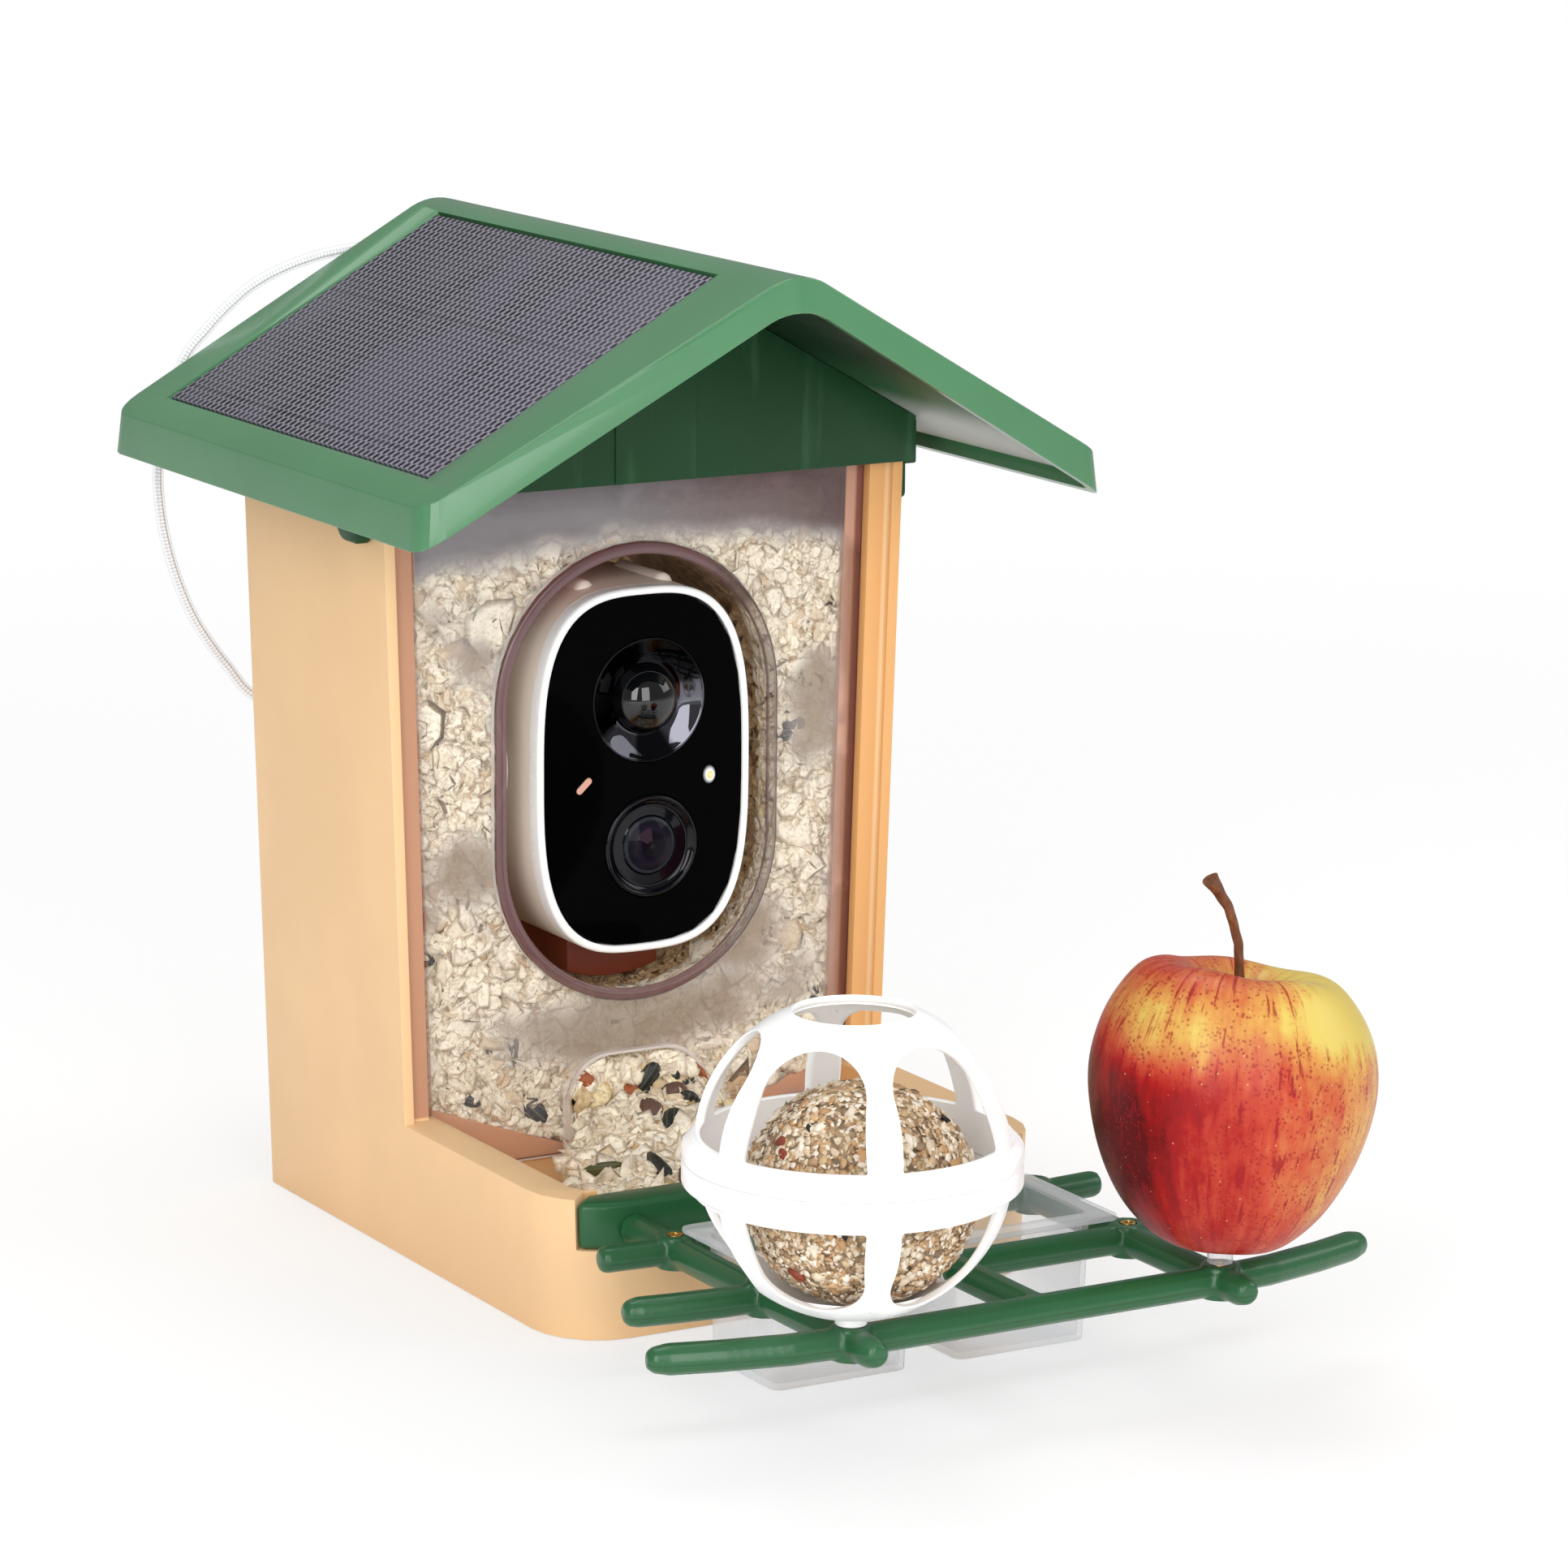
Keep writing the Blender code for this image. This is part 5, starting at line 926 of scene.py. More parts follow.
def studio():
    """A pale floor, an even pale surround and the soft lamps."""
    scene = bpy.context.scene
    scene.view_settings.view_transform = "Standard"
    world = bpy.data.worlds.new("surround")
    scene.world = world
    world.use_nodes = True
    nodes, links = world.node_tree.nodes, world.node_tree.links
    surround = nodes["Background"]
    surround.inputs["Color"].default_value = (1, 1, 1, 1)
    path = nodes.new("ShaderNodeLightPath")
    unseen, strength = nodes.new("ShaderNodeMix"), nodes.new("ShaderNodeMix")
    unseen.inputs[2].default_value = SURROUND_LIGHT
    unseen.inputs[3].default_value = SURROUND_REFLECTED
    strength.inputs[3].default_value = SURROUND_SEEN
    links.new(path.outputs["Is Glossy Ray"], unseen.inputs[0])
    links.new(unseen.outputs[0], strength.inputs[2])
    links.new(path.outputs["Is Camera Ray"], strength.inputs[0])
    links.new(strength.outputs[0], surround.inputs["Strength"])
    finish = Finish("floor", (0.92, 0.92, 0.92), 0.9)
    seen = finish.node("LightPath", {}, {})
    place = finish.spot()
    x, y = finish.part(place, "X"), finish.part(place, "Y")
    lift = finish.step(finish.distance(x, y), 0.30, 1.30) * 0.42 + 0.58
    pale = finish.noise(0.9, 2)
    finish.feed({"Base Color": finish.blend(pale, (0.90, 0.90, 0.90), (0.93, 0.93, 0.93))})
    glow = finish.node("Emission", {}, {"Color": (1, 1, 1, 1), "Strength": 1.0})
    plain = Value(finish, finish.shader.outputs[0])
    lit = finish.node("MixShader", {}, {0: seen * lift, 1: plain, 2: glow})
    finish.tree.links.new(lit.socket, finish.tree.nodes["Material Output"].inputs["Surface"])
    mesh = bpy.data.meshes.new("floor")
    side = np.linspace(-9, 9, 3)
    x, y = np.meshgrid(side, side)
    grid = np.stack([x, y, np.full_like(x, -0.0002)], -1)
    mesh.from_pydata(grid.reshape(-1, 3), [], quads(3, 3, False, False, 0)[:, ::-1])
    mesh.materials.append(finish.material)
    floor = bpy.data.objects.new("floor", mesh)
    scene.collection.objects.link(floor)
    for lamp in LAMPS:
        soft_box(*lamp)


def make_cord():
    """The wire loop: a white braid in a clear sleeve. Both follow the same route, and the braid's
    strands stand out by the product of two cosines that wind opposite ways."""
    route = smooth_route([CORD_EXITS[0], *CORD_ROUTE, CORD_EXITS[1]], 340)
    finish = Finish("cord_braid", (0.9, 0.9, 0.9), 0.6)
    # The braid is darker where it sinks between its strands, painted shade, and gives off a faint
    # glow of its own tone, painted light.
    shade = finish.own("strand")
    tone = finish.blend(shade, hue("B9B9BC"), hue("FFFFFF"))
    finish.feed({"Base Color": tone, "Emission Color": tone, "Emission Strength": 0.14})
    finish.feed({"Roughness": finish.noise(0.0004) * 0.2 + 0.5})
    turn = math.tau / sizes().braid_pitch

    def braid(gone, angle):
        waves = np.cos(2 * (angle + turn * gone)) * np.cos(2 * (angle - turn * gone))
        return BRAID_RADIUS + BRAID_RELIEF * waves

    dense = smooth_route(route, 1900)
    grid = along_route(dense, braid, 12)
    mesh = skin("cord_braid", [(capped(grid), False, True)])
    waves = np.linalg.norm(grid - dense[:, None], axis=-1)
    strand = (waves - waves.min()) / (waves.max() - waves.min())
    attribute = mesh.attributes.new("strand", "FLOAT", "POINT")
    values = np.zeros(len(mesh.vertices), np.float32)
    flat = np.r_[strand[0].mean(), strand.ravel(), strand[-1].mean()]
    values[: len(flat)] = flat[: len(values)]
    attribute.data.foreach_set("value", values)
    core = show(mesh, finish, "housing")
    sleeve = clear_plastic("cord_sleeve", hue("EDEFF2"), 0.08, 0.70)
    grid = along_route(route, lambda gone, angle: CORD_RADIUS + 0 * gone * angle, 20)
    mesh = skin("cord_sleeve", [(capped(grid), False, True)])
    tube = show(mesh, sleeve, "housing", ("hanging_cord",))
    rubber = moulded("grommet_rubber", hue("1A1A1B"), 0.55)
    for side in ("left", "right"):
        smooth_over(f"cord_grommet_{side}", rubber, "grey_rubber", 0.0003, f"grommet_{side}")


def make_housing():
    """Peach walls with rounded edges and deeper orange post fronts. Painted shade: deeper orange
    inside the tray and on the right post's outer strip, and a brown band on the left.
    """
    finish = moulded("wall_plastic", look("wall"), 0.46, variety=0.06)
    place = finish.spot()
    depth = finish.part(place, "Y")
    height = finish.part(place, "Z")
    across = finish.part(place, "X")
    side = finish.maths("ABSOLUTE", across) / draft_share(height)
    above_tray = finish.step(height, 0.0405, 0.0412)
    inside = finish.step(side, 0.0808, 0.0800) * above_tray
    well = finish.step(height, 0.0398, 0.0390) * finish.step(side, 0.0760, 0.0752)
    # The tray's inner walls are painted deeper orange: painted shade in the recess.
    tray = well * finish.step(height, 0.0215, 0.0222) * finish.step(depth, 0.012, 0.010)
    band = finish.step(depth, 0.020, 0.015) * inside
    # The right post's outer front strip is painted deeper orange than the left one's: painted
    # shade.
    rim = finish.step(depth, 0.0016, 0.0010) * above_tray
    rim = rim * finish.step(across, 0.060, 0.065) * finish.step(side, 0.0800, 0.0808)
    share = band * 0.85 + rim * 0.8 + tray * 0.75 * finish.step(depth, -0.0860, -0.0848)
    tone = finish.blend(share, finish.fed("Base Color"), deeper(look("trim"), 0.88))
    # A brown band on the left, just behind the post front: painted shade.
    shaded = finish.step(depth, 0.0010, 0.0016) * finish.step(depth, 0.0090, 0.0080) * inside
    shaded = shaded * finish.step(across, 0.0, -0.001)
    finish.feed({"Base Color": finish.blend(shaded * 0.9, tone, hue("BC8A70"))})
    edge = sizes().mould_edge
    smooth_over("housing", finish, "peach_plastic", edge, "feeder_housing", segments=3)
    # The ramp is the walls' peach painted darker: painted shade inside the hopper.
    inner = moulded("inner_plastic", hue("D69A72"), 0.5)
    smooth_over("hopper_ramp", inner, "peach_plastic", 0.0003, "ramp")
    smooth_over("base_plate", finish, "peach_plastic", 0.0004, "underside_plate")


# Dusty places on the window: each one's middle across and up, its width and its height
HAZE = (
    (0.0, 0.0600, 0.046, 0.0125),
    (0.037, 0.083, 0.015, 0.014),
    (-0.056, 0.110, 0.012, 0.012),
    (0.060, 0.150, 0.010, 0.020),
)


def make_window():
    """The clear window: fogged at the top, with painted shade there for the dim hopper above the
    seed, dusty in places, pale along its cut edges and its port's lip, and pinkish over the
    posts, going dark red-brown further out as painted shade. Then the well in its hole."""
    finish = clear_plastic("window_plastic", hue("DAD6D8"), 0.03, 0.45, 0.10, 0.12)
    place = finish.spot()
    across, depth, height = (finish.part(place, axis) for axis in "XYZ")
    side = finish.maths("ABSOLUTE", across)
    cloud = finish.noise(0.020, 3, 0.6)
    # The fog at the top is partly real haze and partly painted shade: the dim, empty hopper above
    # the seed.
    fog_and_shade = finish.step(height + across * across * 1.4 + (cloud - 0.5) * 0.014, 0.1985, 0.2105)
    patch = finish.step(finish.noise(0.026, 3, 0.55), 0.54, 0.70)
    for x, z, wide, tall in HAZE:
        spread = finish.distance((across - x) / wide, (height - z) / tall)
        patch = patch + finish.step(spread + (cloud - 0.5) * 1.2, 1.15, 0.45) * (1 - patch)
    inset = (DRAFT_HEIGHT - height) * WINDOW_DRAFT
    # The strips over the posts: pinkish, then dark red-brown further out, painted shade in the
    # slots that hold the window.
    strip = finish.step(inset + across, 0.0690, 0.0698)
    strip = strip + finish.step(inset - across, 0.0722, 0.0728)
    outer = finish.step(side + inset, 0.0722, 0.0735)
    edges = finish.step(depth, 0.0064, 0.0068) * finish.step(depth, 0.0087, 0.0083)
    tone = finish.blend(patch, hue("DAD6D8"), hue("AD9C8B"))
    # Grey on the left and darker mauve-brown on the right: painted shade above the seed.
    misty_shade = finish.blend(finish.step(across, -0.03, 0.05), hue("89858A"), hue("735F5E"))
    tone = finish.blend(fog_and_shade, tone, misty_shade)
    tone = finish.blend(strip, tone, finish.blend(outer, hue("C99A84"), hue("84524A")))
    beyond = finish.maths("MAXIMUM", side - (PORT_WIDTH / 2 - PORT_RADIUS), 0.0)
    over = finish.maths("MAXIMUM", height - (PORT_TOP - PORT_RADIUS), 0.0)
    away = finish.distance(beyond, over) - PORT_RADIUS
    lip = finish.step(away, 0.0011, 0.0007) * finish.step(away, -0.0006, -0.0002)
    tone = finish.blend(edges, tone, hue("F4F1EF"))
    tone = finish.blend(lip, tone, hue("EDE4E0"))
    cover = patch * 0.42 + fog_and_shade * 0.62 + strip * 0.5 + edges * 0.50 + lip * 0.45
    finish.feed({"Base Color": tone, "Alpha": finish.fed("Alpha") + cover})
    smooth_over("front_window", finish, "clear_plastic", 0.0003, "clear_window")
    dress("camera_well", well_mesh(), well_finish())


def well_finish():
    """The well's tinted plastic. Its flange is dense, and thinner on the right between the lines
    along its edges, where it is also darker: painted shade. Its sleeve is clearer, with a warm
    red-brown painted reflection below, on the ceiling and at the rear, mottled seed in painted
    shade on the ceiling and at the rear, and a painted glow at the rear."""
    tint = look("well")
    smoke = Finish("well_plastic", tint, 0.14, IOR=1.5)
    depth = smoke.part(smoke.spot(), "Y")
    place = smoke.spot(place=(0, 0, WELL_MIDDLE))
    side, height = smoke.part(place, "X"), smoke.part(place, "Z")
    beyond = smoke.maths("MAXIMUM", smoke.maths("ABSOLUTE", height) - WELL_HALF, 0.0)
    rim = smoke.step(depth, 0.0072, 0.0062)
    off_middle = smoke.maths("ABSOLUTE", smoke.distance(side, beyond) - FLANGE_MIDDLE)
    lines = smoke.step(off_middle, 0.0010, 0.0014)
    thin = smoke.step(side, 0.020, 0.036)
    turned_away = smoke.facing() ** 3.0
    # warm: a red-brown painted reflection of the peach walls on the sleeve's lower left and its
    # ceiling.
    warm = smoke.step(side - height * 0.4, -0.006, -0.030) * smoke.step(height, -0.030, -0.040)
    warm = warm + smoke.step(height, 0.045, 0.056) * smoke.step(side, 0.012, -0.006)
    # The ceiling and the rear are made nearly opaque and show mottled seed in painted shade.
    ceiling = smoke.step(height, 0.043, 0.050) * (1 - rim)
    rear = smoke.step(depth, 0.066, 0.071)
    cover = warm * 0.65 * (1 - rim) + ceiling * 0.75 + rear * 0.9
    flange = rim * (0.80 - thin * 0.45 * (1 - lines))
    smoke.feed({"Alpha": flange + cover + turned_away * 0.12 + 0.08})
    smoke.feed({"Roughness": smoke.noise(0.01, 3) * 0.14 + 0.08})
    mottle = smoke.step(smoke.noise(0.0035, 4, 0.7), 0.35, 0.65)
    mottled = smoke.blend(mottle, hue("4A382A"), hue("9A7E60"))
    tone = smoke.blend(ceiling + rear, hue("6A4A36"), mottled)
    # More of the red-brown painted reflection, on the rear's left.
    reddish = smoke.step(side, 0.006, -0.010) * smoke.step(smoke.noise(0.014, 2), 0.30, 0.55)
    tone = smoke.blend(rear * reddish + warm, tone, hue("A0452A"))
    # A painted glow at the rear, lifting it out of the well's shade.
    glow = smoke.blend(rear, (0, 0, 0), tone)
    smoke.feed({"Emission Color": glow, "Emission Strength": 0.35})
    # The flange is darker on its right: painted shade.
    tone = smoke.blend(rim, tone, smoke.blend(thin, tint, deeper(tint, 0.55)))
    smoke.feed({"Base Color": tone, "Specular IOR Level": 0.7})
    return smoke


def well_mesh():
    """The well: a flanged sleeve with a floor, from its inside round the front to its back."""
    front, flange_back, back = 0.0057, WINDOW_BACK, 0.0763
    wall, flange, floor = 0.0013, 0.0022, 0.002
    stations = [
        (WELL_RADIUS - wall, back - floor),
        (WELL_RADIUS - wall, front + 0.0006),
        (WELL_RADIUS - wall + 0.0002, front + 0.0002),
        (WELL_RADIUS - wall + 0.0006, front),
        (WELL_RADIUS + flange - 0.0006, front),
        (WELL_RADIUS + flange - 0.0002, front + 0.0002),
        (WELL_RADIUS + flange, front + 0.0006),
        (WELL_RADIUS + flange, flange_back),
        (WELL_RADIUS, flange_back),
        (WELL_RADIUS, back - 0.001),
        (WELL_RADIUS - 0.001, back),
    ]
    stations = [(1e-7, back - floor), *stations, (1e-7, back)]
    mesh = skin("well_sleeve", [(lofted(well_outline, stations), False, True)])
    work = bmesh.new()
    work.from_mesh(mesh)
    open_edges = [e for e in work.edges if e.is_boundary]
    bmesh.ops.holes_fill(work, edges=open_edges, sides=0)
    bmesh.ops.recalc_face_normals(work, faces=work.faces)
    work.to_mesh(mesh)
    work.free()
    return mesh


def make_seed():
    """The seed in the hopper: a core set back from the window and painted dark as shade, under
    scattered rolled oats.
    """
    pale, dark = look("oats"), look("husk")
    oats = oat_finish("rolled_oats", pale, dark)
    # The packed core is a darker copy of the oats, darkest in the gaps between its lumps: painted
    # shade among the seed.
    behind = Finish("packed_oats", deeper(pale, 0.6), 0.85)
    lump = behind.cells(0.0052)
    fine = behind.noise(0.0012, 3)
    stops = [(0.0, deeper(pale, 0.75)), (0.55, dark), (1.0, deeper(dark, 0.25))]
    behind.feed({"Base Color": behind.ramp(lump * 1.2 + fine * 0.3, stops)})
    behind.feed({"Roughness": fine * 0.2 + 0.7})
    behind.relief(1 - lump, 0.0015, 0.8)
    mesh = carried("seed_fill", "seed_core")
    co = np.zeros(len(mesh.vertices) * 3)
    mesh.vertices.foreach_get("co", co)
    co = co.reshape(-1, 3)
    front = co[:, 1] < 0.0105
    top = co[:, 2] > SEED_LEVEL - 0.0005
    co = off_the_well(co, 0.0030)
    co[front, 1] += 0.0048
    co[top, 2] -= 0.0055
    co[front & top, 1] = 0.0240
    mesh.vertices.foreach_set("co", co.ravel())
    dress("seed_fill", mesh, behind)

    rng = np.random.default_rng(11)
    size = sizes()
    long = size.oat_length
    number = size.front_oats
    x = rng.uniform(-1, 1, number * 2)
    z = rng.uniform(0.025, SEED_LEVEL + 0.001, number * 2)
    x *= 0.0745 * draft_share(z)
    good = (from_well(x, z) > WELL_RADIUS - 0.001) & (z > hopper_floor(x))
    good = good & (z < seed_top(x, 0.012))
    x, z = x[good][:number], z[good][:number]
    spots = np.stack([x, rng.uniform(0.0102, 0.0152, len(x)), z], -1)
    facing = to_the_front(rng, len(x), 0.6)
    size_of = measures(rng, len(x), long, (0.52, 0.95), (0.12, 0.26), 0.36)
    size_of *= np.where(rng.random(len(x)) < 0.10, 1.5, 1.0)[:, None]
    in_two = ("window_oats", 21), ("window_oats_more", 27)
    for part, (name, seed) in zip(halves(len(x)), in_two):
        three = spots[part], facing[part], size_of[part]
        scattered(name, *three, oats, seed, WINDOW_OAT, in_hopper)

    number = size.well_oats
    around = rng.uniform(0, math.tau, number)
    ring = well_outline(WELL_RADIUS + 0.0026, 720)
    ring = np.vstack([ring, ring[:1]])
    gone = way_gone(ring)
    x, z = (np.interp(around / math.tau * gone[-1], gone, ring[:, axis]) for axis in (0, 1))
    spots = np.stack([x, rng.uniform(0.0150, 0.0740, number), z], -1)
    inward = unit(np.stack([-x, 0 * x, nearest_level(z) - z], -1))
    facing = inward + rng.normal(0, 0.35, (number, 3))
    size_of = measures(rng, number, long, (0.42, 0.90), (0.08, 0.16), 0.35)
    # The oats round the well are a darker, warmer copy of the oats: painted shade, with a faint
    # painted glow.
    warm = oat_finish("well_side_oats", hue("D3B58C"), hue("7C5434"), 0.12)
    scattered("well_oats", spots, facing, size_of, warm, 22, LOOSE_OAT, in_hopper)

    number = size.top_oats
    y = rng.uniform(0.010, 0.0905, number)
    x = rng.uniform(-0.079, 0.079, number)
    spots = np.stack([x, y, seed_top(x, y) - 0.0012 + rng.uniform(0, 0.0015, number)], -1)
    aside, along = rng.normal(0, 0.4, number), rng.normal(0, 0.4, number)
    facing = np.stack([aside, along, np.ones(number)], -1)
    size_of = measures(rng, number, long, (0.42, 0.90), (0.08, 0.16), 0.35)
    scattered("top_oats", spots, facing, size_of, oats, 23, LOOSE_OAT, in_hopper)

    dark_seed = seed_finish("sunflower_hulls", hue("1E2220"), hue("8E8C80"), 0.35)
    number = 16
    x = rng.uniform(-0.070, 0.070, number * 3)
    z = rng.uniform(0.035, 0.190, number * 3)
    good = (from_well(x, z) > WELL_RADIUS + 0.005) & (z > hopper_floor(x) + 0.004)
    x, z = x[good][:number], z[good][:number]
    spots = np.stack([x, rng.uniform(0.0112, 0.0130, len(x)), z], -1)
    facing = to_the_front(rng, len(x), 0.3)
    size_of = measures(rng, len(x), 0.0105, (0.42, 0.55), (0.22, 0.32), 0.12)
    scattered("window_seeds", spots, facing, size_of, dark_seed, 24, WINDOW_SEED, in_hopper)


def to_the_front(rng, number, spread):
    """Directions to the front, each turned aside and up or down at random."""
    aside, upward = rng.normal(0, spread, number), rng.normal(0, spread, number)
    return np.stack([aside, -np.ones(number), upward], -1)


def halves(number):
    """The first and the second half of so many items."""
    return slice(number // 2), slice(number // 2, None)


def seed_finish(name, dark, pale, stripes):
    """Striped hulls: pale lines run from point to point and fade at the sides."""
    finish = Finish(name, dark, 0.45)
    local = finish.own("grain", 1)
    across = finish.part(local, "Y")
    lines = finish.step(finish.wave(across * 11.0 + finish.own("tint") * 6), 0.55, 0.95)
    tone = finish.blend(lines * stripes, dark, pale)
    dull = finish.step(finish.noise(0.0012, 3), 0.5, 0.7) * 0.4
    tone = finish.blend(dull, tone, deeper(pale, 0.45))
    finish.feed({"Base Color": tone, "Roughness": finish.noise(0.002) * 0.25 + 0.33})
    finish.relief(lines, 0.0001, 0.5)
    return finish


# The heap's height by its place along Y, and half its width by its distance from the window
HEAP_PLACES = (-0.0846, -0.0784, -0.0500, -0.0392, -0.0070, 0.0062)
HEAP_HEIGHTS = (0.0262, 0.0296, 0.0316, 0.0325, 0.0375, 0.0400)
HEAP_REACHES = (-0.006, 0.0, 0.012, 0.030, 0.055, 0.085)
HEAP_HALVES = (0.0208, 0.0225, 0.034, 0.047, 0.058, 0.062)
HEAP_FOOT = 0.0225
TRAY_FLOOR = 0.0224
TRAY_FRONT = -0.0841
WINDOW_FRONT = 0.0058
PORT_HALF = 0.0222
PORT_ARCH = 0.0500
THROUGH_PORT = 0.0020

# The face of the seed that stands in the port: heights on it and how deep it lies there
FACE_HEIGHTS = (0.026, 0.036, 0.0475)
FACE_DEPTHS = (0.0010, 0.0040, 0.0068)
FACE_AHEAD = (0, -0.9, 0.45)


def heap_height(x, y):
    """The heap's top: the slope from the port to the bar, falling away at both sides."""
    height = np.interp(y, HEAP_PLACES, HEAP_HEIGHTS)
    fall = np.clip(1 - (np.abs(x) / heap_half(y)) ** 3, 0, 1)
    return HEAP_FOOT + (height - HEAP_FOOT) * fall


def heap_half(y):
    """Half the heap's width: the port's at the window, then fanning out towards the bar."""
    return np.interp(-y, HEAP_REACHES, HEAP_HALVES)


def in_tray(world):
    """Keeps loose seed above the tray's floor, behind the bar, in front of the window beside the
    port, and under the port's arch where it goes through."""
    world[..., 2] = np.maximum(world[..., 2], TRAY_FLOOR)
    world[..., 1] = np.maximum(world[..., 1], TRAY_FRONT)
    beside = np.abs(world[..., 0]) > PORT_HALF
    world[..., 1] = np.minimum(world[..., 1], np.where(beside, WINDOW_FRONT, WINDOW_BACK))
    out = np.clip(np.abs(world[..., 0]) - 0.0096, 0, 0.0128)
    arch = PORT_ARCH - PORT_RADIUS + np.sqrt(PORT_RADIUS**2 - out**2)
    through = world[..., 1] > THROUGH_PORT
    half = np.where(through, PORT_HALF, np.inf)
    world[..., 0] = np.clip(world[..., 0], -half, half)
    world[..., 2] = np.minimum(world[..., 2], np.where(through, arch, np.inf))
    return world


# Pieces that the photograph shows in the port: their kind, place across and height
IN_PORT = (
    ("heap_sunflower", 0.0020, 0.0430),
    ("heap_sunflower", 0.0005, 0.0290),
    ("heap_sunflower", 0.0150, 0.0270),
    ("heap_pumpkin", 0.0095, 0.0265),
    ("heap_pumpkin", 0.0100, 0.0340),
    ("heap_raisins", -0.0135, 0.0285),
    ("heap_fruit", -0.0050, 0.0395),
    ("heap_flakes", -0.0125, 0.0365),
    ("heap_flakes", -0.0085, 0.0325),
    ("heap_flakes", 0.0130, 0.0390),
    ("heap_flakes", -0.0150, 0.0400),
    ("heap_nuts", -0.0030, 0.0375),
    ("heap_nuts", 0.0060, 0.0390),
)


def make_heap():
    """The mixed seed on the tray: oats, striped and plain hulls, nut pieces and fruit, over a core
    that fills the heap just below its top, painted dark as the shade between the pieces."""
    pale, dark = look("oats"), look("husk")
    y = (0.0060 - 0.0898 * np.linspace(0, 1, 40))[:, None]
    x = np.linspace(-1, 1, 41) * heap_half(y) * 0.97
    y = y + 0 * x
    top = np.stack([x, y, np.maximum(heap_height(x, y) - 0.0016, TRAY_FLOOR + 0.0002)], -1)
    grid = np.pad(top, ((1, 1), (1, 1), (0, 0)), "edge")
    grid[[0, -1], :, 2] = grid[:, [0, -1], 2] = TRAY_FLOOR
    under = grid[:, [0, -1]]
    # The core is painted dark, darkest in the gaps between its lumps: painted shade between the
    # pieces.
    core = Finish("heap_core", deeper(dark, 0.5), 0.85)
    lump = core.cells(0.0045)
    stops = [(0.0, deeper(pale, 0.5)), (0.6, deeper(dark, 0.5)), (1.0, deeper(dark, 0.15))]
    core.feed({"Base Color": core.ramp(lump, stops)})
    core.relief(1 - lump, 0.001, 0.8)
    mesh = skin("heap_core", [(grid, False, False), (under, False, False)])
    dress("tray_seed", mesh, core)

    rng = np.random.default_rng(31)
    oats = oat_finish("tray_oats", pale, dark)
    spots, facing = heap_spots(rng, sizes().tray_oats, 0.0022, 0.28)
    long = sizes().oat_length * 1.30
    size_of = measures(rng, len(spots), long, (0.50, 0.90), (0.10, 0.20), 0.35)
    scattered("heap_oats", spots, facing, size_of, oats, 41, HEAP_OAT, in_tray)
    for kind, (looks, form) in enumerate(HEAP_KINDS):
        name, make_finish, finish_name, first, second = looks
        number, across, ratio, thick, lift = form
        finish = make_finish(finish_name, hue(first), hue(second))
        spots, facing = heap_spots(rng, number, lift, 0.45)
        in_port = [(x, z) for kind_of, x, z in IN_PORT if kind_of == name]
        x, z = np.array(in_port).T
        y = np.interp(z, FACE_HEIGHTS, FACE_DEPTHS) - 0.0018
        spots[: len(x)] = np.stack([x, y, z], -1)
        facing[: len(x)] = np.array(FACE_AHEAD) + rng.normal(0, 0.2, (len(x), 3))
        size_of = measures(rng, len(spots), across, ratio, thick, 0.12)
        scattered(name, spots, facing, size_of, finish, 42 + kind, HEAP_PIECE, in_tray)


def heap_spots(rng, number, lift, port_share):
    """Places on the heap and the way its surface faces there, a share of them in the port."""
    port = rng.random(number) < port_share
    y = np.where(port, rng.uniform(-0.016, 0.0068, number), rng.uniform(-0.0835, -0.006, number))
    x = rng.uniform(-0.94, 0.94, number) * heap_half(y)
    z = heap_height(x, y)
    in_port = port & (y > -0.004)
    z = np.where(in_port, rng.uniform(FACE_HEIGHTS[0], FACE_HEIGHTS[-1], number), z)
    y = np.where(in_port, np.interp(z, FACE_HEIGHTS, FACE_DEPTHS), y)
    slope = (heap_height(x, y + 0.001) - heap_height(x, y - 0.001)) / 0.002
    tilt = (heap_height(x + 0.001, y) - heap_height(x - 0.001, y)) / 0.002
    facing = np.stack([-tilt, -slope, np.ones(number)], -1)
    facing = unit(np.where(in_port[:, None], np.array(FACE_AHEAD), facing))
    facing = facing + rng.normal(0, 0.42, (number, 3))
    spots = np.stack([x, y, z], -1)
    spots[:, 2] += np.where(in_port, 0, rng.uniform(-0.0008, lift, number))
    return spots, facing


def nut_finish(name, pale, dark):
    """Nut pieces and dried fruit: dark in the folds, each its own tone."""
    finish = Finish(name, pale, 0.55)
    folds = finish.noise(0.0022, 4, 0.65, warp=0.5)
    stops = [(0.25, dark), (0.6, pale), (0.9, deeper(pale, 0.75))]
    tone = finish.ramp(folds + finish.own("tint") * 0.3, stops)
    finish.feed({"Base Color": tone, "Roughness": folds * 0.3 + 0.35})
    finish.relief(folds, 0.0006, 0.8)
    return finish


def dark_hulls(name, dark, pale):
    return seed_finish(name, dark, pale, 0.30)


def green_hulls(name, dark, pale):
    return seed_finish(name, dark, pale, 0.25)


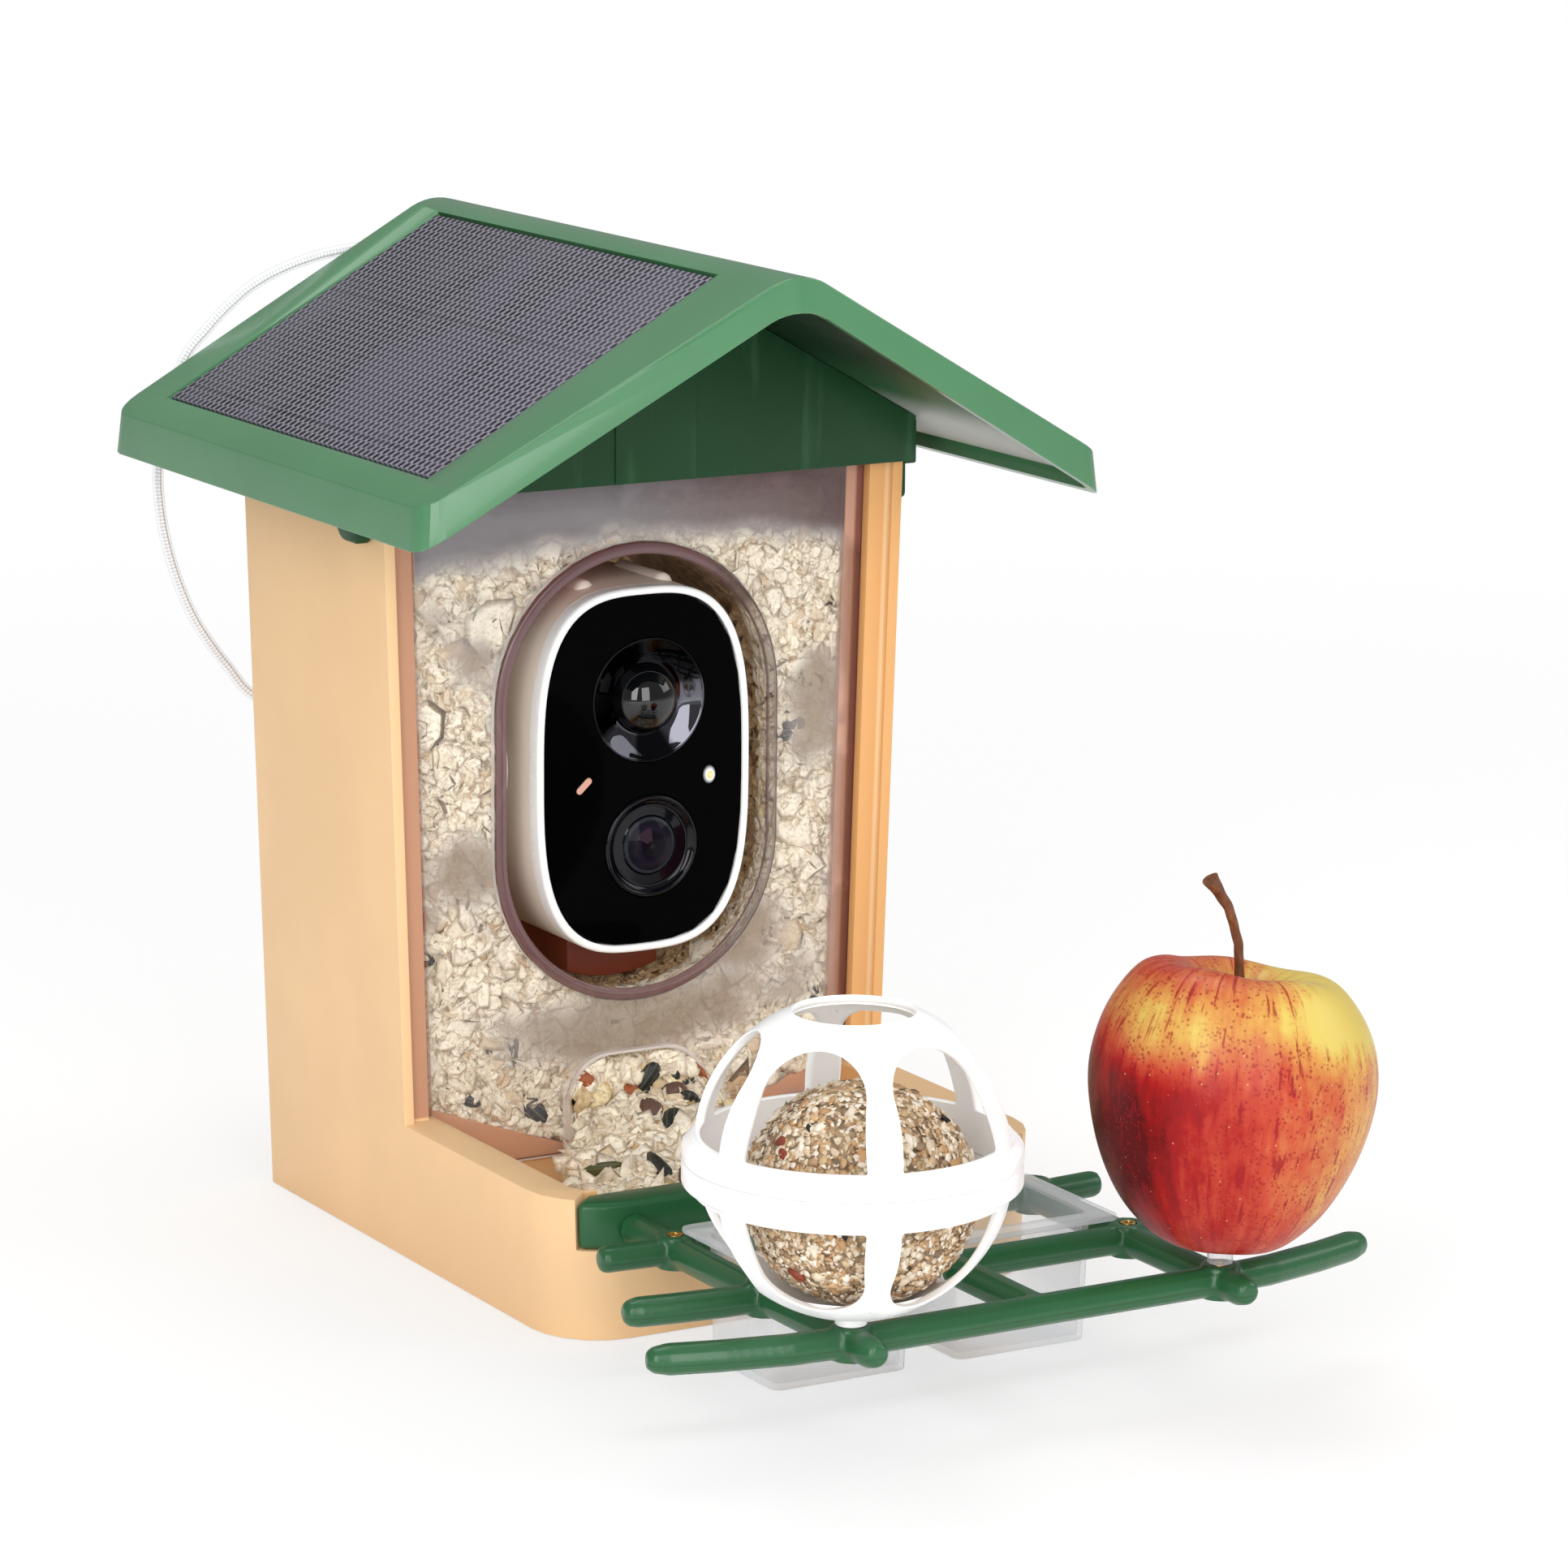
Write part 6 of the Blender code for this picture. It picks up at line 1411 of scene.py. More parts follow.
# Larger pieces in the heap: the piece's name, its finish with its two colours, then how many
# there are, their length, their width and thickness as shares of it, and how high they stand
HEAP_KINDS = (
    (
        ("heap_sunflower", dark_hulls, "dark_hulls", "20241F", "77766B"),
        (26, 0.0118, (0.45, 0.60), (0.26, 0.36), 0.0028),
    ),
    (
        ("heap_pumpkin", green_hulls, "green_hulls", "4A4A26", "75713A"),
        (9, 0.0118, (0.45, 0.55), (0.18, 0.24), 0.0032),
    ),
    (
        ("heap_nuts", nut_finish, "nut_pieces", "D9C094", "9A7548"),
        (24, 0.0085, (0.6, 0.9), (0.5, 0.7), 0.0026),
    ),
    (
        ("heap_fruit", nut_finish, "dried_fruit", "A85A34", "5A2A1C"),
        (7, 0.0075, (0.5, 0.8), (0.4, 0.6), 0.0024),
    ),
    (
        ("heap_raisins", nut_finish, "raisins", "6A4A40", "2C1C18"),
        (6, 0.0115, (0.7, 0.9), (0.55, 0.8), 0.0030),
    ),
    (
        ("heap_flakes", oat_finish, "broad_flakes", "EBD9AE", "B08A55"),
        (12, 0.0105, (0.45, 0.75), (0.07, 0.10), 0.0030),
    ),
)


def make_camera():
    """The camera: shell, bezel, and a black face with its sensor, lens and lamps."""
    white = moulded("bezel_plastic", look("bezel"), 0.28, FINE_GRAIN, 0.4, variety=0.02)
    black = gloss("face_gloss", (0.0010, 0.0010, 0.0012), 0.04, shine=0.015)
    front = CAMERA_FRONT
    bezel = [
        (0.0, front + BEZEL_DEPTH),
        (0.0, front + 0.0012),
        (0.00012, front + 0.0006),
        (0.00045, front + 0.00015),
        (0.0009, front),
        (0.0014, front + 0.00002),
        (BEZEL_WIDTH - 0.0003, front + 0.0002),
        (BEZEL_WIDTH, front + 0.0006),
        (BEZEL_WIDTH, front + BEZEL_DEPTH),
    ]
    grid = lofted(camera_outline, bezel)
    dress("camera_bezel", skin("camera_rim", [(grid, True, True)]), white)
    shell = moulded("shell_plastic", look("shell"), 0.40, variety=0.05)
    dress("camera_shell", shell_mesh(), shell)
    smooth_over("side_cover", shell, "cream_plastic", 0.0002)
    smooth_over("camera_face", black, "black_gloss", 0.0, "gloss_face")
    make_sensor()
    make_lens()
    keep("lens_barrel", black)
    make_lamps()
    saddle = moulded("saddle_rubber", hue("84381F"), 0.5, variety=0.35)
    # A faint glow of the saddle's own colour: painted light.
    saddle.feed({"Emission Color": saddle.fed("Base Color"), "Emission Strength": 0.06})
    smooth_over("camera_saddle", saddle, "grey_rubber", 0.0004)
    keep("main_board", moulded("board_green", hue("1E5B38"), 0.4))
    keep("battery_pack", moulded("battery_wrap", hue("2A4C86"), 0.3))
    keep("solar_junction_box", moulded("junction_plastic", hue("1C1C1E"), 0.45))


def shell_mesh():
    """The camera's shell, open to the front, with two round ribs along its top."""
    front = CAMERA_FRONT
    start = front + BEZEL_DEPTH + 0.0003
    back = front + CAMERA_DEPTH
    wall = 0.0022
    outer = [(0.0, start)]
    outer += [
        (0.006 * (1 - math.cos(a)), back - 0.006 * (1 - math.sin(a)))
        for a in np.linspace(0, math.pi / 2, 9)
    ]
    outer += [(inset, back) for inset in (0.015, 0.03, 0.035)]
    inner = [(inset, back - wall) for inset in (0.035, 0.03, 0.015, 0.0085)]
    inner += [(wall, back - 0.010), (wall, start)]
    grid = lofted(camera_outline, outer + inner)
    grids = [(grid, True, True)]
    share = (2 * RIB_ASIDE / CAMERA_WIDTH) ** CAMERA_ROUNDNESS
    rise = CAMERA_HEIGHT / 2 * (1 - share) ** (1 / CAMERA_ROUNDNESS)
    height = CAMERA_MIDDLE + rise - 0.001
    along = front + 0.011 + RIB_LENGTH * np.linspace(0, 1, 25)
    for aside in (-RIB_ASIDE, RIB_ASIDE):
        route = np.stack([aside + 0 * along, along, height + 0 * along], -1)
        grids.append((capped(along_route(route, rib_radius, 24)), False, True))
    return skin("camera_body", grids, 50)


def rib_radius(gone, angle):
    """A rib's radius: full along its middle, and rounded off over its own radius at both ends."""
    short = 1 - np.minimum(np.minimum(gone, RIB_LENGTH - gone) / RIB_RADIUS, 1)
    return RIB_RADIUS * np.sqrt(np.clip(1 - short**2, 0.02, 1)) + 0 * angle


def make_sensor():
    """The sensor: a dished collar with two bright crescents painted on as reflections, and a
    black dome in it.
    """
    dish = [
        (SENSOR_RADIUS, FACE_THICKNESS),
        (SENSOR_RADIUS, 0.00005),
        (SENSOR_RADIUS - 0.0001, -0.00005),
        (SENSOR_RADIUS - 0.0005, 0.0),
        (SENSOR_RADIUS - 0.0009, 0.00025),
        (SENSOR_RADIUS - 0.0018, 0.0008),
        (0.0150, 0.0017),
        (0.0130, 0.0025),
        (DOME_RADIUS + 0.0011, 0.0030),
        (DOME_RADIUS + 0.0003, 0.0030),
        (DOME_RADIUS + 0.0003, FACE_THICKNESS + 0.0030),
    ]
    black = (0.012, 0.012, 0.014)
    finish = Finish("dish_gloss", black, 0.04, Metallic=1.0)
    spot = finish.spot(place=(SENSOR[0], 0, SENSOR[1]))
    aside, above = finish.part(spot, "X"), finish.part(spot, "Z")
    away = finish.distance(aside, above)
    # Two bright crescents painted into the metal's colour: painted reflections.
    bright = finish.step((aside * 0.93 - above * 0.37) / away, 0.72, 0.86)
    bright = bright + finish.step((aside * -0.57 - above * 0.82) / away, 0.90, 0.95) * 0.6
    finish.feed({"Base Color": finish.blend(bright, black, (0.11, 0.11, 0.13))})
    mesh = skin("sensor_dish", [(spun(dish, SENSOR), True, True)], 60)
    dress("sensor_collar", mesh, finish)
    bulge = [(0.0, -DOME_RISE)]
    bulge += [
        (DOME_RADIUS * math.sin(a), 0.0030 - (DOME_RISE + 0.0030) * math.cos(a))
        for a in np.linspace(0.04, math.pi / 2, 28)
    ]
    bulge += [(DOME_RADIUS, FACE_THICKNESS + 0.0030), (0.0, FACE_THICKNESS + 0.0030)]
    mesh = skin("sensor_bulge", [(spun(bulge, SENSOR), False, True)], 60)
    finish = gloss("dome_gloss", (0.002, 0.002, 0.003), 0.02, shine=0.65)
    dress("sensor_dome", mesh, finish)


def make_lens():
    """The lens: a stepped ring and a domed glass."""
    ring = [
        (LENS_RADIUS, FACE_THICKNESS),
        (LENS_RADIUS, 0.0),
        (LENS_RADIUS - 0.0002, -0.0005),
        (LENS_RADIUS - 0.0006, -0.0008),
        (LENS_RADIUS - 0.0011, -0.0007),
        (LENS_RADIUS - 0.0015, -0.0002),
        (LENS_RADIUS - 0.0019, 0.0004),
        (LENS_RADIUS - 0.0028, 0.0008),
        (LENS_RADIUS - 0.0030, 0.0005),
        (LENS_RADIUS - 0.0034, 0.0005),
        (LENS_RADIUS - 0.0036, 0.0009),
        (LENS_GLASS_RADIUS + 0.0006, 0.0012),
        (LENS_GLASS_RADIUS + 0.0003, 0.0009),
        (LENS_GLASS_RADIUS + 0.0003, FACE_THICKNESS),
    ]
    mesh = skin("lens_rings", [(spun(ring, LENS), True, True)], 50)
    finish = gloss("ring_gloss", (0.002, 0.002, 0.004), 0.05, shine=0.28)
    dress("lens_ring", mesh, finish)
    glass = [(0.0, -0.0012)]
    widest = 0.75
    glass += [
        (
            LENS_GLASS_RADIUS * math.sin(a) / math.sin(widest),
            -0.0012 + 0.0155 * (1 - math.cos(a)) * 0.5,
        )
        for a in np.linspace(0.05, widest, 18)
    ]
    glass += [(LENS_GLASS_RADIUS, FACE_THICKNESS), (0.0, FACE_THICKNESS)]
    mesh = skin("lens_front", [(spun(glass, LENS), False, True)], 60)
    dress("lens_glass", mesh, lens_finish())


def make_lamps():
    """The spotlight, a bead with a yellow middle, and the copper status light."""
    lamp = Finish("lamp_lens", hue("D9D3B0"), 0.12, IOR=1.5)
    place = lamp.spot(place=(SPOTLIGHT[0] - 0.0001, 0, SPOTLIGHT[1]))
    x, z = lamp.part(place, "X"), lamp.part(place, "Z")
    away = lamp.maths("SQRT", x * x * 1.6 + z * z) / SPOTLIGHT_HEIGHT
    tones = zip((0.0, 0.35, 0.5, 0.8, 1.0), ("FFF6C0", "D8C46A", "F4F4EE", "8C8F90", "33383A"))
    tone = lamp.ramp(away, [(share, hue(digits)) for share, digits in tones])
    lamp.feed({"Base Color": tone, "Emission Color": tone, "Emission Strength": 0.12})
    shares = (1e-4, 0.4, 0.75, 0.95, 1.0, 1.0, 1e-4)
    depths = (0.0004, 0.0005, 0.0007, 0.0010, 0.0014, 0.0030, 0.0030)
    angle = even_angles(40)

    def oval(share):
        x = SPOTLIGHT[0] + SPOTLIGHT_WIDTH * share * np.cos(angle)
        return np.stack([x, SPOTLIGHT[1] + SPOTLIGHT_HEIGHT * share * np.sin(angle)], -1)

    stations = [(share, CAMERA_FRONT + depth) for share, depth in zip(shares, depths)]
    mesh = skin("lamp_bead", [(lofted(oval, stations), False, True)], 60)
    dress("spotlight", mesh, lamp)
    copper = gloss("copper_light", hue("D9A692"), 0.22)
    smooth_over("status_light", copper, "copper_light", 0.0002)


def lens_finish():
    """The lens from its middle out: a dark pupil, a faint purple wedge painted as a reflection
    off the coating, then a grey ring.
    """
    finish = Finish("lens_coating", (0.01, 0.01, 0.02), 0.03, IOR=1.6)
    place = finish.spot(place=(LENS[0], 0, LENS[1]))
    x, z = finish.part(place, "X"), finish.part(place, "Z")
    away = finish.distance(x, z) / LENS_GLASS_RADIUS
    stops = [
        (0.0, (0.02, 0.02, 0.02)),
        (0.10, (0.005, 0.004, 0.006)),
        (0.45, (0.006, 0.004, 0.009)),
        (0.62, (0.012, 0.009, 0.018)),
        (0.86, (0.006, 0.006, 0.009)),
        (0.92, (0.028, 0.030, 0.040)),
        (1.0, (0.02, 0.02, 0.03)),
    ]
    tone = finish.ramp(away, stops)
    angle = finish.maths("ARCTAN2", z, x)
    # A purple wedge at the upper left: a painted reflection off the coating.
    wedge = finish.step(angle, 1.55, 1.65) * finish.step(angle, 2.7, 2.6)
    wedge = wedge * finish.step(away, 0.18, 0.22) * finish.step(away, 0.66, 0.62)
    finish.feed({"Base Color": finish.blend(wedge * 0.7, tone, hue("3A2A33"))})
    finish.feed({"Roughness": finish.noise(0.004) * 0.02 + 0.02, "Specular IOR Level": 0.05})
    return finish


def make_roof():
    """The green roof with its gables and rails in a much darker green, painted shade under the
    roof, its lining, and the solar panel.
    """
    green = moulded("roof_plastic", look("roof"), 0.34, variety=0.08, sheen=0.40)
    # The gables and rails are the roof's green plastic, painted much darker: painted shade under
    # the roof.
    dark = moulded("gable_plastic", look("gable"), 0.40, variety=0.12)
    dark.feed({"Specular IOR Level": 0.22})
    streaks = dark.step(dark.noise(0.006, 3, spot=dark.spot(scale=(1, 1, 9))), 0.55, 0.75)
    dark.feed({"Base Color": dark.blend(streaks * 0.22, dark.fed("Base Color"), hue("4B7A58"))})
    smooth_over("roof_shell", green, "roof_green_plastic", 0.0005, "roof_cover", soft=0.0030)
    smooth_over("roof_liner", lining_finish(), "roof_green_plastic", 0.0004)
    for end in ("front", "rear"):
        smooth_over(f"{end}_gable", dark, "dark_green_plastic", 0.0004, f"gable_{end}")
    for side in ("left", "right"):
        smooth_over(f"roof_rail_{side}", dark, "dark_green_plastic", 0.0007, f"rail_{side}")
    smooth_over("solar_panel", solar_finish(), "solar_cells", 0.0002, "solar_sheet")


def lining_finish():
    """The lining: lit more to the right, where it is seen under the eave, and smeared."""
    lining = moulded("liner_plastic", hue("1E4127"), 0.42)
    lining.feed({"Specular IOR Level": 0.15})
    across = lining.part(lining.spot(), "X")
    shade = lining.blend(lining.step(across, 0.040, 0.070), hue("102A17"), hue("2C5538"))
    shade = lining.blend(lining.step(across, 0.066, 0.088), shade, hue("A9AEA9"))
    smear = lining.step(lining.noise(0.006, 3, spot=lining.spot(scale=(1, 4, 1))), 0.60, 0.80)
    lining.feed({"Base Color": lining.blend(smear * 0.18, shade, hue("5E6C62"))})
    return lining


def solar_finish():
    """The solar panel: rows of slots, every other row shifted by half a slot, in square cells
    with darker seams. The tone follows the relief's height, so the slots and each row's sides
    carry painted shade."""
    cells = look("cells")
    solar = Finish("solar_weave", cells, 0.38, IOR=1.5)
    rib = sizes().solar_rib
    place = solar.spot(turn=(0, -ROOF_PITCH, 0))
    along, down = solar.part(place, "Y"), solar.part(place, "X")
    row = solar.wave(down * (math.tau / (2 * rib)))
    hole = solar.step(row * solar.wave(along * (math.tau / (1.187 * rib))), -0.28, 0.40)
    # Colour follows the relief's height: painted shade in the slots and on each row's sides.
    height = (1 - hole) * (1 - row * row * 0.36)
    seam = solar.step(solar.maths("PINGPONG", along + 0.009, 0.0315), 0.0006, 0.0002)
    seam = seam + solar.step(solar.maths("PINGPONG", down + 0.013, 0.026), 0.0006, 0.0002)
    tone = solar.blend(height, hue("060608"), cells)
    tone = solar.blend(seam * 0.35, tone, hue("15141A"))
    drift = solar.step(solar.noise(0.03, 2), 0.35, 0.7)
    tone = solar.blend(drift * 0.25, tone, deeper(cells, 0.6))
    solar.feed({"Base Color": tone, "Roughness": 0.55 - height * 0.18, "Specular IOR Level": 0.2})
    solar.relief(height, 0.0005, 0.9)
    return solar


def make_perch():
    """The perch's bar, its twigs with the mould's parting line, the inserts and the clear cups."""
    finish = moulded("perch_plastic", look("perch"), 0.33, sheen=0.12)
    finish.feed({"Specular IOR Level": 0.4})
    smooth_over("perch_bar", finish, "dark_green_plastic", 0.0006, "bar_in_notch")
    finish = moulded("twig_plastic", look("perch"), 0.33, sheen=0.15)
    away = finish.maths("ABSOLUTE", finish.part(finish.spot(), "Z") - PARTING_LEVEL)
    line = finish.step(away, 0.00022, 0.00010)
    tone = finish.blend(line * 0.6, finish.fed("Base Color"), hue("153B20"))
    finish.feed({"Base Color": tone})
    mesh = softened("perch_frame", "twig_frame", 0.00065, 5)
    dress("perch_frame", mesh, finish)
    brass = Finish("insert_brass", hue("D9B25F"), 0.28, Metallic=1.0)
    brass.feed({"Roughness": brass.noise(0.0008) * 0.2 + 0.2})
    brass.feed({"Base Color": brass.blend(brass.noise(0.002), hue("B98D3F"), hue("E6C475"))})
    for number in range(1, 7):
        smooth_over(f"thread_insert_{number}", brass, "brass", 0.0001)
    cup = clear_plastic("cup_plastic", hue("F4F6FA"), 0.09, 0.75, 0.05, 0.06)
    for side in ("left", "right"):
        smooth_over(f"cup_{side}", cup, "clear_plastic", 0.0004, f"clear_cup_{side}")


def evened(outline, number, width):
    """A closed outline at even steps, its corners rounded by a running mean of the given width."""
    closed = np.vstack([outline, outline[:1]])
    gone = way_gone(closed)
    at = np.linspace(0, gone[-1], 4 * number, endpoint=False)
    loop = np.stack([np.interp(at, gone, closed[:, axis]) for axis in (0, 1)], -1)
    reach = max(1, round(width / (at[1] - at[0])))
    loop = sum(np.roll(loop, shift, 0) for shift in range(-reach, reach + 1)) / (2 * reach + 1)
    return loop[::4]


def cage_patches(low, sign):
    """Six pieces of a half cage's wall, each a round-edged frame about one opening. The opening is
    drawn flat, straight at the band and arched at its far end, and the wall's two skins run out
    from it to the sector's edges."""
    half = math.sin(CAGE_OPENING / 2)
    tail = CAGE_RADIUS * math.sin(CAGE_OPENING_END)
    shoulder = tail - CAGE_OPENING_ARCH
    base = math.sqrt(CAGE_RADIUS**2 - low**2) * half
    top = math.sqrt(CAGE_RADIUS**2 - shoulder**2) * half
    turn = np.linspace(0, math.pi, 25)
    across = top * np.cos(turn) * (1 - 0.06 * np.sin(turn))
    arch = np.stack([across, shoulder + CAGE_OPENING_ARCH * np.sin(turn)], -1)
    loop = evened(np.vstack([[(0, low), (base, low)], arch, [(-base, low)]]), 120, 0.0008)
    run = np.roll(loop, -1, 0) - np.roll(loop, 1, 0)
    outward = unit(np.stack([run[:, 1], -run[:, 0]], -1))
    inner = CAGE_RADIUS - CAGE_WALL
    lowest = math.asin((low - 0.0030) / CAGE_RADIUS)
    bends = np.linspace(0, math.pi / 2, 6)
    rows = [(CAGE_RADIUS, CAGE_LIP, share) for share in (1, 0.6, 0.3, 0.1, 0)]
    lip = [(CAGE_LIP * (1 - math.cos(b)), CAGE_LIP * (1 - math.sin(b))) for b in bends]
    rows += [(CAGE_RADIUS - depth, off, 0) for depth, off in lip[1:]]
    rows += [(inner + depth, off, 0) for depth, off in lip[:0:-1]]
    rows += [(inner, CAGE_LIP, share) for share in (0, 0.1, 0.3, 0.6, 1)]
    grid = []
    for radius, off, share in rows:
        x, z = (loop + outward * off).T
        place = np.stack([np.arcsin(x / np.sqrt(radius**2 - z**2)), np.arcsin(z / radius)], -1)
        middle = np.array([0, place[:, 1].mean()])
        away = place - middle
        ends = np.where(away[:, 1] > 0, CAGE_WALL_END, lowest) - middle[1]
        sideways = math.pi / CAGE_SECTORS / np.maximum(abs(away[:, 0]), 1e-9)
        reach = np.minimum(sideways, ends / np.where(away[:, 1], away[:, 1], 1e-9))
        across, up = (middle + away * (1 + (reach[:, None] - 1) * share)).T
        level = radius * np.cos(up)
        x, y = level * np.sin(across), -level * np.cos(across)
        grid.append(np.stack([x, y, sign * radius * np.sin(up)], -1))
    x, y, z = np.moveaxis(np.array(grid), -1, 0)
    patches = []
    for sector in range(CAGE_SECTORS):
        angle = CAGE_TURN + math.tau * sector / CAGE_SECTORS
        cosine, sine = math.cos(angle), math.sin(angle)
        patch = np.stack([x * cosine - y * sine, x * sine + y * cosine, z], -1)
        patches.append(patch + np.array(CAGE_PLACE))
    return patches


def arc(radius, start, end, steps):
    """Points (radius, height) on a circle about the cage's middle, between two elevations."""
    return [
        (radius * math.cos(a), CAGE_PLACE[2] + radius * math.sin(a))
        for a in np.linspace(start, end, steps)
    ]


def s_curve(start, end):
    """Nine steps from one radius to another, slow at both ends."""
    return [
        start + (end - start) * (1 - math.cos(math.pi * b)) / 2 for b in np.linspace(0, 1, 9)
    ]


def cage_rings(sign):
    """The turned parts of a half cage: its band with the bayonet's skirt or groove, and its end
    ring or foot."""
    outer, inner, band, middle = CAGE_RADIUS, CAGE_RADIUS - CAGE_WALL, CAGE_BAND, CAGE_PLACE[2]
    skirt = inner + SKIRT_WALL
    joint = 0.00005
    lip = [(band, 0.0007), (band - 0.0002, 0.0002), (band - 0.0006, joint)]
    lip = [(radius, middle + sign * gap) for radius, gap in lip]
    if sign > 0:
        top = middle + CAGE_BAND_UP - LAP
        start = math.sqrt(outer**2 - CAGE_BAND_UP**2) - LAP
        heights = top - CAGE_FLARE * np.linspace(0, 1, 9)
        flare = list(zip(s_curve(start, band), heights))
        foot = middle - SKIRT_DEPTH
        under = [(skirt, middle + joint), (skirt, foot), (inner - joint, foot)]
        close = arc(inner - joint, 0, math.asin((CAGE_BAND_UP - LAP) / inner), 8)
        ring_end, inner_end = (math.acos(CAGE_TOP_RADIUS / radius) for radius in (outer, inner))
        high = middle + outer * math.sin(ring_end) - 0.0001
        low = middle + inner * math.sin(inner_end) + 0.0001
        rim = [
            (CAGE_TOP_RADIUS + 0.0008 * (1 - math.sin(turn)), height)
            for turn, height in zip(np.linspace(0.2, 1, 5) * math.pi, np.linspace(high, low, 5))
        ]
        cap = arc(outer, CAGE_WALL_END, ring_end - 0.02, 14) + rim
        cap += arc(inner, inner_end - 0.02, CAGE_WALL_END, 14)
        return flare + lip + under + close, cap
    groove = skirt + LAP
    start = math.sqrt(outer**2 - CAGE_BAND_DOWN**2) - LAP
    heights = middle + CAGE_TAPER - CAGE_BAND_DOWN - (CAGE_TAPER - LAP) * np.linspace(0, 1, 9)
    slope = list(zip(s_curve(band, start), heights))
    lip = [(groove, middle - joint), *lip[::-1]]
    ledge = -SKIRT_DEPTH - LAP
    low = -math.asin((CAGE_BAND_DOWN - LAP) / inner)
    close = arc(inner - joint, low, math.asin(ledge / inner), 6)
    foot = arc(outer, -CAGE_WALL_END, -math.acos((CAGE_POST_RADIUS + 0.0012) / outer), 16)
    neck = foot[-1][1]
    foot += [
        (CAGE_POST_RADIUS + 0.0012 * (1 - math.sin(a)), neck - 0.0010 * (1 - math.cos(a)))
        for a in np.linspace(0.3, math.pi / 2, 6)
    ]
    foot += [
        (CAGE_POST_RADIUS, CAGE_POST_BOTTOM + 0.0003),
        (CAGE_POST_RADIUS - 0.0003, CAGE_POST_BOTTOM),
        (CAGE_STUD_RADIUS, CAGE_POST_BOTTOM),
        (CAGE_STUD_RADIUS, CAGE_STUD_BOTTOM),
        (1e-7, CAGE_STUD_BOTTOM),
    ]
    bowl = arc(inner, -math.pi / 2 + 1e-6, -CAGE_WALL_END, 24)
    return lip + slope + close + [(groove, middle + ledge)], foot + bowl


def make_cage():
    """The cage's two halves and the fat ball in it."""
    finish = moulded("cage_plastic", look("bezel"), 0.34, FINE_GRAIN, 0.2, variety=0.02)
    for half, sign, low in (("upper", 1, CAGE_BAND_UP), ("lower", -1, CAGE_BAND_DOWN)):
        grids = cage_patches(low, sign)
        grids += [turned(profile, CAGE_PLACE[:2]) for profile in cage_rings(sign)]
        mesh = skin(f"ball_cage_{half}", [(grid, True, True) for grid in grids], 44, 0)
        dress(f"cage_{half}", mesh, finish)
    make_ball()


def make_ball():
    """The fat ball, a little wider than high: a lumpy core under crumbs, berries and hulls."""
    fat = look("fat")
    angle = even_angles(96)
    tilt = np.linspace(0, math.pi, 64)[:, None]
    level = np.sin(tilt)
    x, y, z = level * np.cos(angle), level * np.sin(angle), np.cos(tilt) + 0 * angle
    direction = np.stack([x, y, z], -1)
    radius = BALL_RADIUS - 0.0013 + 0.0005 * np.sin(9 * x + 4 * z) * np.cos(8 * y)
    middle = np.array(BALL_PLACE)
    wide = np.array([BALL_SPREAD, BALL_SPREAD, 1.0])
    grid = middle + direction * radius[..., None] * wide
    core = Finish("pressed_fat", fat, 0.7)
    grains = core.cells(0.0022)
    stops = [(0.0, deeper(fat, 0.35)), (0.4, fat), (0.8, hue("D8C29B")), (1.0, hue("EEE1C4"))]
    tone = core.ramp(core.cells(0.0022, output=1), stops)
    core.feed({"Base Color": core.blend(core.step(grains, 0.4, 0.8), tone, deeper(fat, 0.4))})
    core.relief(1 - grains, 0.0008, 0.9)
    dress("fat_ball", skin("ball_core", [(grid, False, True)], 180), core)

    rng = np.random.default_rng(51)
    number = sizes().ball_grains
    facing = unit(rng.normal(0, 1, (number, 3)))
    radius = BALL_RADIUS - 0.0012 + rng.uniform(-0.0003, 0.0005, number)
    spots = middle + facing * radius[:, None] * wide

    def in_ball(world):
        away = (world - middle) / wide
        far = np.linalg.norm(away, axis=-1, keepdims=True)
        return middle + away * np.minimum(1, (BALL_RADIUS + 0.0002) / far) * wide

    crumbs = Finish("fat_crumbs", fat, 0.6)
    places = (0.0, 0.30, 0.58, 0.76, 0.88, 1.0)
    tones = ("FAF1E3", "EADBC4", "D3BA98", "C99A66", "A98B6A", "6E5846")
    tone = crumbs.ramp(crumbs.own("tint"), list(zip(places, map(hue, tones))))
    fine = crumbs.noise(0.0006, 3)
    tone = crumbs.blend(fine * 0.3, tone, deeper(fat, 0.6))
    crumbs.feed({"Base Color": tone, "Roughness": fine * 0.3 + 0.4})
    # A faint glow of the crumbs' own tone: painted light.
    crumbs.feed({"Emission Color": tone, "Emission Strength": 0.06})
    crumbs.relief(fine, 0.0002, 0.8)
    size_of = measures(rng, number, 0.0019, (0.5, 0.95), (0.16, 0.30), 0.38)
    tilted = facing + rng.normal(0, 0.22, (number, 3))
    in_two = ("ball_crumbs", 52), ("ball_crumbs_more", 55)
    home = "cage", "fat_ball"
    for part, (name, seed) in zip(halves(number), in_two):
        three = spots[part], tilted[part], size_of[part]
        scattered(name, *three, crumbs, seed, CRUMB, in_ball, *home, tone=(0, 1))
    in_it = ("ball_berries", "8A3820", 12, 53), ("ball_hulls", "17191A", 11, 54)
    for name, digits, number, seed in in_it:
        facing = unit(rng.normal(0, 1, (number, 3)))
        spots = middle + facing * (BALL_RADIUS - 0.0008) * wide
        size_of = measures(rng, number, 0.0029, (0.45, 0.8), (0.25, 0.4), 0.25)
        finish = nut_finish(name, hue(digits), deeper(hue(digits), 0.4))
        scattered(name, spots, facing, size_of, finish, seed, BERRY, in_ball, *home)


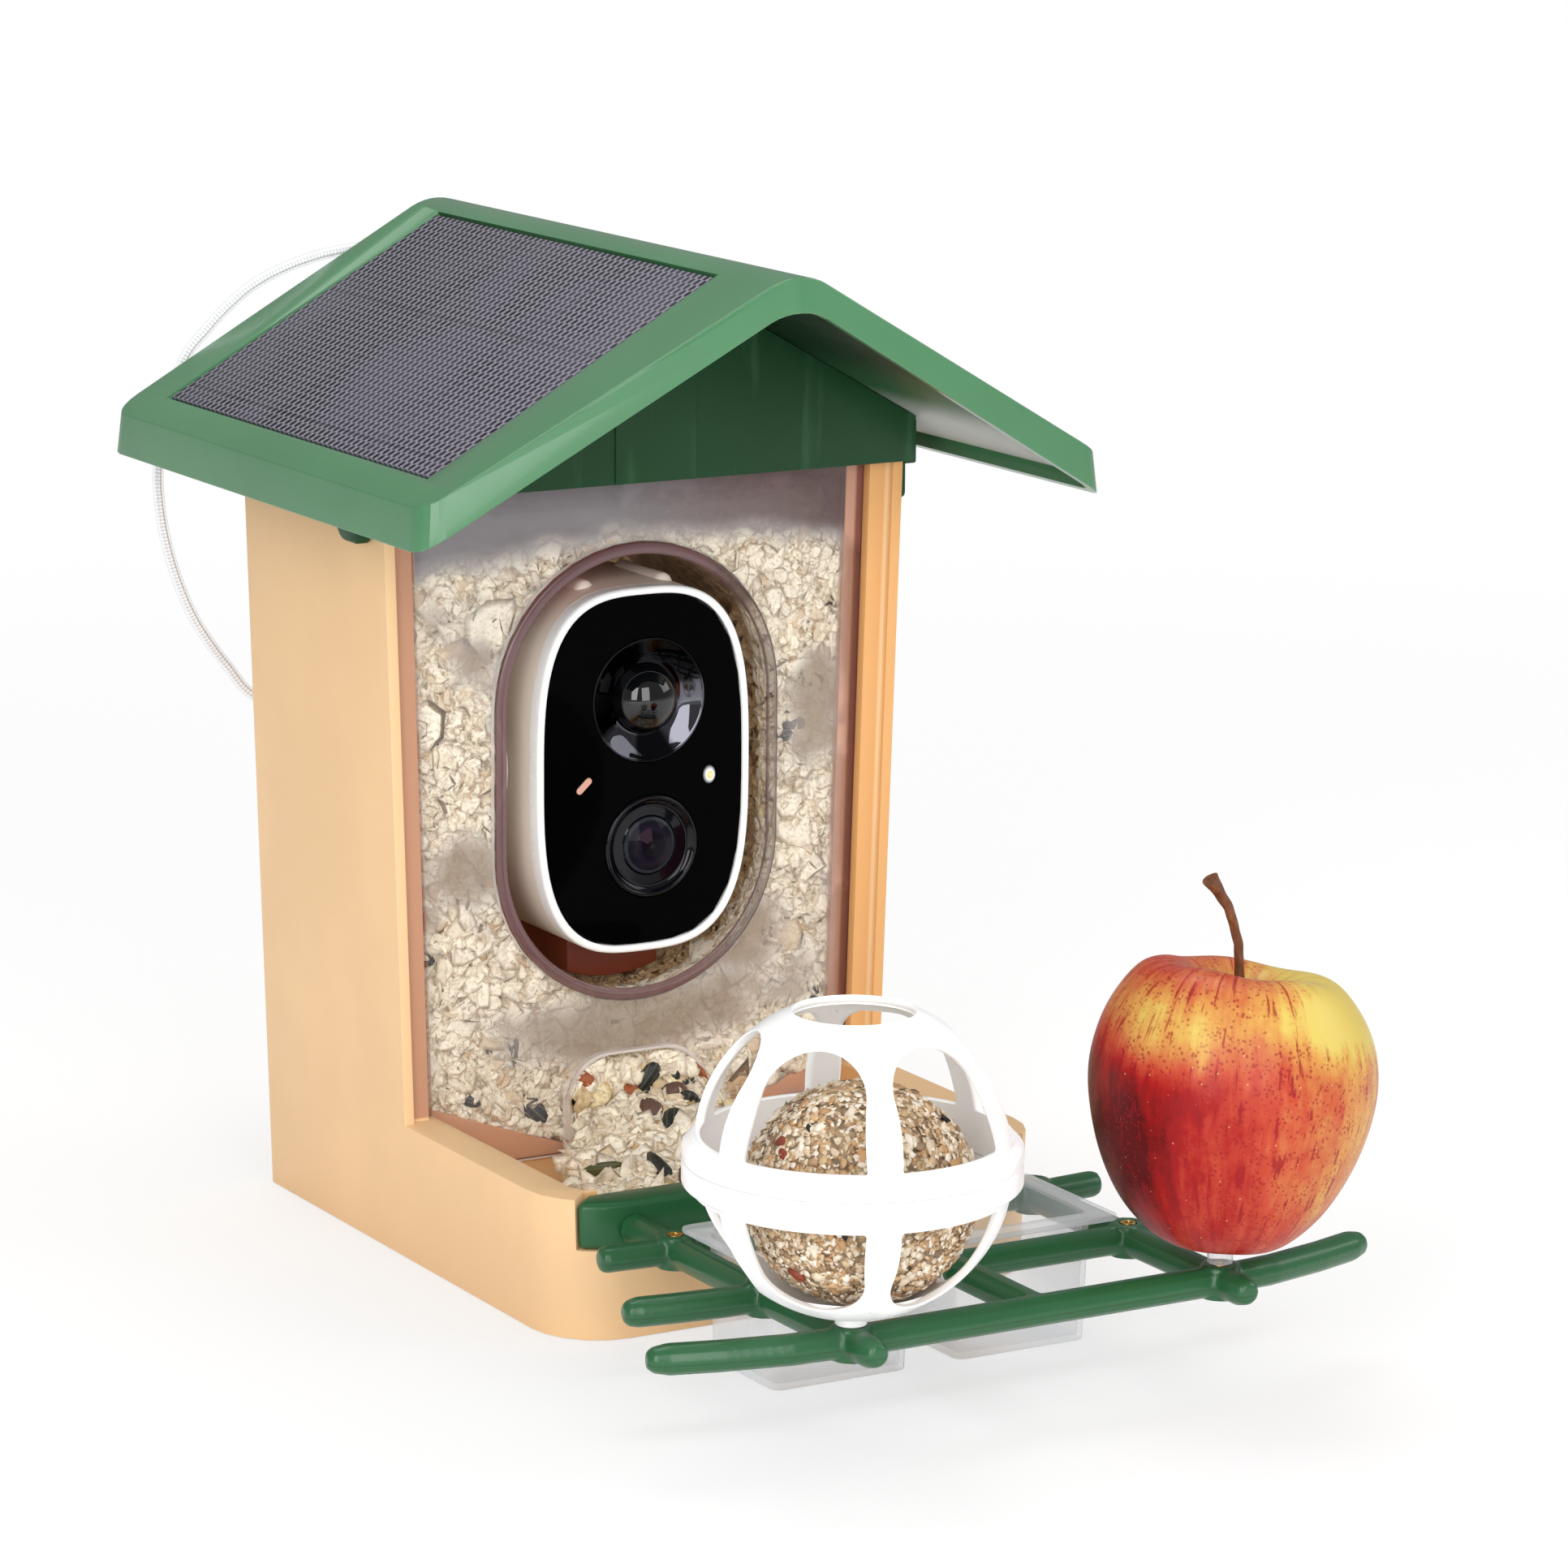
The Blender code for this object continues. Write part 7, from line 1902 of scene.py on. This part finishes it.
def apple_grid():
    """The apple: its profile turned about its axis, with five soft lobes that are strongest at the
    ends and a slight oval, leaning by APPLE_LEAN."""
    shares = np.array(APPLE_SHARES)
    fine = smooth_route(np.c_[shares[:, 0], 0 * shares[:, 0], shares[:, 1]], 150)
    radius = np.maximum(fine[:, 0], 0) * APPLE_RADIUS
    radius[0] = radius[-1] = 0
    height = fine[:, 2] * APPLE_HEIGHT - APPLE_HEIGHT / 2
    angle = even_angles(160)
    low = np.clip(1 - (height + APPLE_HEIGHT / 2) / (0.45 * APPLE_HEIGHT), 0, 1)[:, None]
    high = np.clip((height / (0.5 * APPLE_HEIGHT) - 0.45) / 0.55, 0, 1)[:, None]
    five = np.cos(5 * angle + 0.6)
    lobes = 1 + (0.022 * low + 0.007 * high) * five + 0.006 * np.cos(2 * angle + 0.4)
    across = radius[:, None] * lobes
    dip = 0.0004 * high * five - 0.0022 * high * np.cos(angle - 0.3)
    x, y = across * np.cos(angle), across * np.sin(angle)
    z = height[:, None] + dip * (radius[:, None] > 0)
    lean_x = x * math.cos(APPLE_LEAN) + z * math.sin(APPLE_LEAN)
    lean_z = z * math.cos(APPLE_LEAN) - x * math.sin(APPLE_LEAN)
    return np.stack([lean_x, y, lean_z], -1) + np.array(APPLE_PLACE)


# Where the red thins out: each spot's place to the right and up, its width, height and share
APPLE_GOLD_SPOTS = (
    (-0.60, 0.66, 0.52, 0.30, 0.52),
    (0.05, 0.74, 0.62, 0.32, 0.18),
    (0.70, 0.76, 0.54, 0.36, 0.46),
    (0.95, -0.20, 0.70, 0.90, 0.20),
)


def apple_finish():
    """Gold under red. The red is deepest to the left, thins to the right and over the shoulders,
    and breaks into short dashes that run from stalk to eye and into fine dots where the two
    colours meet; pale pores over all."""
    red, gold = look("apple_red"), look("apple_gold")
    finish = Finish("apple_skin", red, 0.28, IOR=1.45)
    place = finish.spot(turn=(0, APPLE_LEAN, 0), place=APPLE_PLACE)
    x, y, z = (finish.part(place, axis) / APPLE_UNIT for axis in "XYZ")
    right = x * math.cos(SIGHT_TURN) - y * math.sin(SIGHT_TURN)
    round_about = finish.maths("ARCTAN2", y, x)
    away = finish.distance(x, y)
    cosine, sine = finish.maths("COSINE", round_about), finish.wave(round_about)
    flat = finish.node("CombineXYZ", {}, {0: cosine, 1: sine, 2: z * 0.20})
    streak = finish.noise(0.10, 3, 0.6, flat, 0.1)
    dash = finish.noise(0.050, 2, 0.5, flat)
    cheek = 0.71 - right * 0.20 - finish.step(z, 0.55, 0.90) * 0.16
    for aside, above, wide, tall, share in APPLE_GOLD_SPOTS:
        spread = finish.distance((right - aside) / wide, (z - above) / tall)
        cheek = cheek - finish.step(spread, 1.45, 0.05) * share
    cheek = cheek + finish.step(right, -0.2, -0.95) * finish.step(z, 0.5, -0.4) * 0.24
    blotch = finish.noise(0.016, 3, 0.6, finish.spot(scale=(1, 1, 1.7)))
    cheek = cheek + (blotch - 0.5) * 0.40
    cheek = cheek + (streak - 0.5) * 0.45 + (finish.noise(0.0035, 3, 0.7) - 0.5) * 0.20
    tones = hue("D0B85C"), gold, hue("BE6A3C"), hue("B8432C"), red, hue("560105")
    tone = finish.ramp(cheek, list(zip((0.14, 0.30, 0.46, 0.60, 0.80, 1.0), tones)))
    crowd = finish.step(finish.noise(0.004, 3, 0.7), 0.42, 0.55) * finish.step(cheek, 0.10, 0.40)
    dots = finish.step(finish.cells(0.0012), 0.42, 0.30) * crowd
    tone = finish.blend(dots * 0.65, tone, hue("8A1015"))
    dashes = finish.step(dash, 0.62, 0.67) * finish.step(cheek, 0.05, 0.40)
    tone = finish.blend(dashes * 0.75, tone, hue("8C0E18"))
    hollow = finish.step(away, 0.40, 0.10) * finish.step(z, 0.55, 0.75)
    tone = finish.blend(hollow * 0.6, tone, hue("8F8A3C"))
    eye = finish.step(away, 0.22, 0.08) * finish.step(z, -0.8, -0.9)
    tone = finish.blend(eye, tone, hue("4A3320"))
    pores = finish.step(finish.cells(0.0036), 0.085, 0.05)
    tone = finish.blend(pores * 0.5, tone, hue("E8BC86"))
    finish.feed({"Base Color": tone, "Roughness": finish.noise(0.01, 3) * 0.14 + 0.30})
    finish.feed({"Specular IOR Level": 0.28})
    finish.relief(finish.noise(0.004, 3) + pores * 0.2, 0.00025, 0.35)
    return finish


def make_apple():
    """The apple, its bent stalk and the clear spike that it stands on."""
    mesh = skin("apple_fruit", [(apple_grid(), False, True)], 180)
    dress("apple", mesh, apple_finish())
    bark = Finish("stalk_bark", hue("6E3B22"), 0.6)
    ridges = bark.noise(0.0016, 4, 0.7, bark.spot(scale=(1, 1, 5)))
    stops = [(0.25, hue("3A1C10")), (0.55, hue("74401F")), (0.85, hue("9C6A3A"))]
    bark.feed({"Base Color": bark.ramp(ridges, stops)})
    bark.feed({"Roughness": ridges * 0.3 + 0.4})
    bark.relief(ridges, 0.0004, 0.9)
    share = np.linspace(0, 1, 60)
    foot = APPLE_PLACE[2] + (APPLE_SHARES[0][1] - 0.5) * APPLE_HEIGHT + 0.0006
    x = APPLE_PLACE[0] + 0.0020 - 0.0102 * share**3
    places = np.stack([x, APPLE_PLACE[1] + 0 * share, foot + 0.0333 * share], -1)

    def across(gone, angle):
        s = np.clip(gone / gone.max(), 0, 1)
        knob = 1 + 0.9 * s**8 + 0.16 * (1 - s) ** 6
        bark_waves = 0.10 * np.cos(3 * angle + 20 * s) + 0.05 * np.sin(40 * s + angle)
        return STALK_RADIUS * knob * (1 + bark_waves)

    stalk = capped(along_route(places, across, 16))
    dress("apple_stem", skin("apple_stalk", [(stalk, False, True)], 60), bark)
    clear = clear_plastic("spike_plastic", hue("E8E9EC"), 0.22, 0.75, 0.05, 0.1)
    smooth_over("apple_spike", clear, "clear_plastic", 0.0002, "clear_spike")


class FEEDER_OT_camera(bpy.types.Operator):
    """Adds the photograph's camera"""

    bl_idname = "feeder.camera"
    bl_label = "Photo camera"

    def execute(self, context):
        photo_camera()
        return {"FINISHED"}


class FEEDER_OT_cord(bpy.types.Operator):
    """Adds the hanging cord: a white braid in a clear sleeve"""

    bl_idname = "feeder.cord"
    bl_label = "Hanging cord"

    def execute(self, context):
        make_cord()
        return {"FINISHED"}


class FEEDER_OT_stage(bpy.types.Operator):
    """Adds the pale floor, the surround and the soft lamps"""

    bl_idname = "feeder.stage"
    bl_label = "Studio"

    def execute(self, context):
        studio()
        return {"FINISHED"}


class FEEDER_OT_housing(bpy.types.Operator):
    """Dresses the housing, its ramp and its base plate"""

    bl_idname = "feeder.housing"
    bl_label = "Housing"

    def execute(self, context):
        make_housing()
        return {"FINISHED"}


class FEEDER_OT_window(bpy.types.Operator):
    """Dresses the clear window and the tinted well"""

    bl_idname = "feeder.window"
    bl_label = "Window and well"

    def execute(self, context):
        make_window()
        return {"FINISHED"}


class FEEDER_OT_seed(bpy.types.Operator):
    """Fills the hopper with rolled oats"""

    bl_idname = "feeder.seed"
    bl_label = "Hopper seed"

    def execute(self, context):
        make_seed()
        return {"FINISHED"}


class FEEDER_OT_heap(bpy.types.Operator):
    """Spills mixed seed over the tray"""

    bl_idname = "feeder.heap"
    bl_label = "Tray seed"

    def execute(self, context):
        make_heap()
        return {"FINISHED"}


class FEEDER_OT_camera_unit(bpy.types.Operator):
    """Dresses the camera in the well"""

    bl_idname = "feeder.camera_unit"
    bl_label = "Camera unit"

    def execute(self, context):
        make_camera()
        return {"FINISHED"}


class FEEDER_OT_roof(bpy.types.Operator):
    """Dresses the roof, gables, rails and solar panel"""

    bl_idname = "feeder.roof"
    bl_label = "Roof"

    def execute(self, context):
        make_roof()
        return {"FINISHED"}


class FEEDER_OT_perch(bpy.types.Operator):
    """Dresses the twig perch, its inserts and the clear cups"""

    bl_idname = "feeder.perch"
    bl_label = "Perch and cups"

    def execute(self, context):
        make_perch()
        return {"FINISHED"}


class FEEDER_OT_cage(bpy.types.Operator):
    """Dresses the ball cage and the fat ball"""

    bl_idname = "feeder.cage"
    bl_label = "Cage and fat ball"

    def execute(self, context):
        make_cage()
        return {"FINISHED"}


class FEEDER_OT_apple(bpy.types.Operator):
    """Dresses the apple, its stalk and its spike"""

    bl_idname = "feeder.apple"
    bl_label = "Apple"

    def execute(self, context):
        make_apple()
        return {"FINISHED"}


OPERATORS = (
    FEEDER_OT_camera,
    FEEDER_OT_cord,
    FEEDER_OT_stage,
    FEEDER_OT_housing,
    FEEDER_OT_window,
    FEEDER_OT_seed,
    FEEDER_OT_heap,
    FEEDER_OT_camera_unit,
    FEEDER_OT_roof,
    FEEDER_OT_perch,
    FEEDER_OT_cage,
    FEEDER_OT_apple,
)


class FEEDER_PT_panel(bpy.types.Panel):
    """Lists the feeder's pieces and settings"""

    bl_label = "Bird feeder"
    bl_idname = "FEEDER_PT_panel"
    bl_space_type = "VIEW_3D"
    bl_region_type = "UI"
    bl_category = "Feeder"

    def draw(self, context):
        column = self.layout.column()
        for operator in OPERATORS:
            column.operator(operator.bl_idname)
        for group in (context.scene.feeder_colours, context.scene.feeder_sizes):
            for name in group.__annotations__:
                column.prop(group, name)


CLASSES = (FeederColours, FeederSizes, *OPERATORS, FEEDER_PT_panel)


def register():
    for item in CLASSES:
        bpy.utils.register_class(item)
    bpy.types.Scene.feeder_colours = bpy.props.PointerProperty(type=FeederColours)
    bpy.types.Scene.feeder_sizes = bpy.props.PointerProperty(type=FeederSizes)


def unregister():
    del bpy.types.Scene.feeder_sizes
    del bpy.types.Scene.feeder_colours
    for item in reversed(CLASSES):
        bpy.utils.unregister_class(item)


def main():
    """Builds the feeder's looks."""
    register()
    bpy.ops.feeder.camera()
    bpy.ops.feeder.cord()
    bpy.ops.feeder.stage()
    bpy.ops.feeder.housing()
    bpy.ops.feeder.window()
    bpy.ops.feeder.seed()
    bpy.ops.feeder.heap()
    bpy.ops.feeder.camera_unit()
    bpy.ops.feeder.roof()
    bpy.ops.feeder.perch()
    bpy.ops.feeder.cage()
    bpy.ops.feeder.apple()


if __name__ == "__main__":
    main()
